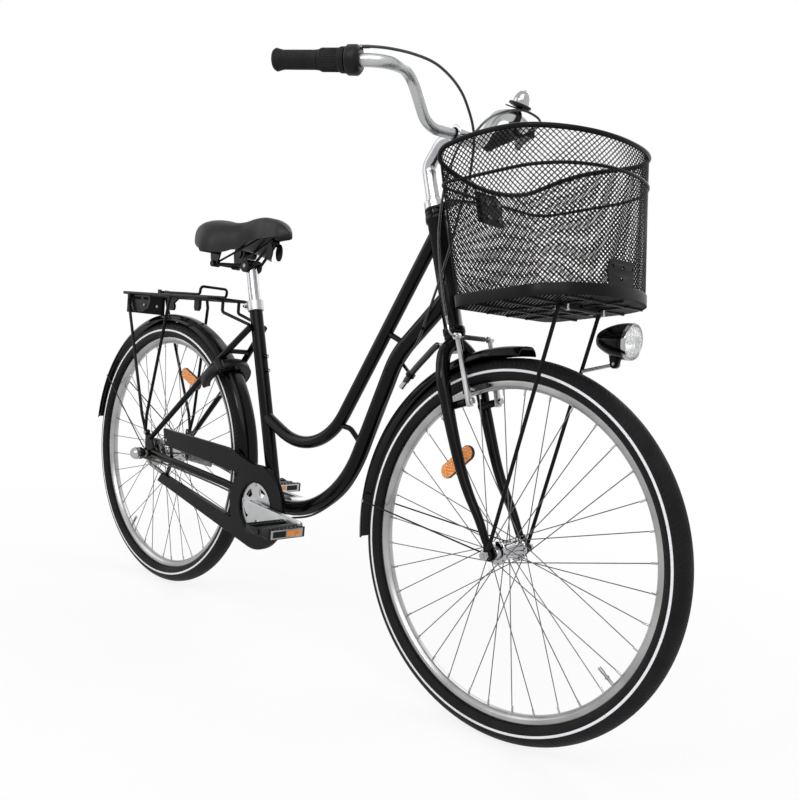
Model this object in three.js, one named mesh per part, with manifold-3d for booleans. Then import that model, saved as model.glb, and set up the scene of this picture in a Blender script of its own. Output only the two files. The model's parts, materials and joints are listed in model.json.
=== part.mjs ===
// A step-through city bicycle with a front basket and a rear carrier.
// Millimetres. X runs forward, Y to the rider's left and Z up; the ground is z = 0.
// While it is built, x = 0 is the rear axle. The last lines move the middle of the bicycle to the origin.
import * as THREE from "three";
import { mergeVertices } from "three/addons/utils/BufferGeometryUtils.js";
import Module from "manifold-3d";

const wasm = await Module();
wasm.setup();

const degree = Math.PI / 180;

// Shared fits
const gap = 0.3; // between faces that touch
const runningGap = 0.6; // round a shaft that turns
const overrun = 5; // how far a cut runs past the face that it opens
const weldDistance = 0.001;

// Layout of the frame
const wheelBase = 1160;
const headAngle = 70.8 * degree;
const seatAngle = 73.5 * degree;
const forkRake = 44;
const crankAhead = 480; // crank axis in front of the rear axle
const crankDrop = 52; // crank axis below the axles

// Tyre, rim and spokes
const tyreRadius = 357;
const tyreHalfWidth = 23.5;
const tyreWall = 3.2;
const tyreInnerStart = 30 * degree; // inner wall's curve starts this far below the widest line
const rimRadius = 317;
const rimInnerRadius = 300;
const rimHalfWidth = 12;
const rimBedHalfWidth = 5.5;
const rimWall = 2;
const rimWellDepth = 8;
const wheelSegments = 28;
const spokeCount = 36;
const spokeCrosses = 3;
const spokeRadius = 1;
const spokeSplay = 0.9; // crossing spokes lie this far to each side of a flange's middle
const spokeRimOffset = 2.6; // mean distance of the spokes' ends from the middle of the rim
const spokeRootDepth = 2; // spokes start this far inside the flange's edge
const frontWheelTurn = 0;
const rearWheelTurn = 9.4 * degree;
const rimShoulderRadius = 306; // where the brake track starts
const valveRadius = 3;
const valveLength = 36;
const frontValveAngle = -35 * degree;
const rearValveAngle = -125.6 * degree;

// Hubs and axles
const axleRadius = 5;
const frontFlangeRadius = 22;
const frontFlangeOffset = 31;
const frontHubRadius = 16;
const frontHubHalfWidth = 42;
const rearFlangeRadius = 34;
const rearFlangeOffset = 30;
const rearHubRadius = 29;
const rearHubHalfWidth = 36;
const flangeThickness = 4;
const hubEndShare = 0.6;
const frontEndSpacing = 100; // between the faces of the fork ends
const rearEndSpacing = 120; // between the faces of the rear ends
const endPlate = 5; // thickness of a fork end or rear end
const axleNutRadius = 9;
const axleNutLength = 8;
const axleNutSides = 6;
const axleTail = 3; // thread that shows past a nut
const washerThickness = 2.5;

// Spoke reflectors
const reflectorLength = 92;
const reflectorHeight = 30;
const reflectorThickness = 9;
const frontReflectorRadius = 201;
const rearReflectorRadius = 229;
const frontReflectorAngle = 134 * degree;
const rearReflectorAngle = 68 * degree;

// Main tubes
const tubeSides = 10;
const rodSides = 8;
const wireSides = 6;
const turnedSides = 12;
const roundSides = 14;
const bendStep = 16 * degree;
const tightBendStep = 22 * degree;
const seatTubeRadius = 15.9;
const seatTubeTop = 784;
const seatTubeBoreDepth = 290;
const shellRadius = 21;
const shellHalfWidth = 35;
const upperTubeRadius = 14.3;
const upperTubeSeatHeight = 512;
const upperTubeDropAngle = 24 * degree;
const upperTubeHeadHeight = 942;
const upperTubeRiseAngle = 60.5 * degree;
const upperTubeBendRadius = 163;
const lowerTubeRadius = 17.5;
const lowerTubeStartAngle = 5 * degree;
const lowerTubeFootReach = 211; // crank axis to the corner of the low bend
const lowerTubeHeadHeight = 816;
const lowerTubeHeadAngle = 45.5 * degree;
const lowerTubeCornerHeight = 693;
const lowerTubeFootRadius = 262;
const lowerTubeNeckRadius = 165;
const strutRadius = 6;
const lowStrutUpperHeight = 527;
const lowStrutLowerHeight = 491;
const lowStrutBow = 15;
const lowStrutBend = 30;
const highStrutUpperHeight = 738;
const highStrutLowerHeight = 716;
const pegHeight = 655;
const pegSpacing = 33;
const pegRadius = 4.5;
const pegReach = 13;

// Head tube, headset and steerer
const headTubeRadius = 19;
const headTubeBottom = 757;
const headTubeTop = 958;
const cupRadius = 22;
const cupHeight = 13;
const raceRadius = 21;
const raceHeight = 9;
const locknutRadius = 20.5;
const locknutHeight = 15;
const steererRadius = 14.3;
const crownBottom = 712;
const crownHeight = 26;

// Rear triangle
const stayHalfWidth = 7;
const stayHalfHeight = 10;
const stayInset = 38; // chain stay beside the tyre, from the middle
const stayFootInset = 26; // chain stay where it meets the crank shell
const stayInsetX = 325;
const stayStraightX = 120;
const stayRearRise = 2; // chain stay above the axle at its rear end
const stayStraightDrop = 4;
const stayInsetRise = 27; // chain stay above the crank axis where it has drawn in
const stayRearBend = 160;
const stayFrontBend = 300;
const staySides = 10;
const stayStartX = 22;
const seatStayRadius = 8;
const seatStayFootX = 4;
const seatStayFootHeight = 398;
const seatStayTopHeight = 722;
const seatStayMidShare = 0.7; // share of the seat stay's length where it has drawn in
const seatStayMidInset = 40;
const seatStayBend = 400;
const bridgeRadius = 6;
const bridgeShare = 0.8;
const endRadius = 18;
const eyeRadius = 8;
const eyeBack = 12;
const eyeHeight = 412;
const eyeBoltRadius = 3;

// Seat post, clamp and saddle
const postRadius = 13.6;
const postTop = 866;
const postInsert = 120;
const clampOuterRadius = 19.5;
const clampHeight = 25;
const clampEarLength = 9;
const clampEarDrop = 3;
const clampEarHalfWidth = 9;
const clampEarHeight = 16;
const clampBoltRadius = 3;
const saddleRear = 178;
const saddleLength = 277;
const saddleHalfWidth = 104;
const saddleCrown = 981; // highest point of the cover
const saddleDepth = 92; // from the crown down to the lowest edge of the skirt
const saddleUnderDepth = 16;
const saddleStations = 13;
const saddleArcPoints = 11;
const railRadius = 3.5;
const railHalfGap = 22;
const railRearHalfGap = 34;
const railHeight = 868;
const railNoseHeight = 921;
const railRearX = 206;
const railNoseX = 396;
const railClampFrontX = 336;
const bumperRadius = 8;
const railBend = 20;
const saddleClampRadius = 16;
const saddleClampHalfLength = 22;

// Fork
const forkLegRadius = 12.5;
const forkTipRadius = 7.5;
const forkShoulderRadius = 13.5;
const forkShoulderInset = 12;
const forkShoulderHeight = 668;
const forkLegSpread = 57; // middle of a leg from the middle of the bicycle
const forkLegSteps = 9;
const forkLegSides = 8;

// Stem and handlebar
const stemRadius = 14.3;
const stemArmRadius = 12.5;
const quillRadius = 11;
const quillLength = 60;
const stemKneeHeight = 1066;
const stemElbowForward = 31; // elbow in front of the knee
const stemElbowHeight = 1112;
const stemBendRadius = 26;
const stemClampX = 942;
const stemClampHeight = 1118;
const stemClampRadius = 16.5;
const stemClampHalfWidth = 21;
const barRadius = 11.1;
const barSides = 8;
const barFlatHalf = 78; // half of the straight middle of the bar
const barSweepBack = 17;
const barRiseHalf = 133;
const barRiseBack = 21;
const barRise = 83;
const barShoulderHalf = 215;
const barShoulderForward = 3;
const barGripDrop = 10; // grips below the top of the bar's rise
const barBendRadius = 48;
const barGripAngle = 26.4 * degree; // grips turned outward from straight back
const gripOffset = 248; // where the left grip starts, from the middle
const gripLength = 135;
const gripRadius = 17;
const gripBead = 2.2;
const gripSides = 12;
const twistLength = 50;
const twistRadius = 18.5;
const shifterLength = 27;
const shifterRadius = 25;
const shifterCableRise = 22;
const gripWaist = 1; // how much thinner a grip is between its ends
const twistLip = 3;

// Brake lever, bell and cables
const leverMountLength = 26;
const leverMountRadius = 16.5;
const leverBossForward = 30;
const leverArmRadius = 9;
const leverSlotRadius = 15;
const leverHeadRadius = 11;
const leverPinRadius = 3;
const leverPinTail = 2;
const leverStopForward = 17;
const leverStopLength = 24;
const leverStopRadius = 4.5;
const leverLength = 128;
const leverReach = 46;
const leverHalfHeight = 6;
const bellRadius = 17.8;
const bellDomeHeight = 26;
const bellBaseRadius = 24;
const bellBaseHeight = 9;
const bellStandOff = 29; // top of the base from the middle of the bar
const bellOffset = 174;
const bellTilt = 20 * degree;
const bellPostSink = 2;
const bellPostRadius = 3.6;
const bellLeverLength = 9; // beyond the base
const bellLeverThickness = 3;
const cableRadius = 2.5;
const cableSides = 8;
const brakeCableSteps = 26;
const gearCableFrontSteps = 18;
const gearCableRearSteps = 28;

// Fenders
const fenderRadius = 378;
const fenderHalfWidth = 28;
const fenderDepth = 16;
const fenderThickness = 1.8;
const frontFenderFront = 89 * degree;
const frontFenderRear = 188.5 * degree;
const rearFenderFront = -8 * degree;
const rearFenderRear = 172 * degree;
const fenderStep = 11 * degree;
const fenderStayRadius = 1.5;
const frontStayAngle = 176 * degree;
const rearStayAngle = 150 * degree;
const fenderTabWidth = 20;
const fenderTabThickness = 4;

// Chain drive
const chainLine = 47;
const pitch = 12.7;
const ringTeeth = 42;
const sprocketTeeth = 18;
const toothHeight = 2.2;
const toothDepth = 4.2;
const ringThickness = 3;
const ringInnerRadius = 52;
const sprocketInnerRadius = 16;
const chainHalfWidth = 3.8;
const chainPlateHalf = 4.4;
const chainSlotHalf = 2;
const chainFrontSteps = 20;
const chainRearSteps = 10;
const boreSides = 20;
const crankLength = 170;
const crankTurn = 3 * degree; // right pedal below the level
const crankBossRadius = 17;
const crankOuter = 80; // outer face of the cranks from the middle
const crankThickness = 13;
const crankRootHalf = 16;
const crankTipHalf = 12.5;
const spiderThickness = 4;
const spiderArmHalf = 9;
const spiderArms = 5;
const spindleRadius = 8.5;
const pedalSpindleRadius = 4.5;
const pedalInner = 86;
const pedalLength = 98; // across the bicycle
const pedalHalfDepth = 39; // along the bicycle
const pedalHalfHeight = 11;
const pedalCage = 3;
const pedalBarrelRadius = 10;
const pedalBlockDepth = 15;
const driverRadius = 20;
const barrelCapRadius = 16;
const barrelCapLength = 32;

// Chain guard
const guardRadius = 100;
const guardHoleRadius = 58;
const guardOuter = 64; // outer face from the middle
const guardSkin = 1.6;
const guardFlangeDepth = 11;
const guardTopRearX = 66;
const guardTopRear = 433;
const guardTopFrontX = 350;
const guardTopFront = 427;
const guardTopJoin = 100 * degree; // where the upper arm's top edge meets the disc
const guardUpperArm = 43;
const guardUpperSlant = 10; // how far the rear edge of the upper arm leans
const guardLowRearX = 51;
const guardLowRear = 290;
const guardLowJoin = 256 * degree;
const guardLowerArm = 24;
const guardLowerSlant = 18;
const guardWindowTop = 136 * degree;
const guardWindowLow = 206 * degree;
const guardStrapWidth = 14;
const guardStrapOuter = 53.4;
const guardStrapX = 100; // bend of the strap, beside the chain stay
const guardStrapHeight = 352;
const guardBossRadius = 3;

// Carrier, rear lamp and lock
const carrierTop = 786;
const carrierRearX = -205;
const carrierFrontX = 240;
const carrierHalfWidth = 56;
const carrierRodRadius = 4;
const carrierCornerRadius = 22;
const carrierBars = 3;
const carrierSpineHalf = 20;
const carrierBarDrop = 0.7; // crossbars below the platform's frame
const carrierStrutDrop = 31; // struts' front fitting below the platform
const carrierStrutEndX = 346;
const carrierStrutEndHalf = 18;
const carrierStrutEndHeight = 726;
const carrierStrutBend = 8;
const carrierLegRiseShare = 0.12;
const carrierRearLegX = -155;
const carrierFrontLegX = 50;
const carrierLegRadius = 4;
const carrierPlateX = -165;
const carrierPlateHeight = 43;
const carrierPlateHalfWidth = 60;
const carrierPlateThickness = 3;
const carrierStrutHalf = 24;
const bailHingeX = -20;
const bailFrontX = 160;
const bailHalfWidth = 40;
const bailHeight = 20.5;
const bailBend = 9;
const bailRodRadius = 3.5;
const bailEarHeight = 11.5;
const rearLampWidth = 96;
const rearLampHeight = 34;
const rearLampDepth = 20;
const lockRingRadius = 54;
const lockHalfBand = 10; // half of the ring's width
const lockHalfThickness = 11;
const lockCentreRadius = 335; // ring's centre from the rear axle
const lockStep = 12.5 * degree; // all faces of the ring turn by this angle
const lockEnd = 10 * lockStep;
const lockMouth = 13 * lockStep;
const shackleHalf = 4.4;
const lockKnobRadius = 4;
const lockKnobLength = 14;
const lockBarrelRadius = 11;
const lockBarrelLength = 30;

// Basket
const basketRearX = 1020;
const basketLength = 290;
const basketHalfWidth = 162;
const basketWall = 2.4;
const basketCornerRadius = 34;
const basketNoseShare = 0.46; // share of the length taken by the round front
const basketNosePower = 0.9;
const basketRearShift = 70; // floor's rear edge in front of the rim's
const basketFrontShift = 31;
const basketFloorRear = 786;
const basketFloorFront = 825;
const basketBandHeight = 28;
const basketHoopRear = 992;
const basketHoopFront = 1025;
const basketRimRear = 1013;
const basketRimFront = 1073;
const basketTaper = 9; // floor's sides inside the rim's
const basketRimRadius = 4.5;
const basketHoopRadius = 3;
const basketBandStep = 2.5;
const stayRodRadius = 4;
const stayEyeHalf = 3.6;
const stayTopX = 1250;
const stayTopHalf = 66;
const bracketWidth = 30;
const bracketThickness = 4;
const bracketPlateHeight = 56;
const bracketFaceShare = 0.35; // strap meets the pad this far down

// Headlamp
const lampX = 1333; // front of the lens
const lampHeight = 759;
const lampOffset = 60;
const lampRadius = 32;
const lampLength = 74;
const lampRimDepth = 7;
const lampLensBulge = 6;
const lampPivotDrop = 40;
const lampPivotRadius = 3;
const lampEarHalf = 3;
const lampEarRadius = 8;
const lampArmHeight = 700;
const lampArmBend = 10;
const lampPinTail = 2;
const lampSides = 14;

// Front brake
const brakePivotForward = 38; // rear face of the arms in front of the steering axis
const brakePivotHeight = 610; // on the steering axis
const brakePivotOffset = 44;
const brakeBossRadius = 7.2;
const brakePinRadius = 4;
const brakeHeadRadius = 6.5;
const brakeHeadLength = 4;
const brakeArmTopHeight = 732; // on the steering axis
const brakeArmTopOffset = 50;
const brakeArmHalfWidth = 8.5;
const brakeArmTopHalfWidth = 5;
const brakeArmThickness = 12;
const brakeArmTail = 9; // arm below its pivot
const brakeLinkRadius = 6.5;
const brakeLinkHalf = 6;
const brakeShoeRadius = 308; // middle of a shoe from the axle
const brakeShoeLength = 56;
const brakeShoeHeight = 9;
const brakeShoeThickness = 10;
const brakeShoeGap = 1.5;

const brakeNoodleRadius = 2.4;
const brakeNoodleReach = 20;
const brakeNoodleBend = 12;
const brakeWireRadius = 1.2;
const brakeWireEnd = 33;
const brakeBootRadius = 5;
const brakeBootStart = 32;
const brakeBootEnd = 27;

const reactionArmLength = 148;
const reactionArmHalf = 8;
const reactionArmDrop = -10;
const reactionArmThickness = 4;
const fenderEyeHalf = 1.5;
const basketRimCorner = 30; // rear corners of the rim above its middle

// Sprung damper between the fork crown and a clip under the lower tube
const damperRadius = 6.5;
const damperHookRadius = 2.5;
const damperHookShare = 0.16;
const damperCapShare = 0.9; // where the plain end starts
const damperCapRadius = 5.6;
const damperSteps = 10;
const damperClipStep = 7; // the clip sits at this step of the damper
const damperClipWall = 2.4;
const damperClipWidth = 7;
const damperClipGap = 1;
const damperClipTab = 3;
const damperClipReach = 30;
const damperRoute = [
  [967, 722], [955, 724], [940, 722], [908, 693], [880, 664], [861, 640], [852, 628],
];

const rearAxleHeight = tyreRadius;
const crankHeight = rearAxleHeight - crankDrop;

const V = (x, y, z) => new THREE.Vector3(x, y, z);
const rightSide = -1;
const leftSide = 1;

// Point on the steering axis, and on the seat tube's axis, at a height
function steerAt(height) {
  const foot = wheelBase - forkRake / Math.sin(headAngle);
  return V(foot - (height - rearAxleHeight) / Math.tan(headAngle), 0, height);
}

function seatAt(height) {
  return V(crankAhead - (height - crankHeight) / Math.tan(seatAngle), 0, height);
}

const steerAxis = steerAt(headTubeTop).sub(steerAt(headTubeBottom)).normalize();
const seatAxis = seatAt(seatTubeTop).sub(seatAt(crankHeight)).normalize();
const steerForward = V(steerAxis.z, 0, -steerAxis.x);

// A closed surface with shared corners, no flat triangles and its faces pointing out
function tidy(geometry) {
  const loose = geometry.index ? geometry.toNonIndexed() : geometry;
  const bare = new THREE.BufferGeometry();
  bare.setAttribute("position", loose.getAttribute("position"));
  const welded = mergeVertices(bare, weldDistance);
  const place = welded.getAttribute("position");
  const faces = [];
  const a = V(0, 0, 0);
  const b = V(0, 0, 0);
  const c = V(0, 0, 0);
  let volume = 0;
  for (let i = 0; i < welded.index.count; i += 3) {
    const face = [0, 1, 2].map((k) => welded.index.getX(i + k));
    if (new Set(face).size < 3) continue;
    a.fromBufferAttribute(place, face[0]);
    b.fromBufferAttribute(place, face[1]);
    c.fromBufferAttribute(place, face[2]);
    volume += a.dot(b.cross(c));
    faces.push(face);
  }
  if (volume < 0) faces.forEach((face) => face.reverse());
  welded.setIndex(faces.flat());
  return welded;
}

function solid(geometry) {
  const closed = tidy(geometry);
  return new wasm.Manifold(
    new wasm.Mesh({
      numProp: 3,
      vertProperties: closed.getAttribute("position").array,
      triVerts: new Uint32Array(closed.index.array),
    }),
  );
}

function surface(made) {
  const mesh = made.getMesh();
  const geometry = new THREE.BufferGeometry();
  const places = new Float32Array(mesh.numVert * 3);
  for (let i = 0; i < mesh.numVert; i++)
    places.set(mesh.vertProperties.subarray(i * mesh.numProp, i * mesh.numProp + 3), i * 3);
  geometry.setAttribute("position", new THREE.BufferAttribute(places, 3));
  geometry.setIndex(new THREE.BufferAttribute(mesh.triVerts, 1));
  return geometry;
}

function join(...pieces) {
  return surface(pieces.map(solid).reduce((whole, next) => whole.add(next)));
}

function cut(piece, ...tools) {
  return surface(tools.map(solid).reduce((whole, tool) => whole.subtract(tool), solid(piece)));
}

// A skin through rings of equal count, with flat ends unless the rings close on themselves
function loft(rings, closed = false) {
  const count = rings[0].length;
  const faces = [];
  const strips = closed ? rings.length : rings.length - 1;
  for (let i = 0; i < strips; i++) {
    const near = i * count;
    const far = ((i + 1) % rings.length) * count;
    for (let j = 0; j < count; j++) {
      const k = (j + 1) % count;
      faces.push(near + j, near + k, far + k, near + j, far + k, far + j);
    }
  }
  if (!closed) {
    faces.push(...capFaces(rings[0], 0).reverse());
    faces.push(...capFaces(rings[rings.length - 1], (rings.length - 1) * count));
  }
  const geometry = new THREE.BufferGeometry().setFromPoints(rings.flat());
  geometry.setIndex(faces);
  return geometry;
}

function capFaces(ring, start) {
  const middle = ring.reduce((sum, p) => sum.add(p), V(0, 0, 0)).divideScalar(ring.length);
  const normal = V(0, 0, 0);
  ring.forEach((p, i) => {
    const next = ring[(i + 1) % ring.length];
    normal.add(p.clone().sub(middle).cross(next.clone().sub(middle)));
  });
  const across = ring[0].clone().sub(middle).normalize();
  const upward = normal.normalize().clone().cross(across);
  const flat = ring.map((p) => {
    const from = p.clone().sub(middle);
    return new THREE.Vector2(from.dot(across), from.dot(upward));
  });
  return THREE.ShapeUtils.triangulateShape(flat, []).flat().map((i) => i + start);
}

// Points on a smooth curve through the given ones
const smooth = (points, steps) =>
  new THREE.CatmullRomCurve3(points, false, "centripetal").getPoints(steps);

// A cord of round section along a smooth curve through the given points
function cord(points, steps) {
  const section = new THREE.Shape(
    circle(0, 0, cableRadius, cableSides).map(([x, y]) => new THREE.Vector2(x, y)),
  );
  const curve = new THREE.CatmullRomCurve3(points, false, "centripetal");
  return new THREE.ExtrudeGeometry(section, { steps, extrudePath: curve });
}

// Points along straight runs joined by arcs of the given radii
function bend(corners, radii, step = bendStep) {
  const path = [corners[0].clone()];
  for (let i = 1; i < corners.length - 1; i++) {
    const into = corners[i].clone().sub(corners[i - 1]).normalize();
    const out = corners[i + 1].clone().sub(corners[i]).normalize();
    const angle = into.angleTo(out);
    const radius = Array.isArray(radii) ? radii[i - 1] : radii;
    const start = corners[i].clone().addScaledVector(into, -radius * Math.tan(angle / 2));
    const inward = out.clone().sub(into).normalize();
    const centre = corners[i].clone().addScaledVector(inward, radius / Math.cos(angle / 2));
    const axis = into.clone().cross(out).normalize();
    const steps = Math.max(1, Math.ceil(angle / step));
    for (let s = 0; s <= steps; s++) {
      const spoke = start.clone().sub(centre).applyAxisAngle(axis, (angle * s) / steps);
      path.push(centre.clone().add(spoke));
    }
  }
  path.push(corners[corners.length - 1].clone());
  return path;
}

// A tube round a path. size gives its half-widths, in all or at each share of the path
function pipe(path, size, sides = tubeSides, firstNormal = V(0, 1, 0), closed = false) {
  const count = path.length;
  const lengths = [0];
  for (let i = 1; i < count; i++) lengths.push(lengths[i - 1] + path[i].distanceTo(path[i - 1]));
  const normal = firstNormal.clone();
  const rings = path.map((point, i) => {
    const before = path[i > 0 ? i - 1 : closed ? count - 1 : 0];
    const after = path[i < count - 1 ? i + 1 : closed ? 0 : count - 1];
    const into = point.clone().sub(before).normalize();
    const out = after.clone().sub(point).normalize();
    const tangent = into.add(out).normalize();
    normal.addScaledVector(tangent, -normal.dot(tangent)).normalize();
    const side = tangent.clone().cross(normal);
    const given = typeof size === "function" ? size(lengths[i] / lengths[count - 1]) : size;
    const [wide, high] = Array.isArray(given) ? given : [given, given];
    return Array.from({ length: sides }, (_, k) => {
      const angle = ((k + 0.5) / sides) * 2 * Math.PI;
      return point
        .clone()
        .addScaledVector(normal, wide * Math.cos(angle))
        .addScaledVector(side, high * Math.sin(angle));
    });
  });
  return loft(rings, closed);
}

const rod = (from, to, radius, sides = tubeSides, normal = V(0, 1, 0)) =>
  pipe([from, to], radius, sides, normal);

const crossRod = (x, z, y0, y1, radius, sides = tubeSides) =>
  pipe([V(x, y0, z), V(x, y1, z)], radius, sides, V(0, 0, 1));

// A profile of radius and height turned round a line from a point
function turned(profile, from, direction, segments = tubeSides) {
  const points = profile.map(([radius, height]) => new THREE.Vector2(radius, height));
  const open = profile[0][0] > 0 || profile[profile.length - 1][0] > 0;
  if (open) points.push(points[0].clone());
  const geometry = new THREE.LatheGeometry(points, segments);
  geometry.applyQuaternion(new THREE.Quaternion().setFromUnitVectors(V(0, 1, 0), direction));
  geometry.translate(from.x, from.y, from.z);
  return geometry;
}

// Distance along a line from a point to where it crosses a circle round another point
function reachCircle(from, direction, centre, radius) {
  const offset = from.clone().sub(centre);
  const along = offset.dot(direction);
  return -along + Math.sqrt(along * along - offset.lengthSq() + radius * radius);
}

// A flat outline of [x, z] pairs made solid between two y values
function plate(outline, y0, y1, holes = []) {
  const shape = new THREE.Shape(outline.map(([x, z]) => new THREE.Vector2(x, z)));
  holes.forEach((hole) =>
    shape.holes.push(new THREE.Path(hole.map(([x, z]) => new THREE.Vector2(x, z)))),
  );
  const geometry = new THREE.ExtrudeGeometry(shape, {
    depth: Math.abs(y1 - y0),
    bevelEnabled: false,
  });
  geometry.rotateX(90 * degree);
  geometry.translate(0, Math.max(y0, y1), 0);
  return geometry;
}

function arc(x, z, radius, from, to, steps) {
  return Array.from({ length: steps + 1 }, (_, i) => {
    const angle = from + ((to - from) * i) / steps;
    return [x + radius * Math.cos(angle), z + radius * Math.sin(angle)];
  });
}

function circle(x, z, radius, sides) {
  return arc(x, z, radius, 0, 2 * Math.PI, sides).slice(0, sides);
}

function block(x0, x1, y0, y1, z0, z1) {
  const geometry = new THREE.BoxGeometry(Math.abs(x1 - x0), Math.abs(y1 - y0), Math.abs(z1 - z0));
  geometry.translate((x0 + x1) / 2, (y0 + y1) / 2, (z0 + z1) / 2);
  return geometry;
}

const material = (color, roughness, metalness) =>
  new THREE.MeshStandardMaterial({ color, roughness, metalness });

const blackPaint = () => material(0x0b0b0c, 0.25, 0.1);
const chrome = () => material(0xc8c9cb, 0.15, 1);
const alloy = () => material(0xb9bcc0, 0.35, 1);
const rubber = () => material(0x151515, 0.85, 0);
const plastic = () => material(0x131314, 0.5, 0);
const amber = () => material(0xe07a16, 0.3, 0);

const bicycle = new THREE.Group();

function piece(name, geometry, look, group = bicycle) {
  const mesh = new THREE.Mesh(tidy(geometry), look);
  mesh.name = name;
  group.add(mesh);
  return mesh;
}

// Wheels, built round their own axle
function tyre() {
  const centre = tyreRadius - tyreHalfWidth;
  const seat = rimRadius + gap;
  const inner = tyreHalfWidth - tyreWall;
  const outerStart = Math.asin((seat - centre) / tyreHalfWidth);
  const turn = (radius, start, steps) =>
    Array.from({ length: steps + 1 }, (_, i) => {
      const angle = start + ((Math.PI - 2 * start) * i) / steps;
      return [centre + radius * Math.sin(angle), radius * Math.cos(angle)];
    });
  const bead = rimHalfWidth - rimWall - gap;
  const toe = bead - tyreWall;
  const foot = rimRadius - rimWellDepth + gap;
  return turned(
    [
      ...turn(tyreHalfWidth, outerStart, 4),
      [seat, -bead],
      [foot, -bead],
      [seat + tyreWall, -toe],
      ...turn(inner, -tyreInnerStart, 2).reverse(),
      [seat + tyreWall, toe],
      [foot, bead],
      [seat, bead],
    ],
    V(0, 0, 0),
    V(0, 1, 0),
    wheelSegments,
  );
}

function rim(valveAngle) {
  const well = rimRadius - rimWellDepth;
  const lip = rimHalfWidth - rimWall;
  const hoop = turned(
    [
      [rimInnerRadius, -rimBedHalfWidth],
      [rimInnerRadius, rimBedHalfWidth],
      [rimShoulderRadius, rimHalfWidth],
      [rimRadius, rimHalfWidth],
      [rimRadius, lip],
      [well, lip],
      [well, -lip],
      [rimRadius, -lip],
      [rimRadius, -rimHalfWidth],
      [rimShoulderRadius, -rimHalfWidth],
    ],
    V(0, 0, 0),
    V(0, 1, 0),
    wheelSegments,
  );
  const at = (radius) => V(radius * Math.cos(valveAngle), 0, radius * Math.sin(valveAngle));
  return join(hoop, rod(at(rimInnerRadius - valveLength), at(rimShoulderRadius), valveRadius, wireSides));
}

// Hub shell with its flanges, and spokes laced over three others from flange to rim
function lacedHub(shellRadius, flangeRadius, flangeOffset, halfWidth, bore) {
  const half = flangeThickness / 2;
  const shell = turned(
    [
      [bore, -halfWidth],
      [shellRadius * hubEndShare, -halfWidth],
      [shellRadius, -flangeOffset - half],
      [flangeRadius, -flangeOffset - half],
      [flangeRadius, -flangeOffset + half],
      [shellRadius, -flangeOffset + half],
      [shellRadius, flangeOffset - half],
      [flangeRadius, flangeOffset - half],
      [flangeRadius, flangeOffset + half],
      [shellRadius, flangeOffset + half],
      [shellRadius * hubEndShare, halfWidth],
      [bore, halfWidth],
    ],
    V(0, 0, 0),
    V(0, 1, 0),
    turnedSides,
  );
  const spokes = [];
  const holeStep = (4 * Math.PI) / spokeCount;
  for (let i = 0; i < spokeCount; i++) {
    const side = i % 2 ? rightSide : leftSide;
    const lean = Math.floor(i / 2) % 2 ? 1 : -1;
    const rimAngle = (i * 2 * Math.PI) / spokeCount;
    const hubAngle = rimAngle + lean * spokeCrosses * holeStep;
    const hole = flangeRadius * Math.cos(Math.PI / turnedSides) - spokeRootDepth;
    const stop = rimInnerRadius * Math.cos(Math.PI / wheelSegments) - 2 * gap;
    const place = (radius, offset, angle) =>
      V(radius * Math.cos(angle), side * (offset + lean * spokeSplay), radius * Math.sin(angle));
    spokes.push(rod(place(hole, flangeOffset, hubAngle), place(stop, spokeRimOffset, rimAngle),
      spokeRadius, 3));
  }
  return join(shell, ...spokes);
}

function reflector(radius, angle) {
  const half = reflectorLength / 2 - reflectorHeight / 2;
  const outline = [
    ...arc(half, 0, reflectorHeight / 2, -90 * degree, 90 * degree, 5),
    ...arc(-half, 0, reflectorHeight / 2, 90 * degree, 270 * degree, 5),
  ];
  const geometry = plate(outline, -reflectorThickness / 2, reflectorThickness / 2);
  geometry.translate(0, 0, radius);
  geometry.rotateY(90 * degree - angle);
  return geometry;
}

const rearWheel = new THREE.Group();
rearWheel.position.set(0, 0, rearAxleHeight);
const frontWheel = new THREE.Group();
frontWheel.position.set(wheelBase, 0, rearAxleHeight);
bicycle.add(rearWheel, frontWheel);

const hubBore = axleRadius + runningGap;
const frontHub = lacedHub(
  frontHubRadius,
  frontFlangeRadius,
  frontFlangeOffset,
  frontHubHalfWidth,
  hubBore,
);
const rearHub = lacedHub(
  rearHubRadius,
  rearFlangeRadius,
  rearFlangeOffset,
  rearHubHalfWidth,
  hubBore,
);
frontHub.rotateY(-frontWheelTurn);
rearHub.rotateY(-rearWheelTurn);
piece("rear_tyre", tyre(), rubber(), rearWheel);
piece("rear_rim", rim(rearValveAngle), alloy(), rearWheel);
piece("rear_hub", rearHub, alloy(), rearWheel);
piece("rear_reflector", reflector(rearReflectorRadius, rearReflectorAngle), amber(), rearWheel);
piece("front_tyre", tyre(), rubber(), frontWheel);
piece("front_rim", rim(frontValveAngle), alloy(), frontWheel);
piece("front_hub", frontHub, alloy(), frontWheel);
piece("front_reflector", reflector(frontReflectorRadius, frontReflectorAngle), amber(), frontWheel);

// Main tubes
const seatTubePath = [seatAt(crankHeight), seatAt(seatTubeTop)];
const headTubePath = [steerAt(headTubeBottom), steerAt(headTubeTop)];
const longSeatPath = [seatAt(crankHeight), seatAt(seatTubeTop + overrun)];
const steerBore = steererRadius + 2 * runningGap;

function headTube() {
  const length = headTubePath[0].distanceTo(headTubePath[1]);
  return turned(
    [
      [steerBore, -cupHeight],
      [cupRadius, -cupHeight],
      [cupRadius, 0],
      [headTubeRadius, 0],
      [headTubeRadius, length],
      [cupRadius, length],
      [cupRadius, length + cupHeight],
      [steerBore, length + cupHeight],
    ],
    headTubePath[0],
    steerAxis,
    roundSides,
  );
}

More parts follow.
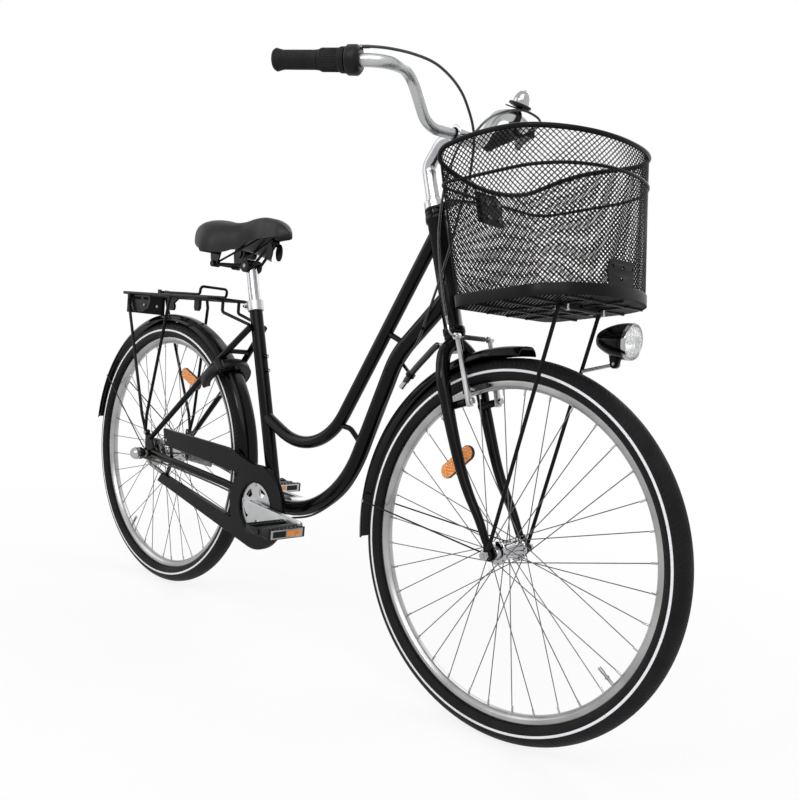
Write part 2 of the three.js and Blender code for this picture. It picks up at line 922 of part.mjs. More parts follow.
// A tool for the mouth of a tube that meets another: that tube, wider by the gap
const headTool = () => {
  const reach = cupHeight + overrun;
  const from = headTubePath[0].clone().addScaledVector(steerAxis, -reach);
  const length = headTubePath[0].distanceTo(headTubePath[1]) + 2 * reach;
  return turned([[0, 0], [headTubeRadius + gap, 0], [headTubeRadius + gap, length], [0, length]],
    from, steerAxis, roundSides);
};
const seatTool = () => pipe(longSeatPath, seatTubeRadius + gap, tubeSides);
const shellTool = () => {
  const half = shellHalfWidth + gap;
  return crossRod(crankAhead, crankHeight, -half, half, shellRadius + gap, roundSides);
};

function upperTubePath() {
  const seat = seatAt(upperTubeSeatHeight);
  const head = steerAt(upperTubeHeadHeight);
  const drop = Math.tan(upperTubeDropAngle);
  const rise = Math.tan(upperTubeRiseAngle);
  const x = (seat.z + drop * seat.x - head.z + rise * head.x) / (drop + rise);
  const corner = V(x, 0, seat.z - drop * (x - seat.x));
  return bend([seat, corner, head], upperTubeBendRadius);
}

function lowerTubePath() {
  const foot = V(crankAhead, 0, crankHeight);
  const low = V(
    foot.x + lowerTubeFootReach,
    0,
    foot.z + lowerTubeFootReach * Math.tan(lowerTubeStartAngle),
  );
  const head = steerAt(lowerTubeHeadHeight);
  const fall = head.z - lowerTubeCornerHeight;
  const high = V(head.x - fall / Math.tan(lowerTubeHeadAngle), 0, lowerTubeCornerHeight);
  return bend([foot, low, high, head], [lowerTubeFootRadius, lowerTubeNeckRadius]);
}

// Point of a path in the bicycle's middle plane at a height
function pathAt(path, height) {
  for (let i = 1; i < path.length; i++) {
    const low = path[i - 1];
    const high = path[i];
    if (low.z <= height && high.z >= height)
      return low.clone().lerp(high, (height - low.z) / (high.z - low.z));
  }
  return path[path.length - 1].clone();
}

const damperPath = smooth(damperRoute.map(([x, z]) => V(x, 0, z)), damperSteps);

// Ring round the damper on a tab under the lower tube
function damperClip() {
  const centre = damperPath[damperClipStep];
  const along = damperPath[damperClipStep + 1].clone().sub(damperPath[damperClipStep - 1]).normalize();
  const bore = damperRadius + damperClipGap;
  const half = damperClipWidth / 2;
  const ring = turned(
    [
      [bore, -half],
      [bore + damperClipWall, -half],
      [bore + damperClipWall, half],
      [bore, half],
    ],
    centre,
    along,
    tubeSides,
  );
  const out = V(along.z, 0, -along.x);
  const from = centre.clone().addScaledVector(out, bore + damperClipWall / 2);
  const tab = pipe([from, from.clone().addScaledVector(out, damperClipReach)],
    [(damperClipTab / 2) * Math.SQRT2, half * Math.SQRT2], 4);
  return join(ring, tab);
}

const upperPath = upperTubePath();
const lowerPath = lowerTubePath();
const upperTool = () => pipe(upperPath, upperTubeRadius + gap);

function lowerTube() {
  const lowFrom = pathAt(upperPath.slice(upperPath.length / 2), lowStrutUpperHeight);
  const lowTo = pathAt(lowerPath, lowStrutLowerHeight);
  const bow = lowFrom.clone().lerp(lowTo, 0.5);
  bow.z += lowStrutBow;
  const lowStrut = pipe(bend([lowFrom, bow, lowTo], lowStrutBend), strutRadius, wireSides);
  const highStrut = rod(
    pathAt(upperPath, highStrutUpperHeight),
    pathAt(lowerPath, highStrutLowerHeight),
    strutRadius,
    wireSides,
  );
  const whole = join(pipe(lowerPath, lowerTubeRadius), lowStrut, highStrut, damperClip());
  return cut(whole, headTool(), seatTool(), shellTool(), upperTool());
}

function seatTube() {
  const shell = crossRod(
    crankAhead, crankHeight, -shellHalfWidth, shellHalfWidth, shellRadius, roundSides,
  );
  const pegs = [0, pegSpacing].map((down) => {
    const root = seatAt(pegHeight - down);
    return rod(root, root.clone().add(V(seatTubeRadius + pegReach, 0, 0)), pegRadius, wireSides);
  });
  const boreFoot = seatAt(seatTubeTop).addScaledVector(seatAxis, -seatTubeBoreDepth);
  const boreTop = seatAt(seatTubeTop).addScaledVector(seatAxis, overrun);
  return cut(
    join(pipe(seatTubePath, seatTubeRadius), shell, ...pegs),
    rod(boreFoot, boreTop, postRadius + runningGap),
    crossRod(crankAhead, crankHeight, -shellHalfWidth - overrun, shellHalfWidth + overrun,
      spindleRadius + runningGap, turnedSides),
  );
}

piece("head_tube", headTube(), blackPaint());
piece("upper_tube", cut(pipe(upperPath, upperTubeRadius), headTool(), seatTool()), blackPaint());
piece("lower_tube", lowerTube(), blackPaint());
piece("seat_tube", seatTube(), blackPaint());

// Rear triangle. side is 1 on the left and -1 on the right
const rearFace = rearEndSpacing / 2;
const rearEndMiddle = rearFace + endPlate / 2;

function seatStayPath(side) {
  const foot = V(seatStayFootX, side * rearEndMiddle, seatStayFootHeight);
  const top = seatAt(seatStayTopHeight);
  const middle = foot.clone().lerp(top, seatStayMidShare);
  middle.y = side * seatStayMidInset;
  top.y = side * (seatTubeRadius + seatStayRadius / 2);
  return bend([foot, middle, top], seatStayBend);
}

function seatStayTool(side) {
  const path = seatStayPath(side);
  const along = path[1].clone().sub(path[0]).normalize();
  path[0].addScaledVector(along, -gap);
  return pipe(path, seatStayRadius + gap);
}

function rearEnd(side) {
  const outline = [
    ...arc(0, rearAxleHeight, endRadius, 200 * degree, 330 * degree, 5),
    [stayStartX + endRadius, rearAxleHeight - stayHalfHeight],
    [stayStartX + endRadius, rearAxleHeight + stayHalfHeight],
    [seatStayFootX + endRadius, rearAxleHeight + endRadius],
    [seatStayFootX + seatStayRadius, seatStayFootHeight],
    ...arc(-eyeBack, eyeHeight, eyeRadius, 0, 180 * degree, 5),
  ];
  return plate(outline, side * rearFace, side * (rearFace + endPlate), [
    circle(0, rearAxleHeight, axleRadius + runningGap, rodSides),
    circle(-eyeBack, eyeHeight, eyeBoltRadius + runningGap, rodSides),
  ]);
}

function chainStay(side) {
  const corners = [
    V(stayStartX, side * rearEndMiddle, rearAxleHeight + stayRearRise),
    V(stayStraightX, side * rearEndMiddle, rearAxleHeight - stayStraightDrop),
    V(stayInsetX, side * stayInset, crankHeight + stayInsetRise),
    V(crankAhead, side * stayFootInset, crankHeight),
  ];
  const path = bend(corners, [stayRearBend, stayFrontBend]);
  const tube = pipe(path, [stayHalfWidth, stayHalfHeight], staySides);
  return cut(join(tube, rearEnd(side)), shellTool(), seatTool(), seatStayTool(side));
}

function seatStay(side) {
  const path = seatStayPath(side);
  const tube = pipe(path, seatStayRadius);
  const at = path[0].clone().lerp(path[path.length - 1], bridgeShare);
  const bridge = crossRod(at.x, at.z, (side * gap) / 2, side * seatTubeRadius * 2, bridgeRadius, 8);
  return cut(join(tube, bridge), seatTool());
}

piece("chain_stay_right", chainStay(rightSide), blackPaint());
piece("chain_stay_left", chainStay(leftSide), blackPaint());
piece("seat_stay_right", seatStay(rightSide), blackPaint());
piece("seat_stay_left", seatStay(leftSide), blackPaint());

// Collar round the top of the seat tube, with two ears and a bolt behind it
function seatClamp() {
  const base = seatAt(seatTubeTop).addScaledVector(seatAxis, -clampHeight);
  const ring = turned(
    [
      [seatTubeRadius + runningGap, 0],
      [clampOuterRadius, 0],
      [clampOuterRadius, clampHeight],
      [seatTubeRadius + runningGap, clampHeight],
    ],
    base,
    seatAxis,
  );
  const middle = base.clone().addScaledVector(seatAxis, clampHeight / 2 - clampEarDrop);
  const ears = block(
    middle.x - clampOuterRadius - clampEarLength,
    middle.x - clampOuterRadius + gap,
    -clampEarHalfWidth,
    clampEarHalfWidth,
    middle.z - clampEarHeight / 2,
    middle.z + clampEarHeight / 2,
  );
  const boltX = middle.x - clampOuterRadius - clampEarLength / 2;
  const bolt = crossRod(boltX, middle.z, -2 * clampEarHalfWidth, 2 * clampEarHalfWidth,
    clampBoltRadius, 8);
  return join(ring, ears, bolt);
}

piece("seat_clamp", seatClamp(), alloy());

// Seat post, rails and saddle
const post = new THREE.Group();
bicycle.add(post);
const postEnd = seatAt(postTop);

function seatPost() {
  const foot = seatAt(seatTubeTop).addScaledVector(seatAxis, -postInsert);
  const neck = postEnd.clone().addScaledVector(seatAxis, -saddleClampRadius / 2);
  const head = crossRod(postEnd.x, postEnd.z, -saddleClampHalfLength, saddleClampHalfLength,
    saddleClampRadius, 12);
  const rails = [rightSide, leftSide].map((side) => saddleRail(side, railRadius + gap));
  return cut(join(rod(foot, neck, postRadius), head), ...rails);
}

function saddleRail(side, radius) {
  return pipe(
    bend(
      [
        V(railRearX, side * railRearHalfGap, railHeight),
        V(railClampFrontX - 2 * saddleClampRadius, (side * railHalfGap) / 2, railHeight),
        V(railClampFrontX, side * railHalfGap / 2, railHeight),
        V(railNoseX, side * railHalfGap / 3, railNoseHeight),
      ],
      railBend,
      tightBendStep,
    ),
    radius,
    wireSides,
  );
}

function saddleRails() {
  const rearBar = crossRod(railRearX, railHeight, -railRearHalfGap - bumperRadius,
    railRearHalfGap + bumperRadius, bumperRadius, 8);
  const noseBar = crossRod(railNoseX, railNoseHeight, -railHalfGap / 2, railHalfGap / 2,
    bumperRadius, 8);
  return join(rearBar, noseBar, saddleRail(rightSide, railRadius), saddleRail(leftSide, railRadius));
}

// Half-width, crown height and skirt depth of the saddle, in shares, from the rear to the nose
const saddleWidthShare = [0.5, 0.86, 0.99, 1, 0.9, 0.7, 0.5, 0.38, 0.3, 0.27, 0.25, 0.21, 0.09];
const saddleTopShare = [0.28, 0.13, 0.08, 0.09, 0.13, 0.14, 0.1, 0.03, 0, 0.02, 0.07, 0.17, 0.35];
const saddleSkirtShare = [0.5, 0.66, 0.84, 0.95, 1, 0.98, 0.84, 0.68, 0.6, 0.56, 0.54, 0.52, 0.46];

function saddle() {
  const rings = [];
  for (let i = 0; i < saddleStations; i++) {
    const x = saddleRear + (saddleLength * i) / (saddleStations - 1);
    const half = saddleHalfWidth * saddleWidthShare[i];
    const top = saddleCrown - saddleDepth * saddleTopShare[i];
    const edge = saddleCrown - saddleDepth * saddleSkirtShare[i];
    const ring = Array.from({ length: saddleArcPoints }, (_, k) => {
      const angle = (Math.PI * k) / (saddleArcPoints - 1);
      const across = Math.sign(Math.cos(angle)) * Math.abs(Math.cos(angle)) ** 0.7;
      return V(x, half * across, edge + (top - edge) * Math.sin(angle) ** 0.75);
    });
    const under = Math.min(saddleUnderDepth, (top - edge) / 2);
    ring.push(V(x, -half * 0.7, edge + under / 2));
    ring.push(V(x, 0, edge + under));
    ring.push(V(x, half * 0.7, edge + under / 2));
    rings.push(ring);
  }
  return loft(rings);
}

piece("seat_post", seatPost(), chrome(), post);
piece("saddle_rails", saddleRails(), blackPaint(), post);
piece("saddle", cut(saddle(), saddleRailsTool()), plastic(), post);

function saddleRailsTool() {
  return crossRod(railNoseX, railNoseHeight, -railHalfGap, railHalfGap, bumperRadius + gap, 8);
}

// Axles with their nuts and washers
function axle(spacing, plates, tail) {
  const face = spacing / 2 + endPlate + plates;
  const reach = face + axleNutLength + tail;
  const nuts = [rightSide, leftSide].flatMap((side) => [
    crossRod(0, 0, side * (face + gap), side * (face + gap + axleNutLength), axleNutRadius,
      axleNutSides),
    crossRod(0, 0, side * (spacing / 2 - gap), side * (spacing / 2 - gap - washerThickness),
      axleNutRadius, rodSides),
  ]);
  return join(crossRod(0, 0, -reach, reach, axleRadius, rodSides), ...nuts);
}

const rearAxlePlates = 2 * fenderEyeHalf + gap;
const rearAxle = axle(rearEndSpacing, rearAxlePlates, axleTail);
const reactionArm = plate(
  [
    ...arc(0, 0, rearHubRadius * 0.75, 60 * degree, 300 * degree, 6),
    [reactionArmLength, -reactionArmHalf + reactionArmDrop],
    [reactionArmLength, reactionArmHalf + reactionArmDrop],
  ],
  rearHubHalfWidth + gap,
  rearHubHalfWidth + gap + reactionArmThickness,
  [],
);
const rearAxleMesh = piece("rear_axle", join(rearAxle, reactionArm), chrome());
rearAxleMesh.position.set(0, 0, rearAxleHeight);

function shiftCap() {
  const start = rearFace + endPlate + rearAxlePlates + gap + axleNutLength + axleTail + gap;
  return turned(
    [
      [0, 0],
      [barrelCapRadius * 0.8, 0],
      [barrelCapRadius, barrelCapLength * 0.2],
      [barrelCapRadius, barrelCapLength * 0.7],
      [barrelCapRadius * 0.7, barrelCapLength],
      [0, barrelCapLength],
    ],
    V(0, -start, rearAxleHeight),
    V(0, -1, 0),
    roundSides,
  );
}

piece("shift_cap", shiftCap(), chrome());

// Chain drive
const pitchRadius = (teeth) => pitch / (2 * Math.sin(Math.PI / teeth));
const ringRadius = pitchRadius(ringTeeth);
const sprocketRadius = pitchRadius(sprocketTeeth);

// A toothed wheel round the origin: each tooth rises from its root to a narrower tip
function toothed(teeth, bore, y, thickness) {
  const middle = pitchRadius(teeth);
  const tip = middle + toothHeight;
  const root = middle - toothDepth;
  const step = (2 * Math.PI) / teeth;
  const toothShare = [[0, root], [0.36, tip], [0.64, tip]];
  const outline = [];
  for (let i = 0; i < teeth; i++)
    for (const [share, radius] of toothShare) {
      const angle = (i + share) * step;
      outline.push([radius * Math.cos(angle), radius * Math.sin(angle)]);
    }
  return plate(outline, y - thickness / 2, y + thickness / 2, [circle(0, 0, bore, boreSides)]);
}

// The closed line of the chain round both wheels
function chainLoop(offset) {
  const front = ringRadius + offset;
  const rear = sprocketRadius + offset;
  const span = Math.hypot(crankAhead, crankDrop);
  const slope = Math.atan2(-crankDrop, crankAhead);
  const lean = Math.asin((front - rear) / span);
  const top = slope + 90 * degree + lean;
  const bottom = slope - 90 * degree - lean;
  return [
    ...arc(crankAhead, crankHeight, front, bottom, top, chainFrontSteps),
    ...arc(0, rearAxleHeight, rear, top, bottom + 360 * degree, chainRearSteps),
  ];
}

function chain() {
  const near = -chainLine - chainHalfWidth;
  const far = -chainLine + chainHalfWidth;
  const band = plate(chainLoop(chainPlateHalf), near, far, [chainLoop(-chainPlateHalf).reverse()]);
  const slot = plate(
    chainLoop(toothHeight + 2 * gap),
    -chainLine - chainSlotHalf,
    -chainLine + chainSlotHalf,
    [chainLoop(-chainPlateHalf - overrun).reverse()],
  );
  return cut(band, slot);
}

function crankArm(side) {
  const outer = side * crankOuter;
  const bossInner = side * (shellHalfWidth + gap * 2);
  const boss = crossRod(0, 0, bossInner, outer, crankBossRadius, roundSides);
  const outline = [
    ...arc(0, 0, crankRootHalf, 90 * degree, 270 * degree, 5),
    ...arc(crankLength, 0, crankTipHalf, -90 * degree, 90 * degree, 5),
  ];
  const arm = plate(outline, outer, outer - side * crankThickness);
  const axleEnd = side * (pedalInner + pedalLength - pedalCage);
  const axle = crossRod(crankLength, 0, outer - side * crankThickness, axleEnd, pedalSpindleRadius,
    rodSides);
  return [boss, arm, axle];
}

function rightCrank() {
  const ringFace = chainLine + ringThickness / 2 + gap;
  const arms = Array.from({ length: spiderArms }, (_, i) => {
    const arm = block(0, ringInnerRadius + spiderArmHalf, -ringFace, -ringFace - spiderThickness,
      -spiderArmHalf, spiderArmHalf);
    arm.rotateY(((i + 0.5) * 2 * Math.PI) / spiderArms);
    return arm;
  });
  const socket = crossRod(0, 0, -shellHalfWidth, -ringFace - spiderThickness, spindleRadius + gap, 12);
  return cut(join(...crankArm(rightSide), ...arms), socket);
}

// Platform pedal round its own spindle, with a bore for it
function pedal(side) {
  const near = side * pedalInner;
  const far = side * (pedalInner + pedalLength);
  const rails = [rightSide, leftSide].flatMap((end) => [
    block(end * pedalHalfDepth, end * (pedalHalfDepth - pedalCage), near, far, -pedalHalfHeight,
      pedalHalfHeight),
    block(end * (pedalHalfDepth - pedalCage), end * (pedalHalfDepth - pedalBlockDepth), near, far,
      -pedalHalfHeight * 0.9, pedalHalfHeight * 0.9),
  ]);
  const ends = [near, far - side * pedalCage].map((y) =>
    block(-pedalHalfDepth, pedalHalfDepth, y, y + side * pedalCage, -pedalHalfHeight * 0.7,
      pedalHalfHeight * 0.7),
  );
  const barrel = crossRod(0, 0, near, far, pedalBarrelRadius, tubeSides);
  const bore = crossRod(0, 0, near - side * overrun, far + side * overrun,
    pedalSpindleRadius + runningGap, rodSides);
  return cut(join(barrel, ...rails, ...ends), bore);
}

const crankset = new THREE.Group();
crankset.position.set(crankAhead, 0, crankHeight);
bicycle.add(crankset);
const pedals = { right: new THREE.Group(), left: new THREE.Group() };
pedals.right.position.set(crankLength, 0, 0);
pedals.left.position.set(-crankLength, 0, 0);
crankset.add(pedals.right, pedals.left);
crankset.rotation.y = crankTurn;
pedals.right.rotation.y = -crankTurn;
pedals.left.rotation.y = -crankTurn;

piece("chain_ring", toothed(ringTeeth, ringInnerRadius, -chainLine, ringThickness), alloy(), crankset);
piece("crank_right", rightCrank(), alloy(), crankset);
piece("crank_left", leftCrank(), alloy(), crankset);
piece("pedal_right", pedal(rightSide), plastic(), pedals.right);
piece("pedal_left", pedal(leftSide), plastic(), pedals.left);

function leftCrank() {
  const arms = crankArm(leftSide).map((part) => part.rotateY(180 * degree));
  return join(...arms, crossRod(0, 0, -chainLine, shellHalfWidth + overrun, spindleRadius, 12));
}

function rearSprocket() {
  const wheel = toothed(sprocketTeeth, sprocketInnerRadius, -chainLine, ringThickness);
  const start = rearHubHalfWidth + gap;
  const end = rearFace - washerThickness - 2 * gap;
  const driver = turned(
    [
      [hubBore, -end],
      [driverRadius, -end],
      [driverRadius, -start],
      [hubBore, -start],
    ],
    V(0, 0, 0),
    V(0, 1, 0),
    turnedSides,
  );
  return join(wheel, driver);
}

const driver = new THREE.Group();
driver.position.set(0, 0, rearAxleHeight);
bicycle.add(driver);
piece("rear_sprocket", rearSprocket(), alloy(), driver);
piece("chain", chain(), chrome());

// Chain guard: a skin with its rim turned inward, an arm over the chain, one under it and a disc
function guardOutline(inset) {
  const disc = guardRadius - inset;
  return [
    [guardTopRearX + inset, guardTopRear - inset],
    [guardTopFrontX, guardTopFront - inset],
    ...arc(crankAhead, crankHeight, disc, guardTopJoin, guardLowJoin - 360 * degree, 14),
    [guardLowRearX + inset, guardLowRear + inset],
    [guardLowRearX + guardLowerSlant + inset, guardLowRear + guardLowerArm - inset],
    ...arc(crankAhead, crankHeight, disc, guardWindowLow, guardWindowTop, 4),
    [guardTopRearX + guardUpperSlant + inset, guardTopRear - guardUpperArm + inset],
  ];
}

function chainGuard() {
  const outer = -guardOuter;
  const inner = outer + guardSkin + guardFlangeDepth;
  const hole = circle(crankAhead, crankHeight, guardHoleRadius, 20);
  const tray = plate(guardOutline(0), outer, inner, [hole]);
  const hollow = plate(guardOutline(guardSkin), outer + guardSkin, inner + overrun);
  const half = guardStrapWidth / 2;
  const topX = guardTopRearX + guardUpperSlant;
  const lowX = guardLowRearX + guardLowerSlant;
  const strap = plate(
    [
      [topX, guardTopRear - guardUpperArm / 2],
      [guardStrapX - half, guardStrapHeight],
      [lowX, guardLowRear + guardLowerArm / 2],
      [lowX + guardStrapWidth, guardLowRear + guardLowerArm / 2],
      [guardStrapX + half, guardStrapHeight],
      [topX + guardStrapWidth, guardTopRear - guardUpperArm / 2],
    ],
    -guardStrapOuter,
    guardSkin - guardStrapOuter,
  );
  const stayFace = rearEndMiddle - stayHalfWidth * Math.cos(Math.PI / staySides);
  const boss = crossRod(guardStrapX, guardStrapHeight, -stayFace + gap, -guardStrapOuter + guardSkin / 2,
    guardBossRadius, wireSides);
  return join(cut(tray, hollow), strap, boss);
}

piece("chain_guard", chainGuard(), blackPaint());

// Fenders: a curved skin swept round the wheel, with a pair of wire stays to the axle
function fender(from, to, stayAngle, stayFoot) {
  const steps = Math.ceil((to - from) / fenderStep);
  const widthShare = [-1, -0.72, 0, 0.72, 1];
  const dropShare = [1, 0.3, 0, 0.3, 1];
  const rings = Array.from({ length: steps + 1 }, (_, i) => {
    const angle = from + ((to - from) * i) / steps;
    const at = (radius, y) => V(radius * Math.cos(angle), y, radius * Math.sin(angle));
    const outer = widthShare.map((share, k) =>
      at(fenderRadius - fenderDepth * dropShare[k], fenderHalfWidth * share),
    );
    const inner = widthShare.map((share, k) =>
      at(
        fenderRadius - fenderThickness - fenderDepth * dropShare[k],
        (fenderHalfWidth - fenderThickness * Math.abs(share)) * share,
      ),
    );
    return [...outer, ...inner.reverse()];
  });
  const reach = fenderRadius - fenderDepth;
  const stays = [rightSide, leftSide].flatMap((side) => {
    const foot = V(0, side * stayFoot, 0);
    const line = (radius, y) => V(radius * Math.cos(stayAngle), y, radius * Math.sin(stayAngle));
    const start = line((axleRadius + axleNutRadius) / 2, side * stayFoot);
    const clear = line(2 * endRadius, side * stayFoot);
    const end = V(reach * Math.cos(stayAngle), side * (fenderHalfWidth - fenderThickness / 2),
      reach * Math.sin(stayAngle));
    const eye = turned(
      [
        [axleRadius + runningGap, -fenderEyeHalf],
        [axleNutRadius, -fenderEyeHalf],
        [axleNutRadius, fenderEyeHalf],
        [axleRadius + runningGap, fenderEyeHalf],
      ],
      foot,
      V(0, 1, 0),
      rodSides,
    );
    return [eye, pipe([start, clear, end], fenderStayRadius, 4)];
  });
  return join(loft(rings), ...stays);
}

const rearFender = fender(rearFenderFront, rearFenderRear, rearStayAngle,
  rearFace + endPlate + gap + fenderEyeHalf);
const rearFenderMesh = piece("rear_fender", rearFender, blackPaint());
rearFenderMesh.position.set(0, 0, rearAxleHeight);

// Carrier: a wire platform on four legs, with a slotted plate for the lamp
function carrier() {
  const z = carrierTop - carrierRodRadius;
  const corners = [
    [carrierRearX, -carrierHalfWidth],
    [carrierFrontX, -carrierHalfWidth],
    [carrierFrontX, carrierHalfWidth],
    [carrierRearX, carrierHalfWidth],
  ];
  const turns = [180, 270, 0, 90].map((start) => start * degree);
  const loop = corners.flatMap(([x, y], i) => {
    const cx = x - Math.sign(x - carrierPlateX / 2) * carrierCornerRadius;
    const cy = y - Math.sign(y) * carrierCornerRadius;
    return arc(cx, cy, carrierCornerRadius, turns[i], turns[i] + 90 * degree, 2);
  });
  const frame = pipe(loop.map(([x, y]) => V(x, y, z)), carrierRodRadius, wireSides, V(0, 0, 1), true);
  const barSpan = carrierFrontX - carrierRearX;
  const bars = Array.from({ length: carrierBars }, (_, i) =>
    crossRod(carrierRearX + (barSpan * (i + 1)) / (carrierBars + 1), z - carrierBarDrop,
      -carrierHalfWidth, carrierHalfWidth, carrierRodRadius, wireSides),
  );
  const spine = block(carrierRearX, carrierFrontX, -carrierSpineHalf, carrierSpineHalf,
    z - carrierPlateThickness / 2, z + carrierPlateThickness / 2);
  const footY = rearFace + endPlate + gap + carrierLegRadius;
  const legs = [rightSide, leftSide].flatMap((side) => {
    const foot = V(-eyeBack, side * footY, eyeHeight + carrierLegRadius);
    const eye = crossRod(-eyeBack, eyeHeight, side * (footY - carrierLegRadius),
      side * footY, eyeRadius, rodSides);
    const bolt = crossRod(-eyeBack, eyeHeight, side * (rearFace + gap), side * footY,
      eyeBoltRadius, wireSides);
    return [
      eye,
      bolt,
      ...[carrierRearLegX, carrierFrontLegX].map((x) =>
        pipe([
          foot,
          foot.clone().add(V((x + eyeBack) * carrierLegRiseShare, side * carrierLegRadius,
            (z - eyeHeight) * carrierLegRiseShare)),
          V(x, side * (carrierHalfWidth + carrierLegRadius), z - carrierCornerRadius),
          V(x, side * carrierHalfWidth, z),
        ], carrierLegRadius, wireSides),
      ),
    ];
  });
  const platePart = block(
    carrierPlateX - carrierPlateThickness / 2,
    carrierPlateX + carrierPlateThickness / 2,
    -carrierPlateHalfWidth,
    carrierPlateHalfWidth,
    z - carrierPlateHeight - carrierRodRadius * 3,
    z - carrierRodRadius * 0.5,
  );
  const struts = [rightSide, leftSide].map((side) =>
    pipe(
      bend(
        [
          V(carrierFrontX, side * carrierStrutHalf, z),
          V(carrierFrontX, side * carrierStrutHalf, z - carrierStrutDrop),
          V(carrierStrutEndX, side * carrierStrutEndHalf, carrierStrutEndHeight),
        ],
        carrierStrutBend,
        tightBendStep,
      ),
      carrierRodRadius,
      wireSides,
    ),
  );
  const ears = [rightSide, leftSide].map((side) => {
    const ear = plate(
      [
        ...arc(bailHingeX, z + bailEarHeight - bailRodRadius, bailRodRadius * 2, 0, 180 * degree, 4),
        [bailHingeX - bailRodRadius * 2, z - carrierRodRadius],
        [bailHingeX + bailRodRadius * 2, z - carrierRodRadius],
      ],
      side * (bailHalfWidth + bailRodRadius + gap * 3),
      side * (bailHalfWidth + bailRodRadius + gap * 3 + carrierPlateThickness),
      [circle(bailHingeX, z + bailEarHeight - bailRodRadius, bailRodRadius + runningGap, rodSides)],
    );
    const base = block(bailHingeX - bailRodRadius * 2, bailHingeX + bailRodRadius * 2,
      side * (bailHalfWidth + bailRodRadius + gap * 3), side * carrierHalfWidth,
      z - carrierRodRadius / 2, z + carrierRodRadius / 2);
    return [ear, base];
  });
  const whole = join(frame, ...bars, spine, ...legs, platePart, ...struts, ...ears.flat());
  return cut(whole, seatTool(), seatStayTool(rightSide), seatStayTool(leftSide));
}

// Sprung clamp over the platform: a wire frame hinged across the carrier with a raised front
function carrierClamp() {
  const z = carrierTop - carrierRodRadius + bailEarHeight - bailRodRadius;
  const arms = [rightSide, leftSide].map((side) => V(bailHingeX, side * bailHalfWidth, z));
  const path = bend(
    [
      arms[0],
      V(bailFrontX, -bailHalfWidth, z),
      V(bailFrontX + bailRodRadius, -bailHalfWidth, z + bailHeight),
      V(bailFrontX + bailRodRadius, bailHalfWidth, z + bailHeight),
      V(bailFrontX, bailHalfWidth, z),
      arms[1],
    ],
    bailBend,
    2 * tightBendStep,
  );
  const reach = bailHalfWidth + bailRodRadius + gap * 3 + carrierPlateThickness;
  const hinge = crossRod(bailHingeX, z, -reach, reach, bailRodRadius, wireSides);
  return join(pipe(path, bailRodRadius, wireSides, V(0, 0, 1)), hinge);
}

piece("carrier", carrier(), blackPaint());
piece("carrier_clamp", carrierClamp(), blackPaint());
piece(
  "rear_lamp",
  block(
    carrierPlateX - carrierPlateThickness / 2 - gap - rearLampDepth,
    carrierPlateX - carrierPlateThickness / 2 - gap,
    -rearLampWidth / 2,
    rearLampWidth / 2,
    carrierTop - carrierPlateHeight - carrierRodRadius * 2,
    carrierTop - carrierPlateHeight - carrierRodRadius * 2 + rearLampHeight,
  ),
  material(0xa01010, 0.3, 0),
);

// Ring lock across the rear wheel. Its own X points out from the axle, Y to its front face and Z left
const lock = new THREE.Group();
{
  const foot = V(seatStayFootX, 0, seatStayFootHeight);
  const along = seatAt(seatStayTopHeight).sub(foot).normalize();
  const front = V(along.z, 0, -along.x);
  const place = foot
    .clone()
    .addScaledVector(along, -foot.clone().sub(V(0, 0, rearAxleHeight)).dot(along))
    .addScaledVector(along, lockCentreRadius)
    .addScaledVector(front, seatStayRadius + lockHalfThickness + 2 * gap);
  const basis = new THREE.Matrix4().makeBasis(along, front, V(0, 1, 0));
  lock.quaternion.setFromRotationMatrix(basis);
  lock.position.copy(place);
  bicycle.add(lock);
}

// Part of a ring round the lock's own middle, between two angles and two y values
function ringSector(radius, half, from, to, y0, y1, step = lockStep) {
  const steps = Math.round((to - from) / step);
  return plate(
    [...arc(0, 0, radius + half, from, to, steps), ...arc(0, 0, radius - half, from, to, steps).reverse()],
    y0,
    y1,
  );
}

function lockBody() {
  const body = ringSector(lockRingRadius, lockHalfBand, -lockEnd, lockEnd, -lockHalfThickness,
    lockHalfThickness, 2 * lockStep);
  const room = shackleHalf + runningGap;
  const groove = ringSector(lockRingRadius, room, -lockMouth, lockMouth, -room,
    lockHalfThickness + overrun);
  const barrelMiddle = (lockRingRadius + lockHalfBand + lockBarrelRadius / 2) * Math.SQRT1_2;
  const barrel = rod(
    V(barrelMiddle, -lockHalfThickness, -barrelMiddle),
    V(barrelMiddle, lockBarrelLength - lockHalfThickness, -barrelMiddle),
    lockBarrelRadius,
    tubeSides,
    V(0, 0, 1),
  );
  return cut(join(body, barrel), groove);
}

function lockShackle() {
  const bow = ringSector(lockRingRadius, shackleHalf, -lockEnd, 0, -shackleHalf, shackleHalf);
  const at = -lockStep / 2;
  const knob = crossRod(lockRingRadius * Math.cos(at), lockRingRadius * Math.sin(at), 0,
    shackleHalf + lockKnobLength, lockKnobRadius, rodSides);
  return join(bow, knob);
}

piece("lock_body", lockBody(), plastic(), lock);
piece("lock_shackle", lockShackle(), chrome(), lock);

// Everything that turns with the handlebar
const steering = new THREE.Group();
bicycle.add(steering);
const alongSteerer = (height) =>
  headTubePath[1].clone().addScaledVector(steerAxis, height);
const raceFoot = cupHeight + gap;
const bracketFoot = raceFoot + raceHeight + gap;
const locknutFoot = bracketFoot + bracketThickness + gap;
const steererTop = locknutFoot + locknutHeight;

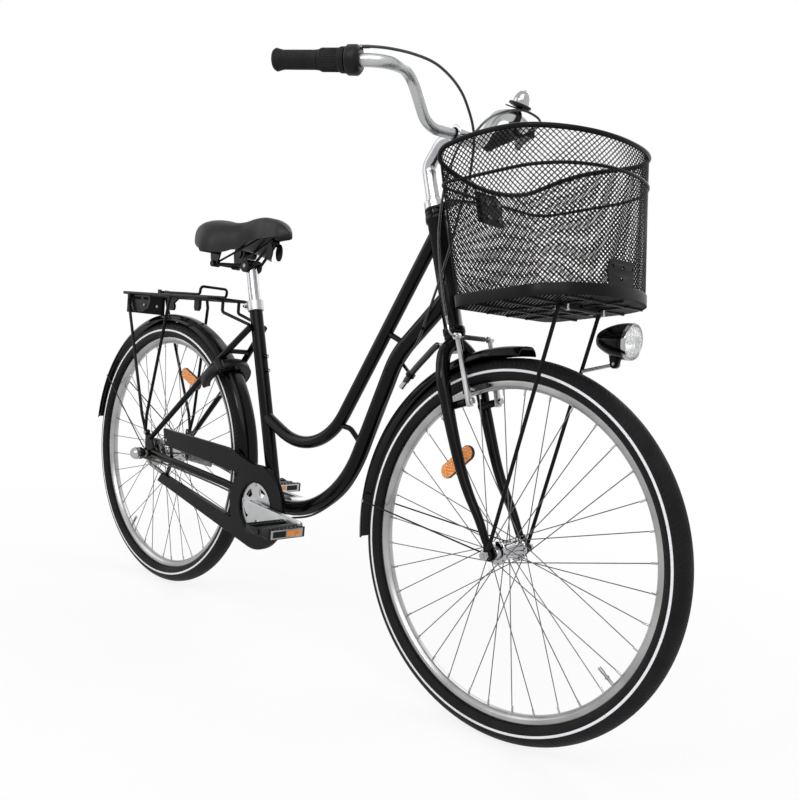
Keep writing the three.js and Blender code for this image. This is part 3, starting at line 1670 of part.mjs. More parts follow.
function forkLegPath(side) {
  const spread = side * forkLegSpread;
  const axlePoint = V(wheelBase, side * (frontEndSpacing / 2 + endPlate / 2), rearAxleHeight);
  const drop = forkShoulderHeight - rearAxleHeight;
  const heightShare = [0.78, 0.46, 0.3, 0.16];
  const rakeShare = [0.05, 0.22, 0.43, 0.72];
  const lower = heightShare.map((share, i) =>
    steerAt(rearAxleHeight + drop * share)
      .addScaledVector(steerForward, forkRake * rakeShare[i])
      .add(V(0, spread - side * rakeShare[i] * endPlate * 0.8, 0)),
  );
  const crown = steerAt(crownBottom + crownHeight * 0.7);
  crown.y = side * steererRadius * 0.5;
  const shoulder = steerAt(crownBottom - forkShoulderInset * 0.4);
  shoulder.y = spread - side * forkShoulderInset * 1.5;
  const top = steerAt(forkShoulderHeight);
  top.y = spread - side * forkShoulderInset * 0.25;
  const tip = axlePoint.clone().lerp(lower[3], 0.32);
  const curve = new THREE.CatmullRomCurve3([crown, shoulder, top, ...lower, tip], false, "centripetal");
  return curve.getSpacedPoints(forkLegSteps);
}

function fork() {
  const base = steerAt(crownBottom);
  const above = (point) => point.clone().sub(base).dot(steerAxis);
  const lowRace = above(steerAt(headTubeBottom)) - cupHeight - gap - raceHeight;
  const headTop = above(headTubePath[1]);
  const collars = [
    [lowRace, raceHeight, raceRadius],
    [headTop + raceFoot, raceHeight, raceRadius],
    [headTop + locknutFoot, locknutHeight, locknutRadius],
  ];
  const profile = collars.flatMap(([foot, height, radius]) => [
    [steererRadius, foot],
    [radius, foot],
    [radius, foot + height],
    [steererRadius, foot + height],
  ]);
  profile.pop();
  const column = turned([[0, 0], [steererRadius, 0], ...profile, [0, headTop + steererTop]], base,
    steerAxis, turnedSides);
  const legs = [rightSide, leftSide].flatMap((side) => {
    const path = forkLegPath(side);
    const leg = pipe(
      path,
      (share) => (share < 0.3 ? forkShoulderRadius : forkLegRadius) +
        (forkTipRadius - forkLegRadius) * Math.max(0, (share - 0.3) / 0.7) ** 1.2,
      forkLegSides,
      V(0, 1, 0),
    );
    const tip = path[path.length - 1];
    const face = side * (frontEndSpacing / 2);
    const end = plate(
      [
        ...arc(wheelBase, rearAxleHeight, forkLegRadius, 200 * degree, 400 * degree, 6),
        [tip.x + forkTipRadius, tip.z + forkTipRadius],
        [tip.x - forkTipRadius, tip.z + forkTipRadius / 2],
      ],
      face,
      face + side * endPlate,
      [circle(wheelBase, rearAxleHeight, axleRadius + runningGap, rodSides)],
    );
    const root = steerAt(brakePivotHeight).setY(side * brakePivotOffset);
    const pinAt = (forward) => root.clone().addScaledVector(steerForward, forward);
    const pinEnd = brakePivotForward + brakeArmThickness + 2 * gap;
    const boss = rod(root, pinAt(brakePivotForward), brakeBossRadius, rodSides);
    const pin = join(
      rod(root, pinAt(pinEnd + brakeHeadLength / 2), brakePinRadius, wireSides),
      rod(pinAt(pinEnd), pinAt(pinEnd + brakeHeadLength), brakeHeadRadius, wireSides),
    );
    return [leg, end, boss, pin];
  });
  const quillBore = rod(alongSteerer(steererTop - quillLength - gap), alongSteerer(steererTop + overrun),
    quillRadius + runningGap);
  return cut(join(column, ...legs), quillBore);
}

function stem() {
  const knee = steerAt(stemKneeHeight);
  const clampAt = V(stemClampX, 0, stemClampHeight);
  const corners = [
    alongSteerer(steererTop + gap),
    knee,
    V(knee.x + stemElbowForward, 0, stemElbowHeight),
    clampAt,
  ];
  const body = pipe(
    bend(corners, stemBendRadius, tightBendStep),
    (share) => stemRadius + (stemArmRadius - stemRadius) * share,
    tubeSides,
  );
  const quill = rod(alongSteerer(steererTop - quillLength + gap), alongSteerer(steererTop + 2 * gap),
    quillRadius);
  const clamp = crossRod(clampAt.x, clampAt.z, -stemClampHalfWidth, stemClampHalfWidth,
    stemClampRadius, roundSides);
  return cut(join(body, quill, clamp), handlebarShape(barRadius + gap));
}

function barCorners(side) {
  const rise = stemClampHeight + barRise;
  const shoulder = V(stemClampX + barShoulderForward, side * barShoulderHalf, rise - barGripDrop);
  return [
    V(stemClampX - barSweepBack, side * barFlatHalf, stemClampHeight),
    V(stemClampX - barRiseBack, side * barRiseHalf, rise),
    shoulder,
    gripAt(side, gripLength - gripBead),
  ];
}

// Point along a grip's axis, from where the grip starts
function gripAt(side, distance) {
  const back = (gripOffset - barShoulderHalf) / Math.tan(barGripAngle);
  const start = V(
    stemClampX + barShoulderForward - back,
    side * gripOffset,
    stemClampHeight + barRise - barGripDrop,
  );
  return start.addScaledVector(gripLine(side), distance);
}

function gripLine(side) {
  return V(-Math.cos(barGripAngle), side * Math.sin(barGripAngle), 0);
}

function handlebarShape(radius) {
  const corners = [
    ...barCorners(rightSide).reverse(),
    V(stemClampX, 0, stemClampHeight),
    ...barCorners(leftSide),
  ];
  return pipe(bend(corners, barBendRadius, tightBendStep), radius, barSides, V(0, 0, 1));
}

function sleeve(side, from, length, profileShare) {
  const bore = barRadius + runningGap;
  const profile = profileShare.map(([radius, share]) => [radius, share * length]);
  return turned(
    [[bore, 0], ...profile, [bore, length]],
    gripAt(side, from),
    gripLine(side),
    gripSides,
  );
}

const gripProfileShare = [
  [gripRadius, 0],
  [gripRadius - gripWaist, 0.1],
  [gripRadius - gripWaist, 0.8],
  [gripRadius + gripBead, 0.95],
  [gripRadius, 1],
];

const gripNormal = V(Math.sin(barGripAngle), Math.cos(barGripAngle), 0);
const leverRoot = gripAt(leftSide, -leverMountLength / 2 - gap);
const leverPin = leverRoot.clone().addScaledVector(gripNormal, leverBossForward);
const leverStopEnd = leverRoot
  .clone()
  .addScaledVector(gripNormal, leverStopForward)
  .addScaledVector(gripLine(leftSide), -leverStopLength);

// Clamp and slotted head that carry the brake lever, with the stop where its cable starts
function brakeMount() {
  const ring = sleeve(leftSide, -leverMountLength - gap, leverMountLength,
    [[leverMountRadius, 0], [leverMountRadius, 1]]);
  const half = leverHalfHeight + gap;
  const arm = rod(
    leverRoot.clone().addScaledVector(gripNormal, (barRadius + leverMountRadius) / 2),
    leverPin.clone().addScaledVector(gripNormal, leverArmRadius),
    leverArmRadius,
    rodSides,
    V(0, 0, 1),
  );
  const slot = turned(
    [
      [0, -half],
      [leverSlotRadius, -half],
      [leverSlotRadius, half],
      [0, half],
    ],
    leverPin,
    V(0, 0, 1),
    rodSides,
  );
  const pinReach = V(0, 0, half + leverPinTail);
  const post = rod(leverPin.clone().sub(pinReach), leverPin.clone().add(pinReach), leverPinRadius,
    wireSides, V(1, 0, 0));
  const stopStart = leverStopEnd.clone().addScaledVector(gripLine(leftSide),
    leverStopLength - leverArmRadius / 2);
  const stop = rod(stopStart, leverStopEnd, leverStopRadius, wireSides, V(0, 0, 1));
  return join(ring, cut(join(arm, stop), slot), post);
}

piece("fork", fork(), blackPaint(), steering);
piece("stem", stem(), chrome(), steering);
piece("handlebar", handlebarShape(barRadius), alloy(), steering);
piece("grip_left", sleeve(leftSide, 0, gripLength, gripProfileShare), rubber(), steering);
piece("grip_right", sleeve(rightSide, twistLength + gap, gripLength - twistLength - gap,
  gripProfileShare), rubber(), steering);
piece("twist_grip", sleeve(rightSide, 0, twistLength, [[twistRadius + twistLip, 0], [twistRadius, 0.25],
  [twistRadius, 0.9], [gripRadius, 1]]), rubber(), steering);
piece("shifter", sleeve(rightSide, -shifterLength - gap, shifterLength, [[shifterRadius * 0.8, 0],
  [shifterRadius, 0.2], [shifterRadius, 0.85], [twistRadius, 1]]), plastic(), steering);

// Brake lever on its upright pin. Its own X runs out along the grip and Z forward
function brakeLever() {
  const tip = leverHalfHeight;
  const edgeShare = [[0.1, -0.17], [0.35, 0.05], [0.75, 0.32]];
  const backShare = [[0.7, 0.68], [0.3, 0.43]];
  const place = ([along, out]) => [leverLength * along, leverReach * out];
  const outline = [
    ...arc(0, 0, leverHeadRadius, 90 * degree, 270 * degree, 7),
    ...edgeShare.map(place),
    ...arc(leverLength, leverReach - tip, tip, -60 * degree, 120 * degree, 4),
    ...backShare.map(place),
  ];
  const blade = plate(outline, -leverHalfHeight, leverHalfHeight, [
    circle(0, 0, leverPinRadius + runningGap, 10),
  ]);
  const out = gripLine(leftSide);
  blade.applyMatrix4(new THREE.Matrix4().makeBasis(out, V(0, 0, 1), gripNormal));
  blade.translate(leverPin.x, leverPin.y, leverPin.z);
  return blade;
}

piece("brake_mount", brakeMount(), plastic(), steering);
piece("brake_lever", brakeLever(), plastic(), steering);

// Bell on the left rise of the bar
const bell = new THREE.Group();
steering.add(bell);
const bellRoot = (() => {
  const [, low, high] = barCorners(leftSide);
  return low.lerp(high, (bellOffset - low.y) / (high.y - low.y));
})();
const bellAxis = V(Math.sin(bellTilt), 0, Math.cos(bellTilt));

function bellBody() {
  const [, low, high] = barCorners(leftSide);
  const barLine = high.sub(low).normalize();
  const half = bellBaseHeight / 2;
  const band = turned(
    [
      [barRadius + 2 * runningGap, -half],
      [barRadius + half, -half],
      [barRadius + half, half],
      [barRadius + 2 * runningGap, half],
    ],
    bellRoot,
    barLine,
    tubeSides,
  );
  const post = rod(
    bellRoot.clone().addScaledVector(bellAxis, barRadius + bellPostSink),
    bellRoot.clone().addScaledVector(bellAxis, bellStandOff),
    bellPostRadius,
    rodSides,
  );
  const domeShare = [[0.93, 0.42], [0.68, 0.78], [0.35, 0.96], [0, 1]];
  const dome = turned(
    [
      [0, 0],
      [bellBaseRadius * 0.5, 0],
      [bellBaseRadius, bellBaseHeight * 0.4],
      [bellBaseRadius, bellBaseHeight * 0.8],
      [bellRadius, bellBaseHeight],
      ...domeShare.map(([radius, share]) => [
        bellRadius * radius,
        bellBaseHeight + bellDomeHeight * share,
      ]),
    ],
    bellRoot.clone().addScaledVector(bellAxis, bellStandOff - bellBaseHeight),
    bellAxis,
    roundSides,
  );
  return join(band, post, dome);
}

function bellLever() {
  const centre = bellRoot.clone().addScaledVector(bellAxis,
    bellStandOff - bellBaseHeight - bellLeverThickness / 2 - gap);
  const bore = bellPostRadius + runningGap;
  const ring = turned(
    [
      [bore, -bellLeverThickness / 2],
      [bore * 1.7, -bellLeverThickness / 2],
      [bore * 1.7, bellLeverThickness / 2],
      [bore, bellLeverThickness / 2],
    ],
    centre,
    bellAxis,
    turnedSides,
  );
  const back = V(-bellAxis.z, 0, bellAxis.x);
  const thumb = pipe(
    [
      centre.clone().addScaledVector(back, bore * 1.35),
      centre.clone().addScaledVector(back, bellBaseRadius + bellLeverLength),
    ],
    (share) => [bellBaseHeight * (0.4 + 0.4 * share), bellLeverThickness / 2],
    6,
  );
  return join(ring, thumb);
}

piece("bell", bellBody(), chrome(), bell);
piece("bell_lever", bellLever(), plastic(), bell);

// Front brake: two arms on the fork's pivots, each with a shoe beside the rim and the cable's hold on top
const brakeMiddle = brakePivotForward + gap + brakeArmThickness / 2;
const brakeLinkAt = (side) =>
  steerAt(brakeArmTopHeight)
    .addScaledVector(steerAxis, -brakeLinkHalf)
    .addScaledVector(steerForward, brakeMiddle)
    .setY(side * brakeArmTopOffset);

const brakeNoodleEnd = V(1008, -66, 776);

function brakeArm(side, ...fittings) {
  const pivot = steerAt(brakePivotHeight).addScaledVector(steerForward, brakeMiddle)
    .setY(side * brakePivotOffset);
  const foot = pivot.clone().addScaledVector(steerAxis, -brakeArmTail);
  const link = brakeLinkAt(side);
  const half = brakeArmThickness / 2;
  const arm = pipe(
    [foot, pivot, pivot.clone().lerp(link, 0.5), link],
    (share) => [brakeArmHalfWidth + (brakeArmTopHalfWidth - brakeArmHalfWidth) * share,
      half * (1 - share / 3)],
    rodSides,
  );
  const hold = crossRod(link.x, link.z, link.y - brakeLinkHalf, link.y + brakeLinkHalf, brakeLinkRadius,
    rodSides);
  const pinHole = rod(
    pivot.clone().addScaledVector(steerForward, -half - overrun),
    pivot.clone().addScaledVector(steerForward, half + overrun),
    brakePinRadius + runningGap,
    rodSides,
  );
  const axle = V(wheelBase, 0, rearAxleHeight);
  const middle = pivot.clone().setY(0);
  const seat = middle.addScaledVector(steerAxis, reachCircle(middle, steerAxis, axle, brakeShoeRadius));
  const outward = seat.clone().sub(axle).normalize();
  const along = V(-outward.z, 0, outward.x).multiplyScalar(brakeShoeLength / 2);
  const shoeY = side * (rimHalfWidth + brakeShoeGap + brakeShoeThickness / 2);
  const onSeat = seat.clone().setY(shoeY);
  const shoe = pipe(
    [onSeat.clone().sub(along), onSeat.clone().add(along)],
    [(brakeShoeThickness / 2) * Math.SQRT2, (brakeShoeHeight / 2) * Math.SQRT2],
    4,
  );
  const bolt = crossRod(seat.x, seat.z, shoeY, side * brakePivotOffset, brakePinRadius, rodSides);
  return join(cut(arm, pinHole), hold, shoe, bolt, ...fittings);
}

// Curved pipe on the right arm that leads the cable in, and the sleeved wire that the left arm holds
function brakeNoodle() {
  const link = brakeLinkAt(rightSide);
  const corner = link.clone().setY(link.y - brakeNoodleReach);
  return pipe(bend([link, corner, brakeNoodleEnd], brakeNoodleBend, 30 * degree), brakeNoodleRadius,
    wireSides, V(0, 0, 1));
}

function brakeWire() {
  const link = brakeLinkAt(leftSide);
  return [
    crossRod(link.x, link.z, link.y, -brakeWireEnd, brakeWireRadius, wireSides),
    crossRod(link.x, link.z, brakeBootStart, -brakeBootEnd, brakeBootRadius, rodSides),
  ];
}

piece("brake_arm_right", brakeArm(rightSide, brakeNoodle()), alloy(), steering);
piece("brake_arm_left", brakeArm(leftSide, ...brakeWire()), alloy(), steering);

// Front axle, fender, basket and headlamp
const frontAxleMesh = piece("front_axle", axle(frontEndSpacing,
  2 * fenderEyeHalf + 2 * gap + 2 * stayRodRadius, axleTail), chrome(), steering);
frontAxleMesh.position.set(wheelBase, 0, rearAxleHeight);
const frontFace = frontEndSpacing / 2 + endPlate;
const frontFenderMesh = piece("front_fender", frontFender(), blackPaint(), steering);
frontFenderMesh.position.set(wheelBase, 0, rearAxleHeight);

function frontFender() {
  const skin = fender(frontFenderFront, frontFenderRear, frontStayAngle,
    frontFace + gap + fenderEyeHalf);
  const tabAt = (height) => steerAt(height)
    .addScaledVector(steerForward, -steererRadius - gap - fenderTabThickness / 2)
    .sub(frontAxleMesh.position);
  const low = tabAt(forkShoulderHeight);
  const rise = reachCircle(low, steerAxis, V(0, 0, 0), fenderRadius - fenderThickness);
  const tab = pipe(
    [low.addScaledVector(steerAxis, rise), tabAt(crownBottom + crownHeight / 2)],
    [(fenderTabWidth / 2) * Math.SQRT2, (fenderTabThickness / 2) * Math.SQRT2],
    4,
  );
  return join(skin, tab);
}

const basketFloorAt = (share) => basketFloorRear + (basketFloorFront - basketFloorRear) * share;

// Basket outline at given heights: flat behind and round in front, leaning forward toward the floor
function basketRing(outset, heightAt) {
  const half = basketHalfWidth + outset;
  const rear = basketRearX - outset;
  const front = basketRearX + basketLength + outset;
  const nose = (front - rear) * basketNoseShare;
  const corner = basketCornerRadius;
  const squarer = (value) => Math.sign(value) * Math.abs(value) ** basketNosePower;
  const plan = [
    ...arc(0, 0, 1, -90 * degree, 90 * degree, 12).map(([x, y]) => [
      front - nose + nose * squarer(x),
      half * squarer(y),
    ]),
    ...arc(rear + corner, half - corner, corner, 90 * degree, 180 * degree, 3),
    [rear, 0],
    ...arc(rear + corner, corner - half, corner, 180 * degree, 270 * degree, 3),
  ];
  return plan.map(([x, y]) => {
    const share = (x - rear) / (front - rear);
    const height = heightAt(share, y / half);
    const rim = basketRimAt(share, y / half);
    const down = (rim - height) / (rim - basketFloorAt(share));
    const shift = basketRearShift + (basketFrontShift - basketRearShift) * share;
    return V(x + shift * down, y * (1 - (basketTaper / basketHalfWidth) * down), height);
  });
}

const basketBandAt = (share) => basketFloorAt(share) + basketBandHeight;
const basketHoopAt = (share) => basketHoopRear + (basketHoopFront - basketHoopRear) * share;
const basketRimAt = (share, across) => {
  const rise = 1 - (1 - share) ** 3;
  const corner = basketRimCorner * across * across * (1 - share) ** 2;
  return basketRimRear + (basketRimFront - basketRimRear) * rise + corner;
};

function basket() {
  const raised = (height, up) => (share, across) => height(share, across) + up;
  const bead = (height, radius) => [
    basketRing(0, raised(height, -radius)),
    basketRing(radius, height),
    basketRing(0, raised(height, radius)),
  ];
  return loft([
    basketRing(basketBandStep, basketFloorAt),
    basketRing(basketBandStep, basketBandAt),
    basketRing(0, raised(basketBandAt, gap)),
    ...bead(basketHoopAt, basketHoopRadius),
    ...bead(basketRimAt, basketRimRadius),
    basketRing(-basketWall, raised(basketRimAt, basketRimRadius)),
    basketRing(-basketWall, raised(basketFloorAt, basketWall)),
  ]);
}

function basketBracket() {
  const ring = turned(
    [
      [steererRadius + runningGap, 0],
      [raceRadius, 0],
      [raceRadius, bracketThickness],
      [steererRadius + runningGap, bracketThickness],
    ],
    alongSteerer(bracketFoot),
    steerAxis,
    roundSides,
  );
  const half = bracketThickness / 2;
  const root = alongSteerer(bracketFoot + half).addScaledVector(steerForward, raceRadius - half);
  const elbow = root.clone().addScaledVector(steerForward, bracketWidth);
  const lean = basketRearShift / (basketRimRear - basketFloorRear);
  const wallAt = (height) =>
    basketRearX + lean * (basketRimRear - height) - basketHoopRadius - 2 * gap;
  const padTop = basketRimRear - basketRimRadius - 3 * gap;
  const padFoot = padTop - bracketPlateHeight;
  const faceZ = padTop - bracketPlateHeight * bracketFaceShare;
  const face = V(wallAt(faceZ) - half, 0, faceZ);
  const strap = plate(
    [
      [root.x, root.z - half],
      [elbow.x, elbow.z - half],
      [face.x, face.z - half],
      [face.x, face.z + half],
      [elbow.x, elbow.z + half],
      [root.x, root.z + half],
    ],
    -bracketWidth / 2,
    bracketWidth / 2,
  );
  const pad = plate(
    [
      [wallAt(padFoot) - bracketThickness, padFoot],
      [wallAt(padFoot), padFoot],
      [wallAt(padTop), padTop],
      [wallAt(padTop) - bracketThickness, padTop],
    ],
    -bracketWidth,
    bracketWidth,
  );
  return join(ring, strap, pad);
}

function basketStays() {
  const floorLength = basketLength + basketFrontShift - basketRearShift;
  const share = (stayTopX - basketRearX - basketRearShift) / floorLength;
  const topZ = basketFloorAt(share) - stayRodRadius - 3 * gap;
  const footY = frontFace + 2 * gap + 2 * fenderEyeHalf + stayRodRadius;
  const bar = crossRod(stayTopX, topZ, -stayTopHalf, stayTopHalf, stayRodRadius, wireSides);
  const sides = [rightSide, leftSide].flatMap((side) => {
    const foot = V(wheelBase, side * footY, rearAxleHeight);
    const top = V(stayTopX, side * stayTopHalf, topZ);
    const start = foot.clone().add(top.clone().sub(foot).setY(0).setLength(axleNutRadius * 0.8));
    const eye = turned(
      [
        [axleRadius + runningGap, -stayEyeHalf],
        [axleNutRadius, -stayEyeHalf],
        [axleNutRadius, stayEyeHalf],
        [axleRadius + runningGap, stayEyeHalf],
      ],
      foot,
      V(0, 1, 0),
      rodSides,
    );
    return [eye, rod(start, top, stayEyeHalf, wireSides)];
  });
  const onStay = V(wheelBase, footY, rearAxleHeight).lerp(V(stayTopX, stayTopHalf, topZ),
    (lampArmHeight - rearAxleHeight) / (topZ - rearAxleHeight));
  const pivot = lampPivot();
  const armRadius = stayEyeHalf;
  const cheek = lampEarHalf + gap + armRadius;
  const arm = pipe(bend([onStay, V(pivot.x - lampEarRadius * 2, pivot.y + cheek, pivot.z - lampEarRadius),
    V(pivot.x, pivot.y + cheek, pivot.z)], lampArmBend, tightBendStep), armRadius, wireSides);
  const disc = crossRod(pivot.x, pivot.z, pivot.y + lampEarHalf + gap, pivot.y + cheek, lampEarRadius,
    rodSides);
  const pin = crossRod(pivot.x, pivot.z, pivot.y - lampEarHalf - lampPinTail, pivot.y + cheek, lampPivotRadius,
    wireSides);
  return join(bar, ...sides, arm, disc, pin);
}

function lampPivot() {
  return V(lampX - lampLength / 2, lampOffset, lampHeight - lampPivotDrop);
}

function lampShell() {
  const tail = V(lampX - lampLength, lampOffset, lampHeight);
  const depth = lampLength - lampLensBulge;
  const profileShare = [[0.34, 0], [0.6, 0.1], [0.82, 0.3], [0.96, 0.6], [1, 1 - lampRimDepth / depth],
    [1, 1]];
  const shell = turned(
    [
      [0, 0],
      ...profileShare.map(([radius, share]) => [radius * lampRadius, share * depth]),
      [lampRadius * 0.9, depth],
      [lampRadius * 0.9, depth - lampRimDepth],
      [0, depth - lampRimDepth],
    ],
    tail,
    V(1, 0, 0),
    lampSides,
  );
  const pivot = lampPivot();
  const ear = plate(
    [
      ...arc(pivot.x, pivot.z, lampEarRadius, 180 * degree, 360 * degree, 5),
      [pivot.x + lampEarRadius * 1.5, lampHeight - lampRadius * 0.8],
      [pivot.x - lampEarRadius * 1.5, lampHeight - lampRadius * 0.8],
    ],
    lampOffset - lampEarHalf,
    lampOffset + lampEarHalf,
    [circle(pivot.x, pivot.z, lampPivotRadius + runningGap, 10)],
  );
  return join(shell, ear);
}

function lampLens() {
  const radius = lampRadius * 0.9 - gap;
  const seat = V(lampX - lampLensBulge - lampRimDepth + gap, lampOffset, lampHeight);
  return turned(
    [
      [0, 0],
      [radius, 0],
      [radius, lampRimDepth - gap],
      [radius * 0.75, lampRimDepth + lampLensBulge * 0.5],
      [radius * 0.4, lampRimDepth + lampLensBulge * 0.85],
      [0, lampRimDepth + lampLensBulge - gap],
    ],
    seat,
    V(1, 0, 0),
    lampSides,
  );
}

piece("basket", basket(), blackPaint(), steering);
piece("basket_bracket", basketBracket(), blackPaint(), steering);
piece("basket_stays", basketStays(), blackPaint(), steering);
piece("lamp_shell", lampShell(), blackPaint(), steering);
piece("lamp_lens", lampLens(), material(0xf2f2ee, 0.1, 0), steering);

// Cables along the routes that their clips hold
const brakeCableLead = V(-0.5, 0, 1.1); // from the curved pipe's mouth to the cable's end
const brakeCableRoute = [
  leverStopEnd.clone().addScaledVector(gripLine(leftSide), -2 * gap),
  V(948, 232, 1191), V(966, 218, 1193), V(969, 204, 1199), V(964, 188, 1204), V(957, 172, 1207),
  V(951, 152, 1204), V(947, 130, 1197), V(945, 107, 1187), V(950, 76, 1172), V(960, 41, 1150),
  V(967, 10, 1125), V(971, -18, 1109), V(972, -38, 1087), V(969, -47, 1062), V(966, -52, 1037),
  V(964, -58, 1000), V(964, -60, 930), V(973, -61, 880), V(988, -63, 830),
  brakeNoodleEnd.clone().add(brakeCableLead),
];
const shifterFace = gripAt(rightSide, -shifterLength - 3 * gap).add(V(0, 0, shifterCableRise));
const gearCableFrontRoute = [
  shifterFace,
  V(921, -223, 1214), V(939, -200, 1215), V(963, -170, 1212), V(986, -140, 1203), V(1002, -114, 1186),
  V(1011, -90, 1165), V(1013, -68, 1140), V(1012, -50, 1115), V(1008, -38, 1090), V(1002, -31, 1060),
  V(996, -27, 1028), V(984, -27, 985), V(972, -29, 920), V(955, -28, 860), V(934, -26, 800),
  V(912, -18, 755),
];
const gearCableRearRoute = [
  V(909, -17, 749), V(890, -9, 722), V(871, -6, 700), V(850, -6, 669), V(832, -6, 622),
  V(811, -6, 576), V(796, -6, 533), V(779, -6, 482), V(758, -6, 437), V(726, -6, 390),
  V(678, -6, 348), V(617, -6, 310), V(556, -7, 291), V(500, -12, 280), V(472, -17, 280),
  V(450, -23, 287), V(425, -30, 299), V(380, -36, 309), V(325, -40.5, 318),
  V(250, -48, 326.5), V(180, -55.5, 333.5), V(130, -61, 338.5), V(90, -67, 341), V(50, -80, 345), V(17, -94, 350),
];
piece("brake_cable", cord(brakeCableRoute, brakeCableSteps), plastic(), steering);
piece("gear_cable_front", cord(gearCableFrontRoute, gearCableFrontSteps), plastic(), steering);
piece("gear_cable_rear", cord(gearCableRearRoute, gearCableRearSteps), plastic());

// Sleeved spring that centres the steering, from behind the crown to a clip on the lower tube
function damperSpring() {
  const radius = (share) => {
    if (share < damperHookShare) return damperHookRadius;
    return share < damperCapShare ? damperRadius : damperCapRadius;
  };
  return pipe(damperPath, radius, rodSides);
}

piece("damper_spring", damperSpring(), rubber());

const extent = new THREE.Box3().setFromObject(bicycle);
const middle = extent.getCenter(V(0, 0, 0));
bicycle.position.set(-middle.x, -middle.y, -extent.min.z);

export default bicycle;
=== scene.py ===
import json
import math

import bmesh
import bpy
import numpy as np
from mathutils import Matrix, Vector
from mathutils.geometry import tessellate_polygon

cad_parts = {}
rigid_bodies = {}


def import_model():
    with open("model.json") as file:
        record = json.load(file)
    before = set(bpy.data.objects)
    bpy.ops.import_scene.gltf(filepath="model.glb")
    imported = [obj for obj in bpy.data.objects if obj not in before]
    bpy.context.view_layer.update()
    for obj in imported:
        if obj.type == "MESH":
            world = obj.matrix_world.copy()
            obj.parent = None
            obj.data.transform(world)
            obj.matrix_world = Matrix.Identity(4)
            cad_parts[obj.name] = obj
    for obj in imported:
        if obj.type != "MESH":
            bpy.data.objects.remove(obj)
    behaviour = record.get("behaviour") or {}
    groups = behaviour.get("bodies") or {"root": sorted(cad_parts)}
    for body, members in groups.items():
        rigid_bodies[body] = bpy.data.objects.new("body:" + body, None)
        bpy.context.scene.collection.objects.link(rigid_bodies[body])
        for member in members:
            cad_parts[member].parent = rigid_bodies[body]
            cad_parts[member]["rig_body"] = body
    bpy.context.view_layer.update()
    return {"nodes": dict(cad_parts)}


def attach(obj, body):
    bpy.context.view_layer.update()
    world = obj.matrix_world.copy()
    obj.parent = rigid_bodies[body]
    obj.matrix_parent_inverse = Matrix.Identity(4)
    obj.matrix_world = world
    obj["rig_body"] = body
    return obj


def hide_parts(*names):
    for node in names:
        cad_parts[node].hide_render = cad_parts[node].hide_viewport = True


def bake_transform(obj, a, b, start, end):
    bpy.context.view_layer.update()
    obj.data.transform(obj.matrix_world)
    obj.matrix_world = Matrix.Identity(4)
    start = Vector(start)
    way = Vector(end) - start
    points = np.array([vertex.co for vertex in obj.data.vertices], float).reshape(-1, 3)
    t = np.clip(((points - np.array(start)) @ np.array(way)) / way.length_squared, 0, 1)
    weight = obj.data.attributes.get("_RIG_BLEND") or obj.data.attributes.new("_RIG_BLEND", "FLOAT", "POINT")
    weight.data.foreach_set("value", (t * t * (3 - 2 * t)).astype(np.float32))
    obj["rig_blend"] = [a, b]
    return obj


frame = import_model()
print("frame loaded")

# Places are in millimetres from the ground under the rear axle. The shift takes them to the frame's origin
shift = Vector((-571.3393402, -22.1203613, 0))
wheelBase = 1160
axleHeight = 357
headAngle = math.radians(70.8)
seatAngle = math.radians(73.5)
forkRake = 44
crankX = 480
crankZ = 305
left = 1
right = -1
xAxis = (1, 0, 0)
yAxis = (0, 1, 0)
zAxis = (0, 0, 1)


def row(point):
    return (Vector(point) + shift) / 1000


def steerAt(height):
    foot = wheelBase - forkRake / math.sin(headAngle)
    return Vector((foot - (height - axleHeight) / math.tan(headAngle), 0, height))


def seatAt(height):
    return Vector((crankX - (height - crankZ) / math.tan(seatAngle), 0, height))


steerAxis = Vector((-math.cos(headAngle), 0, math.sin(headAngle)))
steerForward = Vector((math.sin(headAngle), 0, math.cos(headAngle)))
seatAxis = Vector((-math.cos(seatAngle), 0, math.sin(seatAngle)))


# Shapes are gathered as plain lists and turned into one mesh for each piece
def newShape():
    return {"verts": [], "faces": [], "mats": [], "smooth": []}


def addFaces(shape, verts, faces, mat=0, smooth=True):
    start = len(shape["verts"])
    shape["verts"].extend(Vector(v) for v in verts)
    for face in faces:
        shape["faces"].append([start + i for i in face])
        shape["mats"].append(mat)
        shape["smooth"].append(smooth)


def addRings(shape, rings, mat=0, closed=False, smooth=True, caps=True):
    count = len(rings[0])
    verts = [p for ring in rings for p in ring]
    faces = []
    strips = len(rings) if closed else len(rings) - 1
    for i in range(strips):
        a = i * count
        b = ((i + 1) % len(rings)) * count
        for j in range(count):
            k = (j + 1) % count
            faces.append([a + j, a + k, b + k, b + j])
    addFaces(shape, verts, faces, mat, smooth)
    if caps and not closed:
        addFaces(shape, rings[0], [list(range(count))[::-1]], mat, False)
        addFaces(shape, rings[-1], [list(range(count))], mat, False)


def addTube(shape, path, radius, sides=16, mat=0, normal=(0, 1, 0), closed=False, caps=True):
    path = [Vector(p) for p in path]
    count = len(path)
    lengths = [0]
    for i in range(1, count):
        lengths.append(lengths[-1] + (path[i] - path[i - 1]).length)
    normal = Vector(normal)
    rings = []
    for i, point in enumerate(path):
        before = path[i - 1] if i > 0 or closed else point
        after = path[(i + 1) % count] if i < count - 1 or closed else point
        tangent = ((point - before).normalized() + (after - point).normalized()).normalized()
        normal = (normal - tangent * normal.dot(tangent)).normalized()
        side = tangent.cross(normal)
        given = radius(lengths[i] / lengths[-1]) if callable(radius) else radius
        wide, high = given if isinstance(given, (tuple, list)) else (given, given)
        ring = []
        for k in range(sides):
            angle = 2 * math.pi * (k + 0.5) / sides
            ring.append(point + normal * wide * math.cos(angle) + side * high * math.sin(angle))
        rings.append(ring)
    addRings(shape, rings, mat, closed, True, caps)


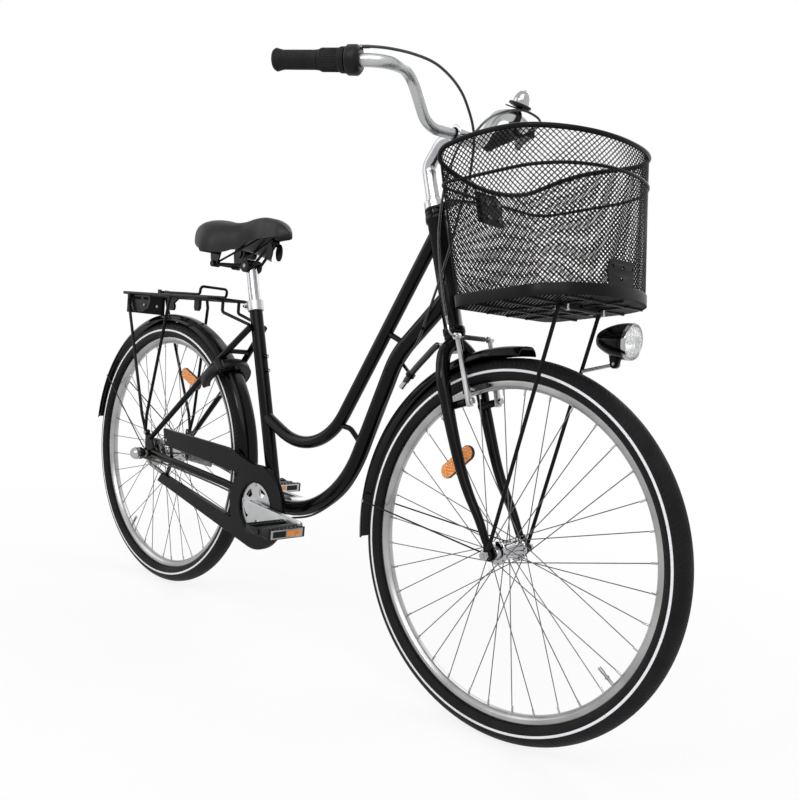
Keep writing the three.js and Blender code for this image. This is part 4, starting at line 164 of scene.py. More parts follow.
def basisFor(axis):
    axis = Vector(axis).normalized()
    other = Vector((0, 0, 1)) if abs(axis.z) < 0.9 else Vector((1, 0, 0))
    u = axis.cross(other).normalized()
    return u, axis.cross(u), axis


def addLathe(shape, profile, centre, axis, segments=48, mat=0, closed=False):
    centre = Vector(centre)
    u, v, w = basisFor(axis)
    rings = []
    for radius, height in profile:
        ring = []
        for k in range(segments):
            angle = 2 * math.pi * k / segments
            spoke = u * math.cos(angle) + v * math.sin(angle)
            ring.append(centre + spoke * max(radius, 0.001) + w * height)
        rings.append(ring)
    count = len(rings) if closed else len(rings) - 1
    for i in range(count):
        addRings(shape, [rings[i], rings[(i + 1) % len(rings)]], mat, caps=False)


def addRod(shape, a, b, radius, sides=16, mat=0):
    a = Vector(a)
    b = Vector(b)
    normal = (0, 0, 1) if abs((b - a).normalized().z) < 0.9 else (0, 1, 0)
    addTube(shape, [a, b], radius, sides, mat, normal)


def addPlate(shape, outline, y0, y1, holes=(), mat=0):
    loops = [[Vector((x, y0, z)) for x, z in outline]]
    loops += [[Vector((x, y0, z)) for x, z in hole] for hole in holes]
    flat = [p for loop in loops for p in loop]
    faces = [list(face) for face in tessellate_polygon(loops)]
    addFaces(shape, flat, faces, mat, False)
    addFaces(shape, [p + Vector((0, y1 - y0, 0)) for p in flat], [f[::-1] for f in faces], mat, False)
    for loop in loops:
        far = [p + Vector((0, y1 - y0, 0)) for p in loop]
        count = len(loop)
        addFaces(shape, loop + far, [[i, (i + 1) % count, count + (i + 1) % count, count + i]
                                     for i in range(count)], mat, True)


def addBox(shape, low, high, mat=0):
    x0, y0, z0 = low
    x1, y1, z1 = high
    addPlate(shape, [(x0, z0), (x1, z0), (x1, z1), (x0, z1)], y0, y1, (), mat)


def circlePoints(x, z, radius, count):
    return [(x + radius * math.cos(2 * math.pi * k / count), z + radius * math.sin(2 * math.pi * k / count))
            for k in range(count)]


def bendPath(corners, radii):
    corners = [Vector(c) for c in corners]
    path = [corners[0]]
    for i in range(1, len(corners) - 1):
        into = (corners[i] - corners[i - 1]).normalized()
        out = (corners[i + 1] - corners[i]).normalized()
        angle = into.angle(out)
        radius = radii[i - 1] if isinstance(radii, (list, tuple)) else radii
        start = corners[i] - into * radius * math.tan(angle / 2)
        inward = (out - into).normalized()
        centre = corners[i] + inward * (radius / math.cos(angle / 2))
        axis = into.cross(out).normalized()
        steps = max(2, math.ceil(angle / math.radians(5)))
        for s in range(steps + 1):
            path.append(centre + Matrix.Rotation(angle * s / steps, 3, axis) @ (start - centre))
    path.append(corners[-1])
    return path


def smoothPath(points, steps):
    points = [Vector(p) for p in points]
    ends = [points[0] * 2 - points[1]] + points + [points[-1] * 2 - points[-2]]
    out = []
    per = max(2, round(steps / (len(points) - 1)))
    for i in range(1, len(ends) - 2):
        p0, p1, p2, p3 = ends[i - 1:i + 3]
        d1 = max((p1 - p0).length ** 0.5, 1e-4)
        d2 = max((p2 - p1).length ** 0.5, 1e-4)
        d3 = max((p3 - p2).length ** 0.5, 1e-4)
        t1 = (p1 - p0) / d1 - (p2 - p0) / (d1 + d2) + (p2 - p1) / d2
        t2 = (p2 - p1) / d2 - (p3 - p1) / (d2 + d3) + (p3 - p2) / d3
        t1 = t1 * d2
        t2 = t2 * d2
        for s in range(per):
            t = s / per
            h1 = 2 * t ** 3 - 3 * t ** 2 + 1
            h2 = t ** 3 - 2 * t ** 2 + t
            h3 = -2 * t ** 3 + 3 * t ** 2
            h4 = t ** 3 - t ** 2
            out.append(p1 * h1 + t1 * h2 + p2 * h3 + t2 * h4)
    out.append(points[-1])
    return out


def build(shape, name, body, materials, nodes=(), sharp=50):
    mesh = bpy.data.meshes.new(name)
    mesh.from_pydata([row(v) for v in shape["verts"]], [], shape["faces"])
    for m in materials:
        mesh.materials.append(m)
    mesh.polygons.foreach_set("material_index", shape["mats"])
    mesh.polygons.foreach_set("use_smooth", shape["smooth"])
    mesh.update()
    obj = bpy.data.objects.new(name, mesh)
    bpy.context.scene.collection.objects.link(obj)
    work = bmesh.new()
    work.from_mesh(mesh)
    bmesh.ops.remove_doubles(work, verts=work.verts, dist=1e-6)
    bmesh.ops.recalc_face_normals(work, faces=work.faces)
    work.to_mesh(mesh)
    work.free()
    mesh.set_sharp_from_angle(angle=math.radians(sharp))
    if isinstance(body, str):
        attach(obj, body)
    else:
        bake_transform(obj, body[0], body[1], start=tuple(row(body[2])), end=tuple(row(body[3])))
    if nodes:
        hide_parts(*nodes)
    return obj


# The skin of the CAD node of that name
def skinOf(node, shape, body, materials, sharp=50):
    return build(shape, node + "_skin", body, materials, [node], sharp)


# A smooth-shaded stand-in for a CAD node
def smoothCopy(node, material, sharp=50, bevel=0):
    source = frame["nodes"][node]
    mesh = source.data.copy()
    mesh.name = node + "_skin"
    obj = bpy.data.objects.new(mesh.name, mesh)
    bpy.context.scene.collection.objects.link(obj)
    mesh.materials.clear()
    for m in material if isinstance(material, (list, tuple)) else [material]:
        mesh.materials.append(m)
    work = bmesh.new()
    work.from_mesh(mesh)
    bmesh.ops.remove_doubles(work, verts=work.verts, dist=1e-6)
    bmesh.ops.dissolve_limit(work, angle_limit=math.radians(1), verts=work.verts, edges=work.edges)
    work.to_mesh(mesh)
    work.free()
    for attribute in [a.name for a in mesh.attributes if a.name == "custom_normal"]:
        mesh.attributes.remove(mesh.attributes[attribute])
    mesh.polygons.foreach_set("use_smooth", [True] * len(mesh.polygons))
    mesh.set_sharp_from_angle(angle=math.radians(sharp))
    mesh.update()
    if bevel:
        bpy.ops.object.select_all(action="DESELECT")
        obj.select_set(True)
        bpy.context.view_layer.objects.active = obj
        edge = obj.modifiers.new("edge", "BEVEL")
        edge.width = bevel / 1000
        edge.segments = 2
        edge.limit_method = "ANGLE"
        edge.angle_limit = math.radians(50)
        edge.harden_normals = False
        bpy.ops.object.modifier_apply(modifier="edge")
        obj.data.set_sharp_from_angle(angle=math.radians(sharp))
    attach(obj, source["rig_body"])
    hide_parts(node)
    return obj


# Materials. Every pattern is in metres of the row frame
def nodeMath(tree, kind, a, b=None):
    n = tree.nodes.new("ShaderNodeMath")
    n.operation = kind
    for i, value in enumerate((a, b)):
        if value is None:
            continue
        if isinstance(value, (int, float)):
            n.inputs[i].default_value = value
        else:
            tree.links.new(value, n.inputs[i])
    return n.outputs[0]


def rangeOf(tree, value, low, high, fromLow=0.3, fromHigh=0.7):
    n = tree.nodes.new("ShaderNodeMapRange")
    n.inputs[1].default_value = fromLow
    n.inputs[2].default_value = fromHigh
    n.inputs[3].default_value = low
    n.inputs[4].default_value = high
    tree.links.new(value, n.inputs[0])
    return n.outputs[0]


def noise(tree, coords, scale, detail=4, stretch=None):
    if stretch:
        m = tree.nodes.new("ShaderNodeMapping")
        m.inputs["Scale"].default_value = stretch
        tree.links.new(coords, m.inputs[0])
        coords = m.outputs[0]
    n = tree.nodes.new("ShaderNodeTexNoise")
    n.inputs["Scale"].default_value = scale
    n.inputs["Detail"].default_value = detail
    n.inputs["Roughness"].default_value = 0.5
    tree.links.new(coords, n.inputs["Vector"])
    return n.outputs[0]


def mixColors(tree, factor, a, b):
    n = tree.nodes.new("ShaderNodeMix")
    n.data_type = "RGBA"
    tree.links.new(factor, n.inputs[0])
    for socket, value in ((n.inputs[6], a), (n.inputs[7], b)):
        if isinstance(value, (tuple, list)):
            socket.default_value = (*value, 1)
        else:
            tree.links.new(value, socket)
    return n.outputs[2]


def makeMaterial(name, low, high, rough, metal=0.0, scale=60, grain=None, bump=0.02, depth=0.0002,
                 coat=0.0, coatRough=0.05, specular=0.5, transmission=0.0, colors=None, height=None,
                 alpha=None):
    mat = bpy.data.materials.new(name)
    mat.use_nodes = True
    tree = mat.node_tree
    shader = tree.nodes["Principled BSDF"]
    coords = tree.nodes.new("ShaderNodeTexCoord").outputs["Object"]
    cloud = noise(tree, coords, scale, 5)
    base = mixColors(tree, rangeOf(tree, cloud, 0, 1), low, high)
    if colors:
        base = colors(tree, coords, base)
    tree.links.new(base, shader.inputs["Base Color"])
    smudge = noise(tree, coords, scale * 0.6, 3)
    tree.links.new(rangeOf(tree, smudge, rough[0], rough[1]), shader.inputs["Roughness"])
    shader.inputs["Metallic"].default_value = metal
    shader.inputs["Coat Weight"].default_value = coat
    shader.inputs["Coat Roughness"].default_value = coatRough
    shader.inputs["Specular IOR Level"].default_value = specular
    shader.inputs["Transmission Weight"].default_value = transmission
    if alpha is not None:
        shader.inputs["Alpha"].default_value = alpha
    fine = height(tree, coords) if height else noise(tree, coords, grain or scale * 12, 3)
    b = tree.nodes.new("ShaderNodeBump")
    b.inputs["Strength"].default_value = bump
    b.inputs["Distance"].default_value = depth
    tree.links.new(fine, b.inputs["Height"])
    tree.links.new(b.outputs[0], shader.inputs["Normal"])
    return mat


def splitCoords(tree, coords, centre=None):
    if centre:
        n = tree.nodes.new("ShaderNodeVectorMath")
        n.operation = "SUBTRACT"
        n.inputs[1].default_value = row(centre)
        tree.links.new(coords, n.inputs[0])
        coords = n.outputs[0]
    s = tree.nodes.new("ShaderNodeSeparateXYZ")
    tree.links.new(coords, s.inputs[0])
    return s.outputs


def band(tree, value, low, high, soft):
    up = rangeOf(tree, value, 0, 1, low - soft, low + soft)
    down = rangeOf(tree, value, 1, 0, high - soft, high + soft)
    return nodeMath(tree, "MULTIPLY", up, down)


stripe = {"from": 0.3315, "to": 0.3361, "edge": 0.0003, "color": (0.78, 0.79, 0.82)}
tread = {"from": 0.3405, "to": 0.3425, "blocks": 210, "slant": 700, "rings": 4200, "ringDepth": 0.08}


def fromAxle(tree, x, z):
    return nodeMath(tree, "SQRT", nodeMath(tree, "ADD", nodeMath(tree, "MULTIPLY", x, x),
                                           nodeMath(tree, "MULTIPLY", z, z)))


# The reflecting stripe on a tyre's wall
def tyreColors(centre):
    def paint(tree, coords, base):
        x, y, z = splitCoords(tree, coords, centre)
        white = band(tree, fromAxle(tree, x, z), stripe["from"], stripe["to"], stripe["edge"])
        return mixColors(tree, white, base, stripe["color"])
    return paint


# Slanted blocks over the tread and fine moulded rings below them
def tyreHeight(centre):
    def carve(tree, coords):
        x, y, z = splitCoords(tree, coords, centre)
        turn = nodeMath(tree, "ARCTAN2", z, x)
        across = nodeMath(tree, "ABSOLUTE", y)
        slant = nodeMath(tree, "ADD", nodeMath(tree, "MULTIPLY", turn, tread["blocks"]),
                         nodeMath(tree, "MULTIPLY", across, tread["slant"]))
        ribs = nodeMath(tree, "SINE", slant)
        grooves = rangeOf(tree, ribs, 0, 1, -0.2, 0.4)
        reach = fromAxle(tree, x, z)
        shoulder = rangeOf(tree, reach, 0, 1, tread["from"], tread["to"])
        lines = nodeMath(tree, "SINE", nodeMath(tree, "MULTIPLY", reach, tread["rings"]))
        return nodeMath(tree, "ADD", nodeMath(tree, "MULTIPLY", grooves, shoulder),
                        nodeMath(tree, "MULTIPLY", lines, tread["ringDepth"]))
    return carve


def brushedHeight(scale, axis):
    def carve(tree, coords):
        stretch = [1, 1, 1]
        stretch[axis] = 30
        return noise(tree, coords, scale, 3, stretch)
    return carve


def prismHeight(step):
    def carve(tree, coords):
        parts = splitCoords(tree, coords)
        waves = [nodeMath(tree, "PINGPONG", nodeMath(tree, "MULTIPLY", p, 1000 / step), 1) for p in parts]
        return nodeMath(tree, "MULTIPLY", nodeMath(tree, "ADD", waves[0], waves[1]),
                        nodeMath(tree, "ADD", waves[2], 0.4))
    return carve


def cellHeight(scale):
    def carve(tree, coords):
        v = tree.nodes.new("ShaderNodeTexVoronoi")
        v.inputs["Scale"].default_value = scale
        tree.links.new(coords, v.inputs["Vector"])
        return nodeMath(tree, "MULTIPLY", v.outputs["Distance"], -1)
    return carve


rearCentre = (0, 0, axleHeight)
frontCentre = (wheelBase, 0, axleHeight)

# Blacks are deep and give little back, because the studio round them is white
gloss = makeMaterial("gloss_black_paint", (0.0012, 0.0012, 0.0015), (0.003, 0.003, 0.0035), (0.14, 0.2),
                     scale=9, grain=700, bump=0.04, coat=0.1, coatRough=0.03, specular=0.08)
satinBlack = makeMaterial("satin_black_paint", (0.0015, 0.0015, 0.0018), (0.0035, 0.0035, 0.004), (0.3, 0.4),
                          scale=20, grain=900, bump=0.08, coat=0.05, coatRough=0.2, specular=0.1)
plastic = makeMaterial("moulded_black_plastic", (0.003, 0.003, 0.0033), (0.007, 0.007, 0.0075), (0.36, 0.5),
                       scale=40, bump=0.12, depth=0.0001, specular=0.2, height=cellHeight(2600))
rubber = makeMaterial("grip_rubber", (0.004, 0.004, 0.004), (0.008, 0.008, 0.008), (0.55, 0.7),
                      scale=50, grain=1500, bump=0.2, specular=0.2)
padRubber = makeMaterial("brake_rubber", (0.012, 0.012, 0.012), (0.02, 0.02, 0.02), (0.6, 0.7),
                         scale=80, grain=1200, bump=0.1)
leather = makeMaterial("saddle_cover", (0.004, 0.004, 0.0045), (0.009, 0.009, 0.0095), (0.42, 0.55),
                       scale=30, bump=0.25, coat=0.05, coatRough=0.3, specular=0.26, height=cellHeight(1100))
sleeve = makeMaterial("cable_sleeve", (0.008, 0.008, 0.009), (0.014, 0.014, 0.015), (0.22, 0.32),
                      scale=50, grain=900, bump=0.04)

# Bare and plated metals
chrome = makeMaterial("chrome_plate", (0.34, 0.345, 0.36), (0.46, 0.46, 0.47), (0.06, 0.14),
                      metal=1, scale=30, grain=500)
satinAlloy = makeMaterial("satin_aluminium", (0.4, 0.405, 0.41), (0.52, 0.525, 0.53), (0.26, 0.36),
                          metal=1, scale=25, bump=0.05, height=brushedHeight(90, 0))
rimAlloy = makeMaterial("rim_aluminium", (0.3, 0.3, 0.3), (0.42, 0.42, 0.415), (0.24, 0.34),
                        metal=1, scale=18, grain=600, bump=0.05)
steel = makeMaterial("oiled_steel", (0.2, 0.19, 0.18), (0.42, 0.41, 0.39), (0.25, 0.5),
                     metal=1, scale=70, grain=600, bump=0.1)
spokeSteel = makeMaterial("spoke_steel", (0.09, 0.09, 0.09), (0.18, 0.18, 0.18), (0.3, 0.4),
                          metal=1, scale=60, grain=500)
mirror = makeMaterial("lamp_reflector", (0.8, 0.8, 0.8), (0.92, 0.92, 0.92), (0.05, 0.1),
                      metal=1, scale=80, bump=0.3, depth=0.0008, height=prismHeight(5))

# Lenses, moulded in small prisms
amber = makeMaterial("amber_prisms", (0.75, 0.2, 0.01), (0.9, 0.34, 0.03), (0.08, 0.16),
                     scale=120, bump=0.9, depth=0.0012, coat=0.8, coatRough=0.04, height=prismHeight(3))
redLens = makeMaterial("red_prisms", (0.25, 0.004, 0.004), (0.4, 0.012, 0.01), (0.08, 0.16),
                       scale=120, bump=0.9, depth=0.0012, coat=0.8, coatRough=0.04, height=prismHeight(3))
glass = makeMaterial("lamp_glass", (0.9, 0.92, 0.93), (0.97, 0.98, 0.98), (0.03, 0.08),
                     scale=60, bump=0.5, depth=0.001, transmission=0.9, height=prismHeight(4), alpha=0.45)


def tyreRubber(name, centre):
    return makeMaterial(name, (0.003, 0.003, 0.0033), (0.007, 0.007, 0.0075), (0.5, 0.65),
                        scale=30, bump=0.9, depth=0.0018, specular=0.16,
                        colors=tyreColors(centre), height=tyreHeight(centre))


rearTyreRubber = tyreRubber("rear_tyre_rubber", rearCentre)
frontTyreRubber = tyreRubber("front_tyre_rubber", frontCentre)
floorMat = makeMaterial("studio_floor", (0.93, 0.93, 0.93), (0.95, 0.95, 0.95), (0.7, 0.8),
                        scale=2, grain=60)


# White only where a camera, a mirror or a lens looks at it, so that it lights nothing
def seenRays(tree):
    rays = tree.nodes.new("ShaderNodeLightPath").outputs
    seen = nodeMath(tree, "MAXIMUM", rays["Is Camera Ray"], rays["Is Glossy Ray"])
    return nodeMath(tree, "MAXIMUM", seen, rays["Is Transmission Ray"])


def fadeFloor(mat, near, far, nearShare):
    tree = mat.node_tree
    coords = tree.nodes.new("ShaderNodeTexCoord").outputs["Object"]
    length = tree.nodes.new("ShaderNodeVectorMath")
    length.operation = "LENGTH"
    tree.links.new(coords, length.inputs[0])
    share = rangeOf(tree, length.outputs["Value"], nearShare, 1, near, far)
    share = nodeMath(tree, "MULTIPLY", share, seenRays(tree))
    glow = tree.nodes.new("ShaderNodeEmission")
    glow.inputs["Strength"].default_value = 1
    blend = tree.nodes.new("ShaderNodeMixShader")
    tree.links.new(share, blend.inputs[0])
    tree.links.new(tree.nodes["Principled BSDF"].outputs[0], blend.inputs[1])
    tree.links.new(glow.outputs[0], blend.inputs[2])
    tree.links.new(blend.outputs[0], tree.nodes["Material Output"].inputs["Surface"])


fadeFloor(floorMat, 1.1, 2.2, 0.82)
print("materials ready")

# Wheels. Angles are in degrees from the forward direction, and a reflector is (radius, angle)
wheels = {
    "rear": {"centre": Vector(rearCentre), "turn": 9.4, "valve": -125.6, "hub": 29, "flange": 34,
             "offset": 30, "half": 36, "rubber": rearTyreRubber, "reflector": (229, 68),
             "body": "rear_wheel"},
    "front": {"centre": Vector(frontCentre), "turn": 0, "valve": -35, "hub": 16, "flange": 22, "offset": 31,
              "half": 42, "rubber": frontTyreRubber, "reflector": (201, 134), "body": "front_wheel"},
}
tyreSize = {"middle": 333.5, "outer": 23.5, "inner": 20.3, "bead": 317.3, "segments": 160}
# Radius and distance from the middle, from the spoke bed out
rimHalf = [(300.4, 4.6), (302, 6.8), (305.4, 11.2), (306.6, 12), (316.4, 12), (317, 11.6), (317, 10.4),
           (316.4, 10), (310, 10), (309, 8.8)]
spokes = {"count": 36, "radius": 1, "rimOffset": 2.6, "crossing": 0.9, "span": 60, "head": 1.7}
nipple = {"from": 289, "to": 301, "radius": 2}
valveSteps = [(266, 304, 2.9, 12), (264, 276, 3.5, 12), (283, 287, 4, 6)]  # from, to, radius, sides
reflector = {"reach": 31, "radius": 13.6, "lens": (4.2, 0), "case": (2.8, 1.2)}  # half thickness and rim


def tyreProfile():
    middle = tyreSize["middle"]
    start = math.asin((tyreSize["bead"] - middle) / tyreSize["outer"])
    outer = [(middle + tyreSize["outer"] * math.sin(a), tyreSize["outer"] * math.cos(a)) for a in
             [start + (math.pi - 2 * start) * i / 40 for i in range(41)]]
    bead = [(tyreSize["bead"], -9.7), (309.4, -9.7), (320.5, -6.5)]
    inner = [(middle + tyreSize["inner"] * math.sin(a), tyreSize["inner"] * math.cos(a)) for a in
             [-math.pi / 6 + (math.pi * 4 / 3) * i / 12 for i in range(13)]][::-1]
    return outer + bead + inner + [(320.5, 6.5), (309.4, 9.7), (tyreSize["bead"], 9.7)]


def rimProfile():
    near = [(radius, -half) for radius, half in rimHalf]
    return near[:1] + [(300, -3), (300, 3)] + rimHalf + near[:0:-1]


def hubProfile(hub, flange, offset, half):
    low = [(5.6, -half), (hub * 0.55, -half), (hub * 0.62, -half + 1), (hub * 0.8, -offset - 3),
           (flange - 1, -offset - 2.4), (flange, -offset - 1.6), (flange, -offset + 1.6),
           (flange - 1, -offset + 2.4), (hub + 1.5, -offset + 3.4), (hub * 0.96, -offset + 8)]
    return low + [(hub * 0.93, 0)] + [(radius, -height) for radius, height in low[::-1]]


def wheelWay(degrees):
    angle = math.radians(degrees)
    return Vector((math.cos(angle), 0, math.sin(angle)))


for name, w in wheels.items():
    centre = w["centre"]
    tyre = newShape()
    addLathe(tyre, tyreProfile(), centre, yAxis, tyreSize["segments"], closed=True)
    skinOf(name + "_tyre", tyre, w["body"], [w["rubber"]], 60)
    rim = newShape()
    addLathe(rim, rimProfile(), centre, yAxis, tyreSize["segments"], closed=True)
    ray = wheelWay(w["valve"])
    for low, high, radius, sides in valveSteps:
        addRod(rim, centre + ray * low, centre + ray * high, radius, sides, 2)
    for i in range(spokes["count"]):
        out = wheelWay(i * 10 + w["turn"])
        y = (right if i % 2 else left) * spokes["rimOffset"]
        addRod(rim, centre + out * nipple["from"] + Vector((0, y * 1.3, 0)),
               centre + out * nipple["to"] + Vector((0, y, 0)), nipple["radius"], 10, 1)
    skinOf(name + "_rim", rim, w["body"], [rimAlloy, chrome, steel], 40)
    hub = newShape()
    addLathe(hub, hubProfile(w["hub"], w["flange"], w["offset"], w["half"]), centre, yAxis, 64)
    hole = w["flange"] * math.cos(math.pi / 12) - 2
    stop = 300 * math.cos(math.pi / 28) - 0.6
    for i in range(spokes["count"]):
        side = right if i % 2 else left
        lean = 1 if (i // 2) % 2 else -1
        rimTurn = i * 10 + w["turn"]
        splay = Vector((0, side * lean * spokes["crossing"], 0))
        root = centre + wheelWay(rimTurn + lean * spokes["span"]) * hole
        root = root + Vector((0, side * w["offset"], 0)) + splay
        end = centre + wheelWay(rimTurn) * stop + Vector((0, side * spokes["rimOffset"], 0)) + splay
        addRod(hub, root, end, spokes["radius"], 8, 1)
        addRod(hub, root - Vector((0, 2.6, 0)), root + Vector((0, 2.6, 0)), spokes["head"], 8, 1)
    skinOf(name + "_hub", hub, w["body"], [chrome, spokeSteel], 40)
    reach, angle = w["reflector"]
    out = wheelWay(angle)
    along = wheelWay(angle + 90)
    middle = centre + out * reach
    glow = newShape()
    for mat, (half, grow) in enumerate((reflector["lens"], reflector["case"])):
        ring = []
        radius = reflector["radius"] + grow
        for k in range(48):
            a = 2 * math.pi * k / 48
            x = reflector["reach"] * (1 if math.cos(a) > 0 else -1) + radius * math.cos(a)
            ring.append(middle + along * x + out * radius * math.sin(a))
        addRings(glow, [[p + Vector((0, y, 0)) for p in ring] for y in (-half, half)], mat)
    skinOf(name + "_reflector", glow, w["body"], [amber, plastic], 40)
print("wheels ready")

# Fenders: a thin rolled section with its wire stays
fenders = {
    "front": {"centre": Vector(frontCentre), "from": 91, "to": 188.5, "stay": 176, "foot": 56.8,
              "body": "steering"},
    "rear": {"centre": Vector(rearCentre), "from": -8, "to": 172, "stay": 150, "foot": 66.8,
             "body": "frame"},
}
fenderSize = {"radius": 378, "wall": 1.8, "half": 28, "drop": 16, "curl": 3.66, "step": 1.5,
              "tab": (14.1, 2.8), "tabBehind": 16.6}
fenderStay = {"radius": 1.6, "reach": 362, "apart": 27.5,
              "eye": [(5.6, -1.5), (9, -1.5), (9, 1.5), (5.6, 1.5)]}
for name, f in fenders.items():
    centre = f["centre"]
    skin = newShape()
    rings = []
    steps = round((f["to"] - f["from"]) / fenderSize["step"])
    for i in range(steps + 1):
        out = wheelWay(f["from"] + (f["to"] - f["from"]) * i / steps)
        outer = []
        inner = []
        for k in range(25):
            s = -1 + k / 12
            radius = fenderSize["radius"] - fenderSize["drop"] * abs(s) ** fenderSize["curl"]
            outer.append(centre + out * radius + Vector((0, fenderSize["half"] * s, 0)))
            inward = (fenderSize["half"] - fenderSize["wall"] * abs(s)) * s
            inner.append(centre + out * (radius - fenderSize["wall"]) + Vector((0, inward, 0)))
        rings.append(outer + inner[::-1])
    addRings(skin, rings)
    out = wheelWay(f["stay"])
    for side in (left, right):
        foot = centre + Vector((0, side * f["foot"], 0))
        path = [foot + out * 7, foot + out * 36,
                centre + out * fenderStay["reach"] + Vector((0, side * fenderStay["apart"], 0))]
        addTube(skin, path, fenderStay["radius"], 10, 1)
        addLathe(skin, fenderStay["eye"], foot, yAxis, 24, 1, closed=True)
        addRod(skin, path[2] + Vector((0, -side * 3, 0)), path[2] + Vector((0, side * 2.6, 0)), 3.2, 12, 2)
    if name == "front":
        behind = steerForward * fenderSize["tabBehind"]
        low = steerAt(668) - behind + steerAxis * 58
        addTube(skin, [low, steerAt(725) - behind], fenderSize["tab"], 4)
    skinOf(name + "_fender", skin, f["body"], [gloss, satinBlack, chrome], 40)
print("fenders ready")


# Frame tubes. A single height is that of a point on the steering line or on the seat line
headTube = {"low": 757, "high": 958, "race": 13,
            "cup": [(15.6, -13), (21, -13), (22, -12), (22, -1), (20.5, 0.6), (19, 1.6)]}
upperTube = {"seat": 512, "head": 942, "fall": 24, "rise": 60.5, "bend": 163, "radius": 14.3}
lowerTube = {"run": 211, "lift": 5, "knee": 693, "rise": 45.5, "head": 816, "bends": [262, 165],
             "radius": 17.5}
struts = {"radius": 6, "lowFrom": 527, "lowTo": 491, "arch": 15, "bend": 30, "highFrom": 738, "highTo": 716}
cableStops = {"spots": [(862, 712), (808, 590), (776, 497), (700, 366)], "reach": 19, "radius": 2}
damperPoints = [(967, 722), (955, 724), (940, 722), (908, 693), (880, 664), (861, 640), (852, 628)]
damperClip = {"ring": [(7.6, -3.5), (9.9, -3.5), (9.9, 3.5), (7.6, 3.5)], "from": 9, "to": 34,
              "tab": (2, 4.6)}
seatTube = {"top": 784, "radius": 15.9,
            "shell": [(10, -35), (19.6, -35), (21, -34), (21, 34), (19.6, 35), (10, 35)],
            "cap": [(9, -35.4), (17, -35.4), (17, -35)],
            "ears": (655, 622), "earReach": 27, "earRadius": 4.5}
chainStay = {"points": [(22, 62.5, 359), (120, 62.5, 353), (325, 38, 332), (crankX, 26, crankZ)],
             "bends": [160, 300], "radius": (7, 10)}
dropout = {"from": 60, "to": 65, "reach": 18, "axle": 5.6, "eye": (-12, 412), "eyeReach": 8, "eyeHole": 3.6}
seatStay = {"foot": (4, 62.5, 398), "top": 722, "middleY": 40, "topY": 19.9, "bend": 400, "radius": 8,
            "footRadius": 6.5, "bridge": 0.8, "bridgeReach": 31.8, "bridgeRadius": 6}
headLow = steerAt(headTube["low"])
headTop = steerAt(headTube["high"])
headLength = (headTop - headLow).length


def crossRod(shape, x, z, y0, y1, radius, sides=24, mat=0):
    addTube(shape, [(x, y0, z), (x, y1, z)], radius, sides, mat, zAxis)


def arcPoints(x, z, radius, start, end, steps):
    turns = [math.radians(start + (end - start) * i / steps) for i in range(steps + 1)]
    return [(x + radius * math.cos(a), z + radius * math.sin(a)) for a in turns]


# A straight slot, as wide as twice its radius
def slotPoints(x, z, half, radius):
    return arcPoints(x + half, z, radius, -90, 90, 8) + arcPoints(x - half, z, radius, 90, 270, 8)


def upperTubePath():
    seat = seatAt(upperTube["seat"])
    head = steerAt(upperTube["head"])
    drop = math.tan(math.radians(upperTube["fall"]))
    rise = math.tan(math.radians(upperTube["rise"]))
    x = (seat.z + drop * seat.x - head.z + rise * head.x) / (drop + rise)
    return bendPath([seat, Vector((x, 0, seat.z - drop * (x - seat.x))), head], upperTube["bend"])


def lowerTubePath():
    run = lowerTube["run"]
    knee = lowerTube["knee"]
    low = Vector((crankX + run, 0, crankZ + run * math.tan(math.radians(lowerTube["lift"]))))
    head = steerAt(lowerTube["head"])
    high = Vector((head.x - (head.z - knee) / math.tan(math.radians(lowerTube["rise"])), 0, knee))
    return bendPath([(crankX, 0, crankZ), low, high, head], lowerTube["bends"])


def pathAt(path, height):
    for a, b in zip(path, path[1:]):
        if a.z <= height <= b.z:
            return a.lerp(b, (height - a.z) / (b.z - a.z))
    return path[-1]


upperPath = upperTubePath()
lowerPath = lowerTubePath()
damperPath = smoothPath([(x, 0, z) for x, z in damperPoints], 40)
head = newShape()
headProfile = headTube["cup"] + [(radius, headLength - height) for radius, height in headTube["cup"][::-1]]
addLathe(head, headProfile, headLow, steerAxis, 64)
skinOf("head_tube", head, "frame", [gloss], 60)
upper = newShape()
addTube(upper, upperPath, upperTube["radius"], 40)
skinOf("upper_tube", upper, "frame", [gloss])
lower = newShape()
addTube(lower, lowerPath, lowerTube["radius"], 44)
lowFrom = pathAt(upperPath[len(upperPath) // 2:], struts["lowFrom"])
lowTo = pathAt(lowerPath, struts["lowTo"])
arch = lowFrom.lerp(lowTo, 0.5) + Vector((0, 0, struts["arch"]))
addTube(lower, bendPath([lowFrom, arch, lowTo], struts["bend"]), struts["radius"], 20)
addRod(lower, pathAt(upperPath, struts["highFrom"]), pathAt(lowerPath, struts["highTo"]),
       struts["radius"], 20)
mid = len(damperPath) * 7 // 10
along = (damperPath[mid + 1] - damperPath[mid - 1]).normalized()
addLathe(lower, damperClip["ring"], damperPath[mid], along, 32, closed=True)
out = Vector((along.z, 0, -along.x))
addTube(lower, [damperPath[mid] + out * damperClip[k] for k in ("from", "to")], damperClip["tab"], 4)
for x, z in cableStops["spots"]:
    near = min(lowerPath, key=lambda p: (p - Vector((x, 0, z))).length)
    crossRod(lower, near.x, near.z, -cableStops["reach"], cableStops["reach"], cableStops["radius"], 12)
skinOf("lower_tube", lower, "frame", [gloss])
seatPipe = newShape()
addTube(seatPipe, [seatAt(crankZ), seatAt(seatTube["top"])], seatTube["radius"], 44)
addLathe(seatPipe, seatTube["shell"], (crankX, 0, crankZ), yAxis, 48)
addLathe(seatPipe, seatTube["cap"], (crankX, 0, crankZ), yAxis, 48, 1)
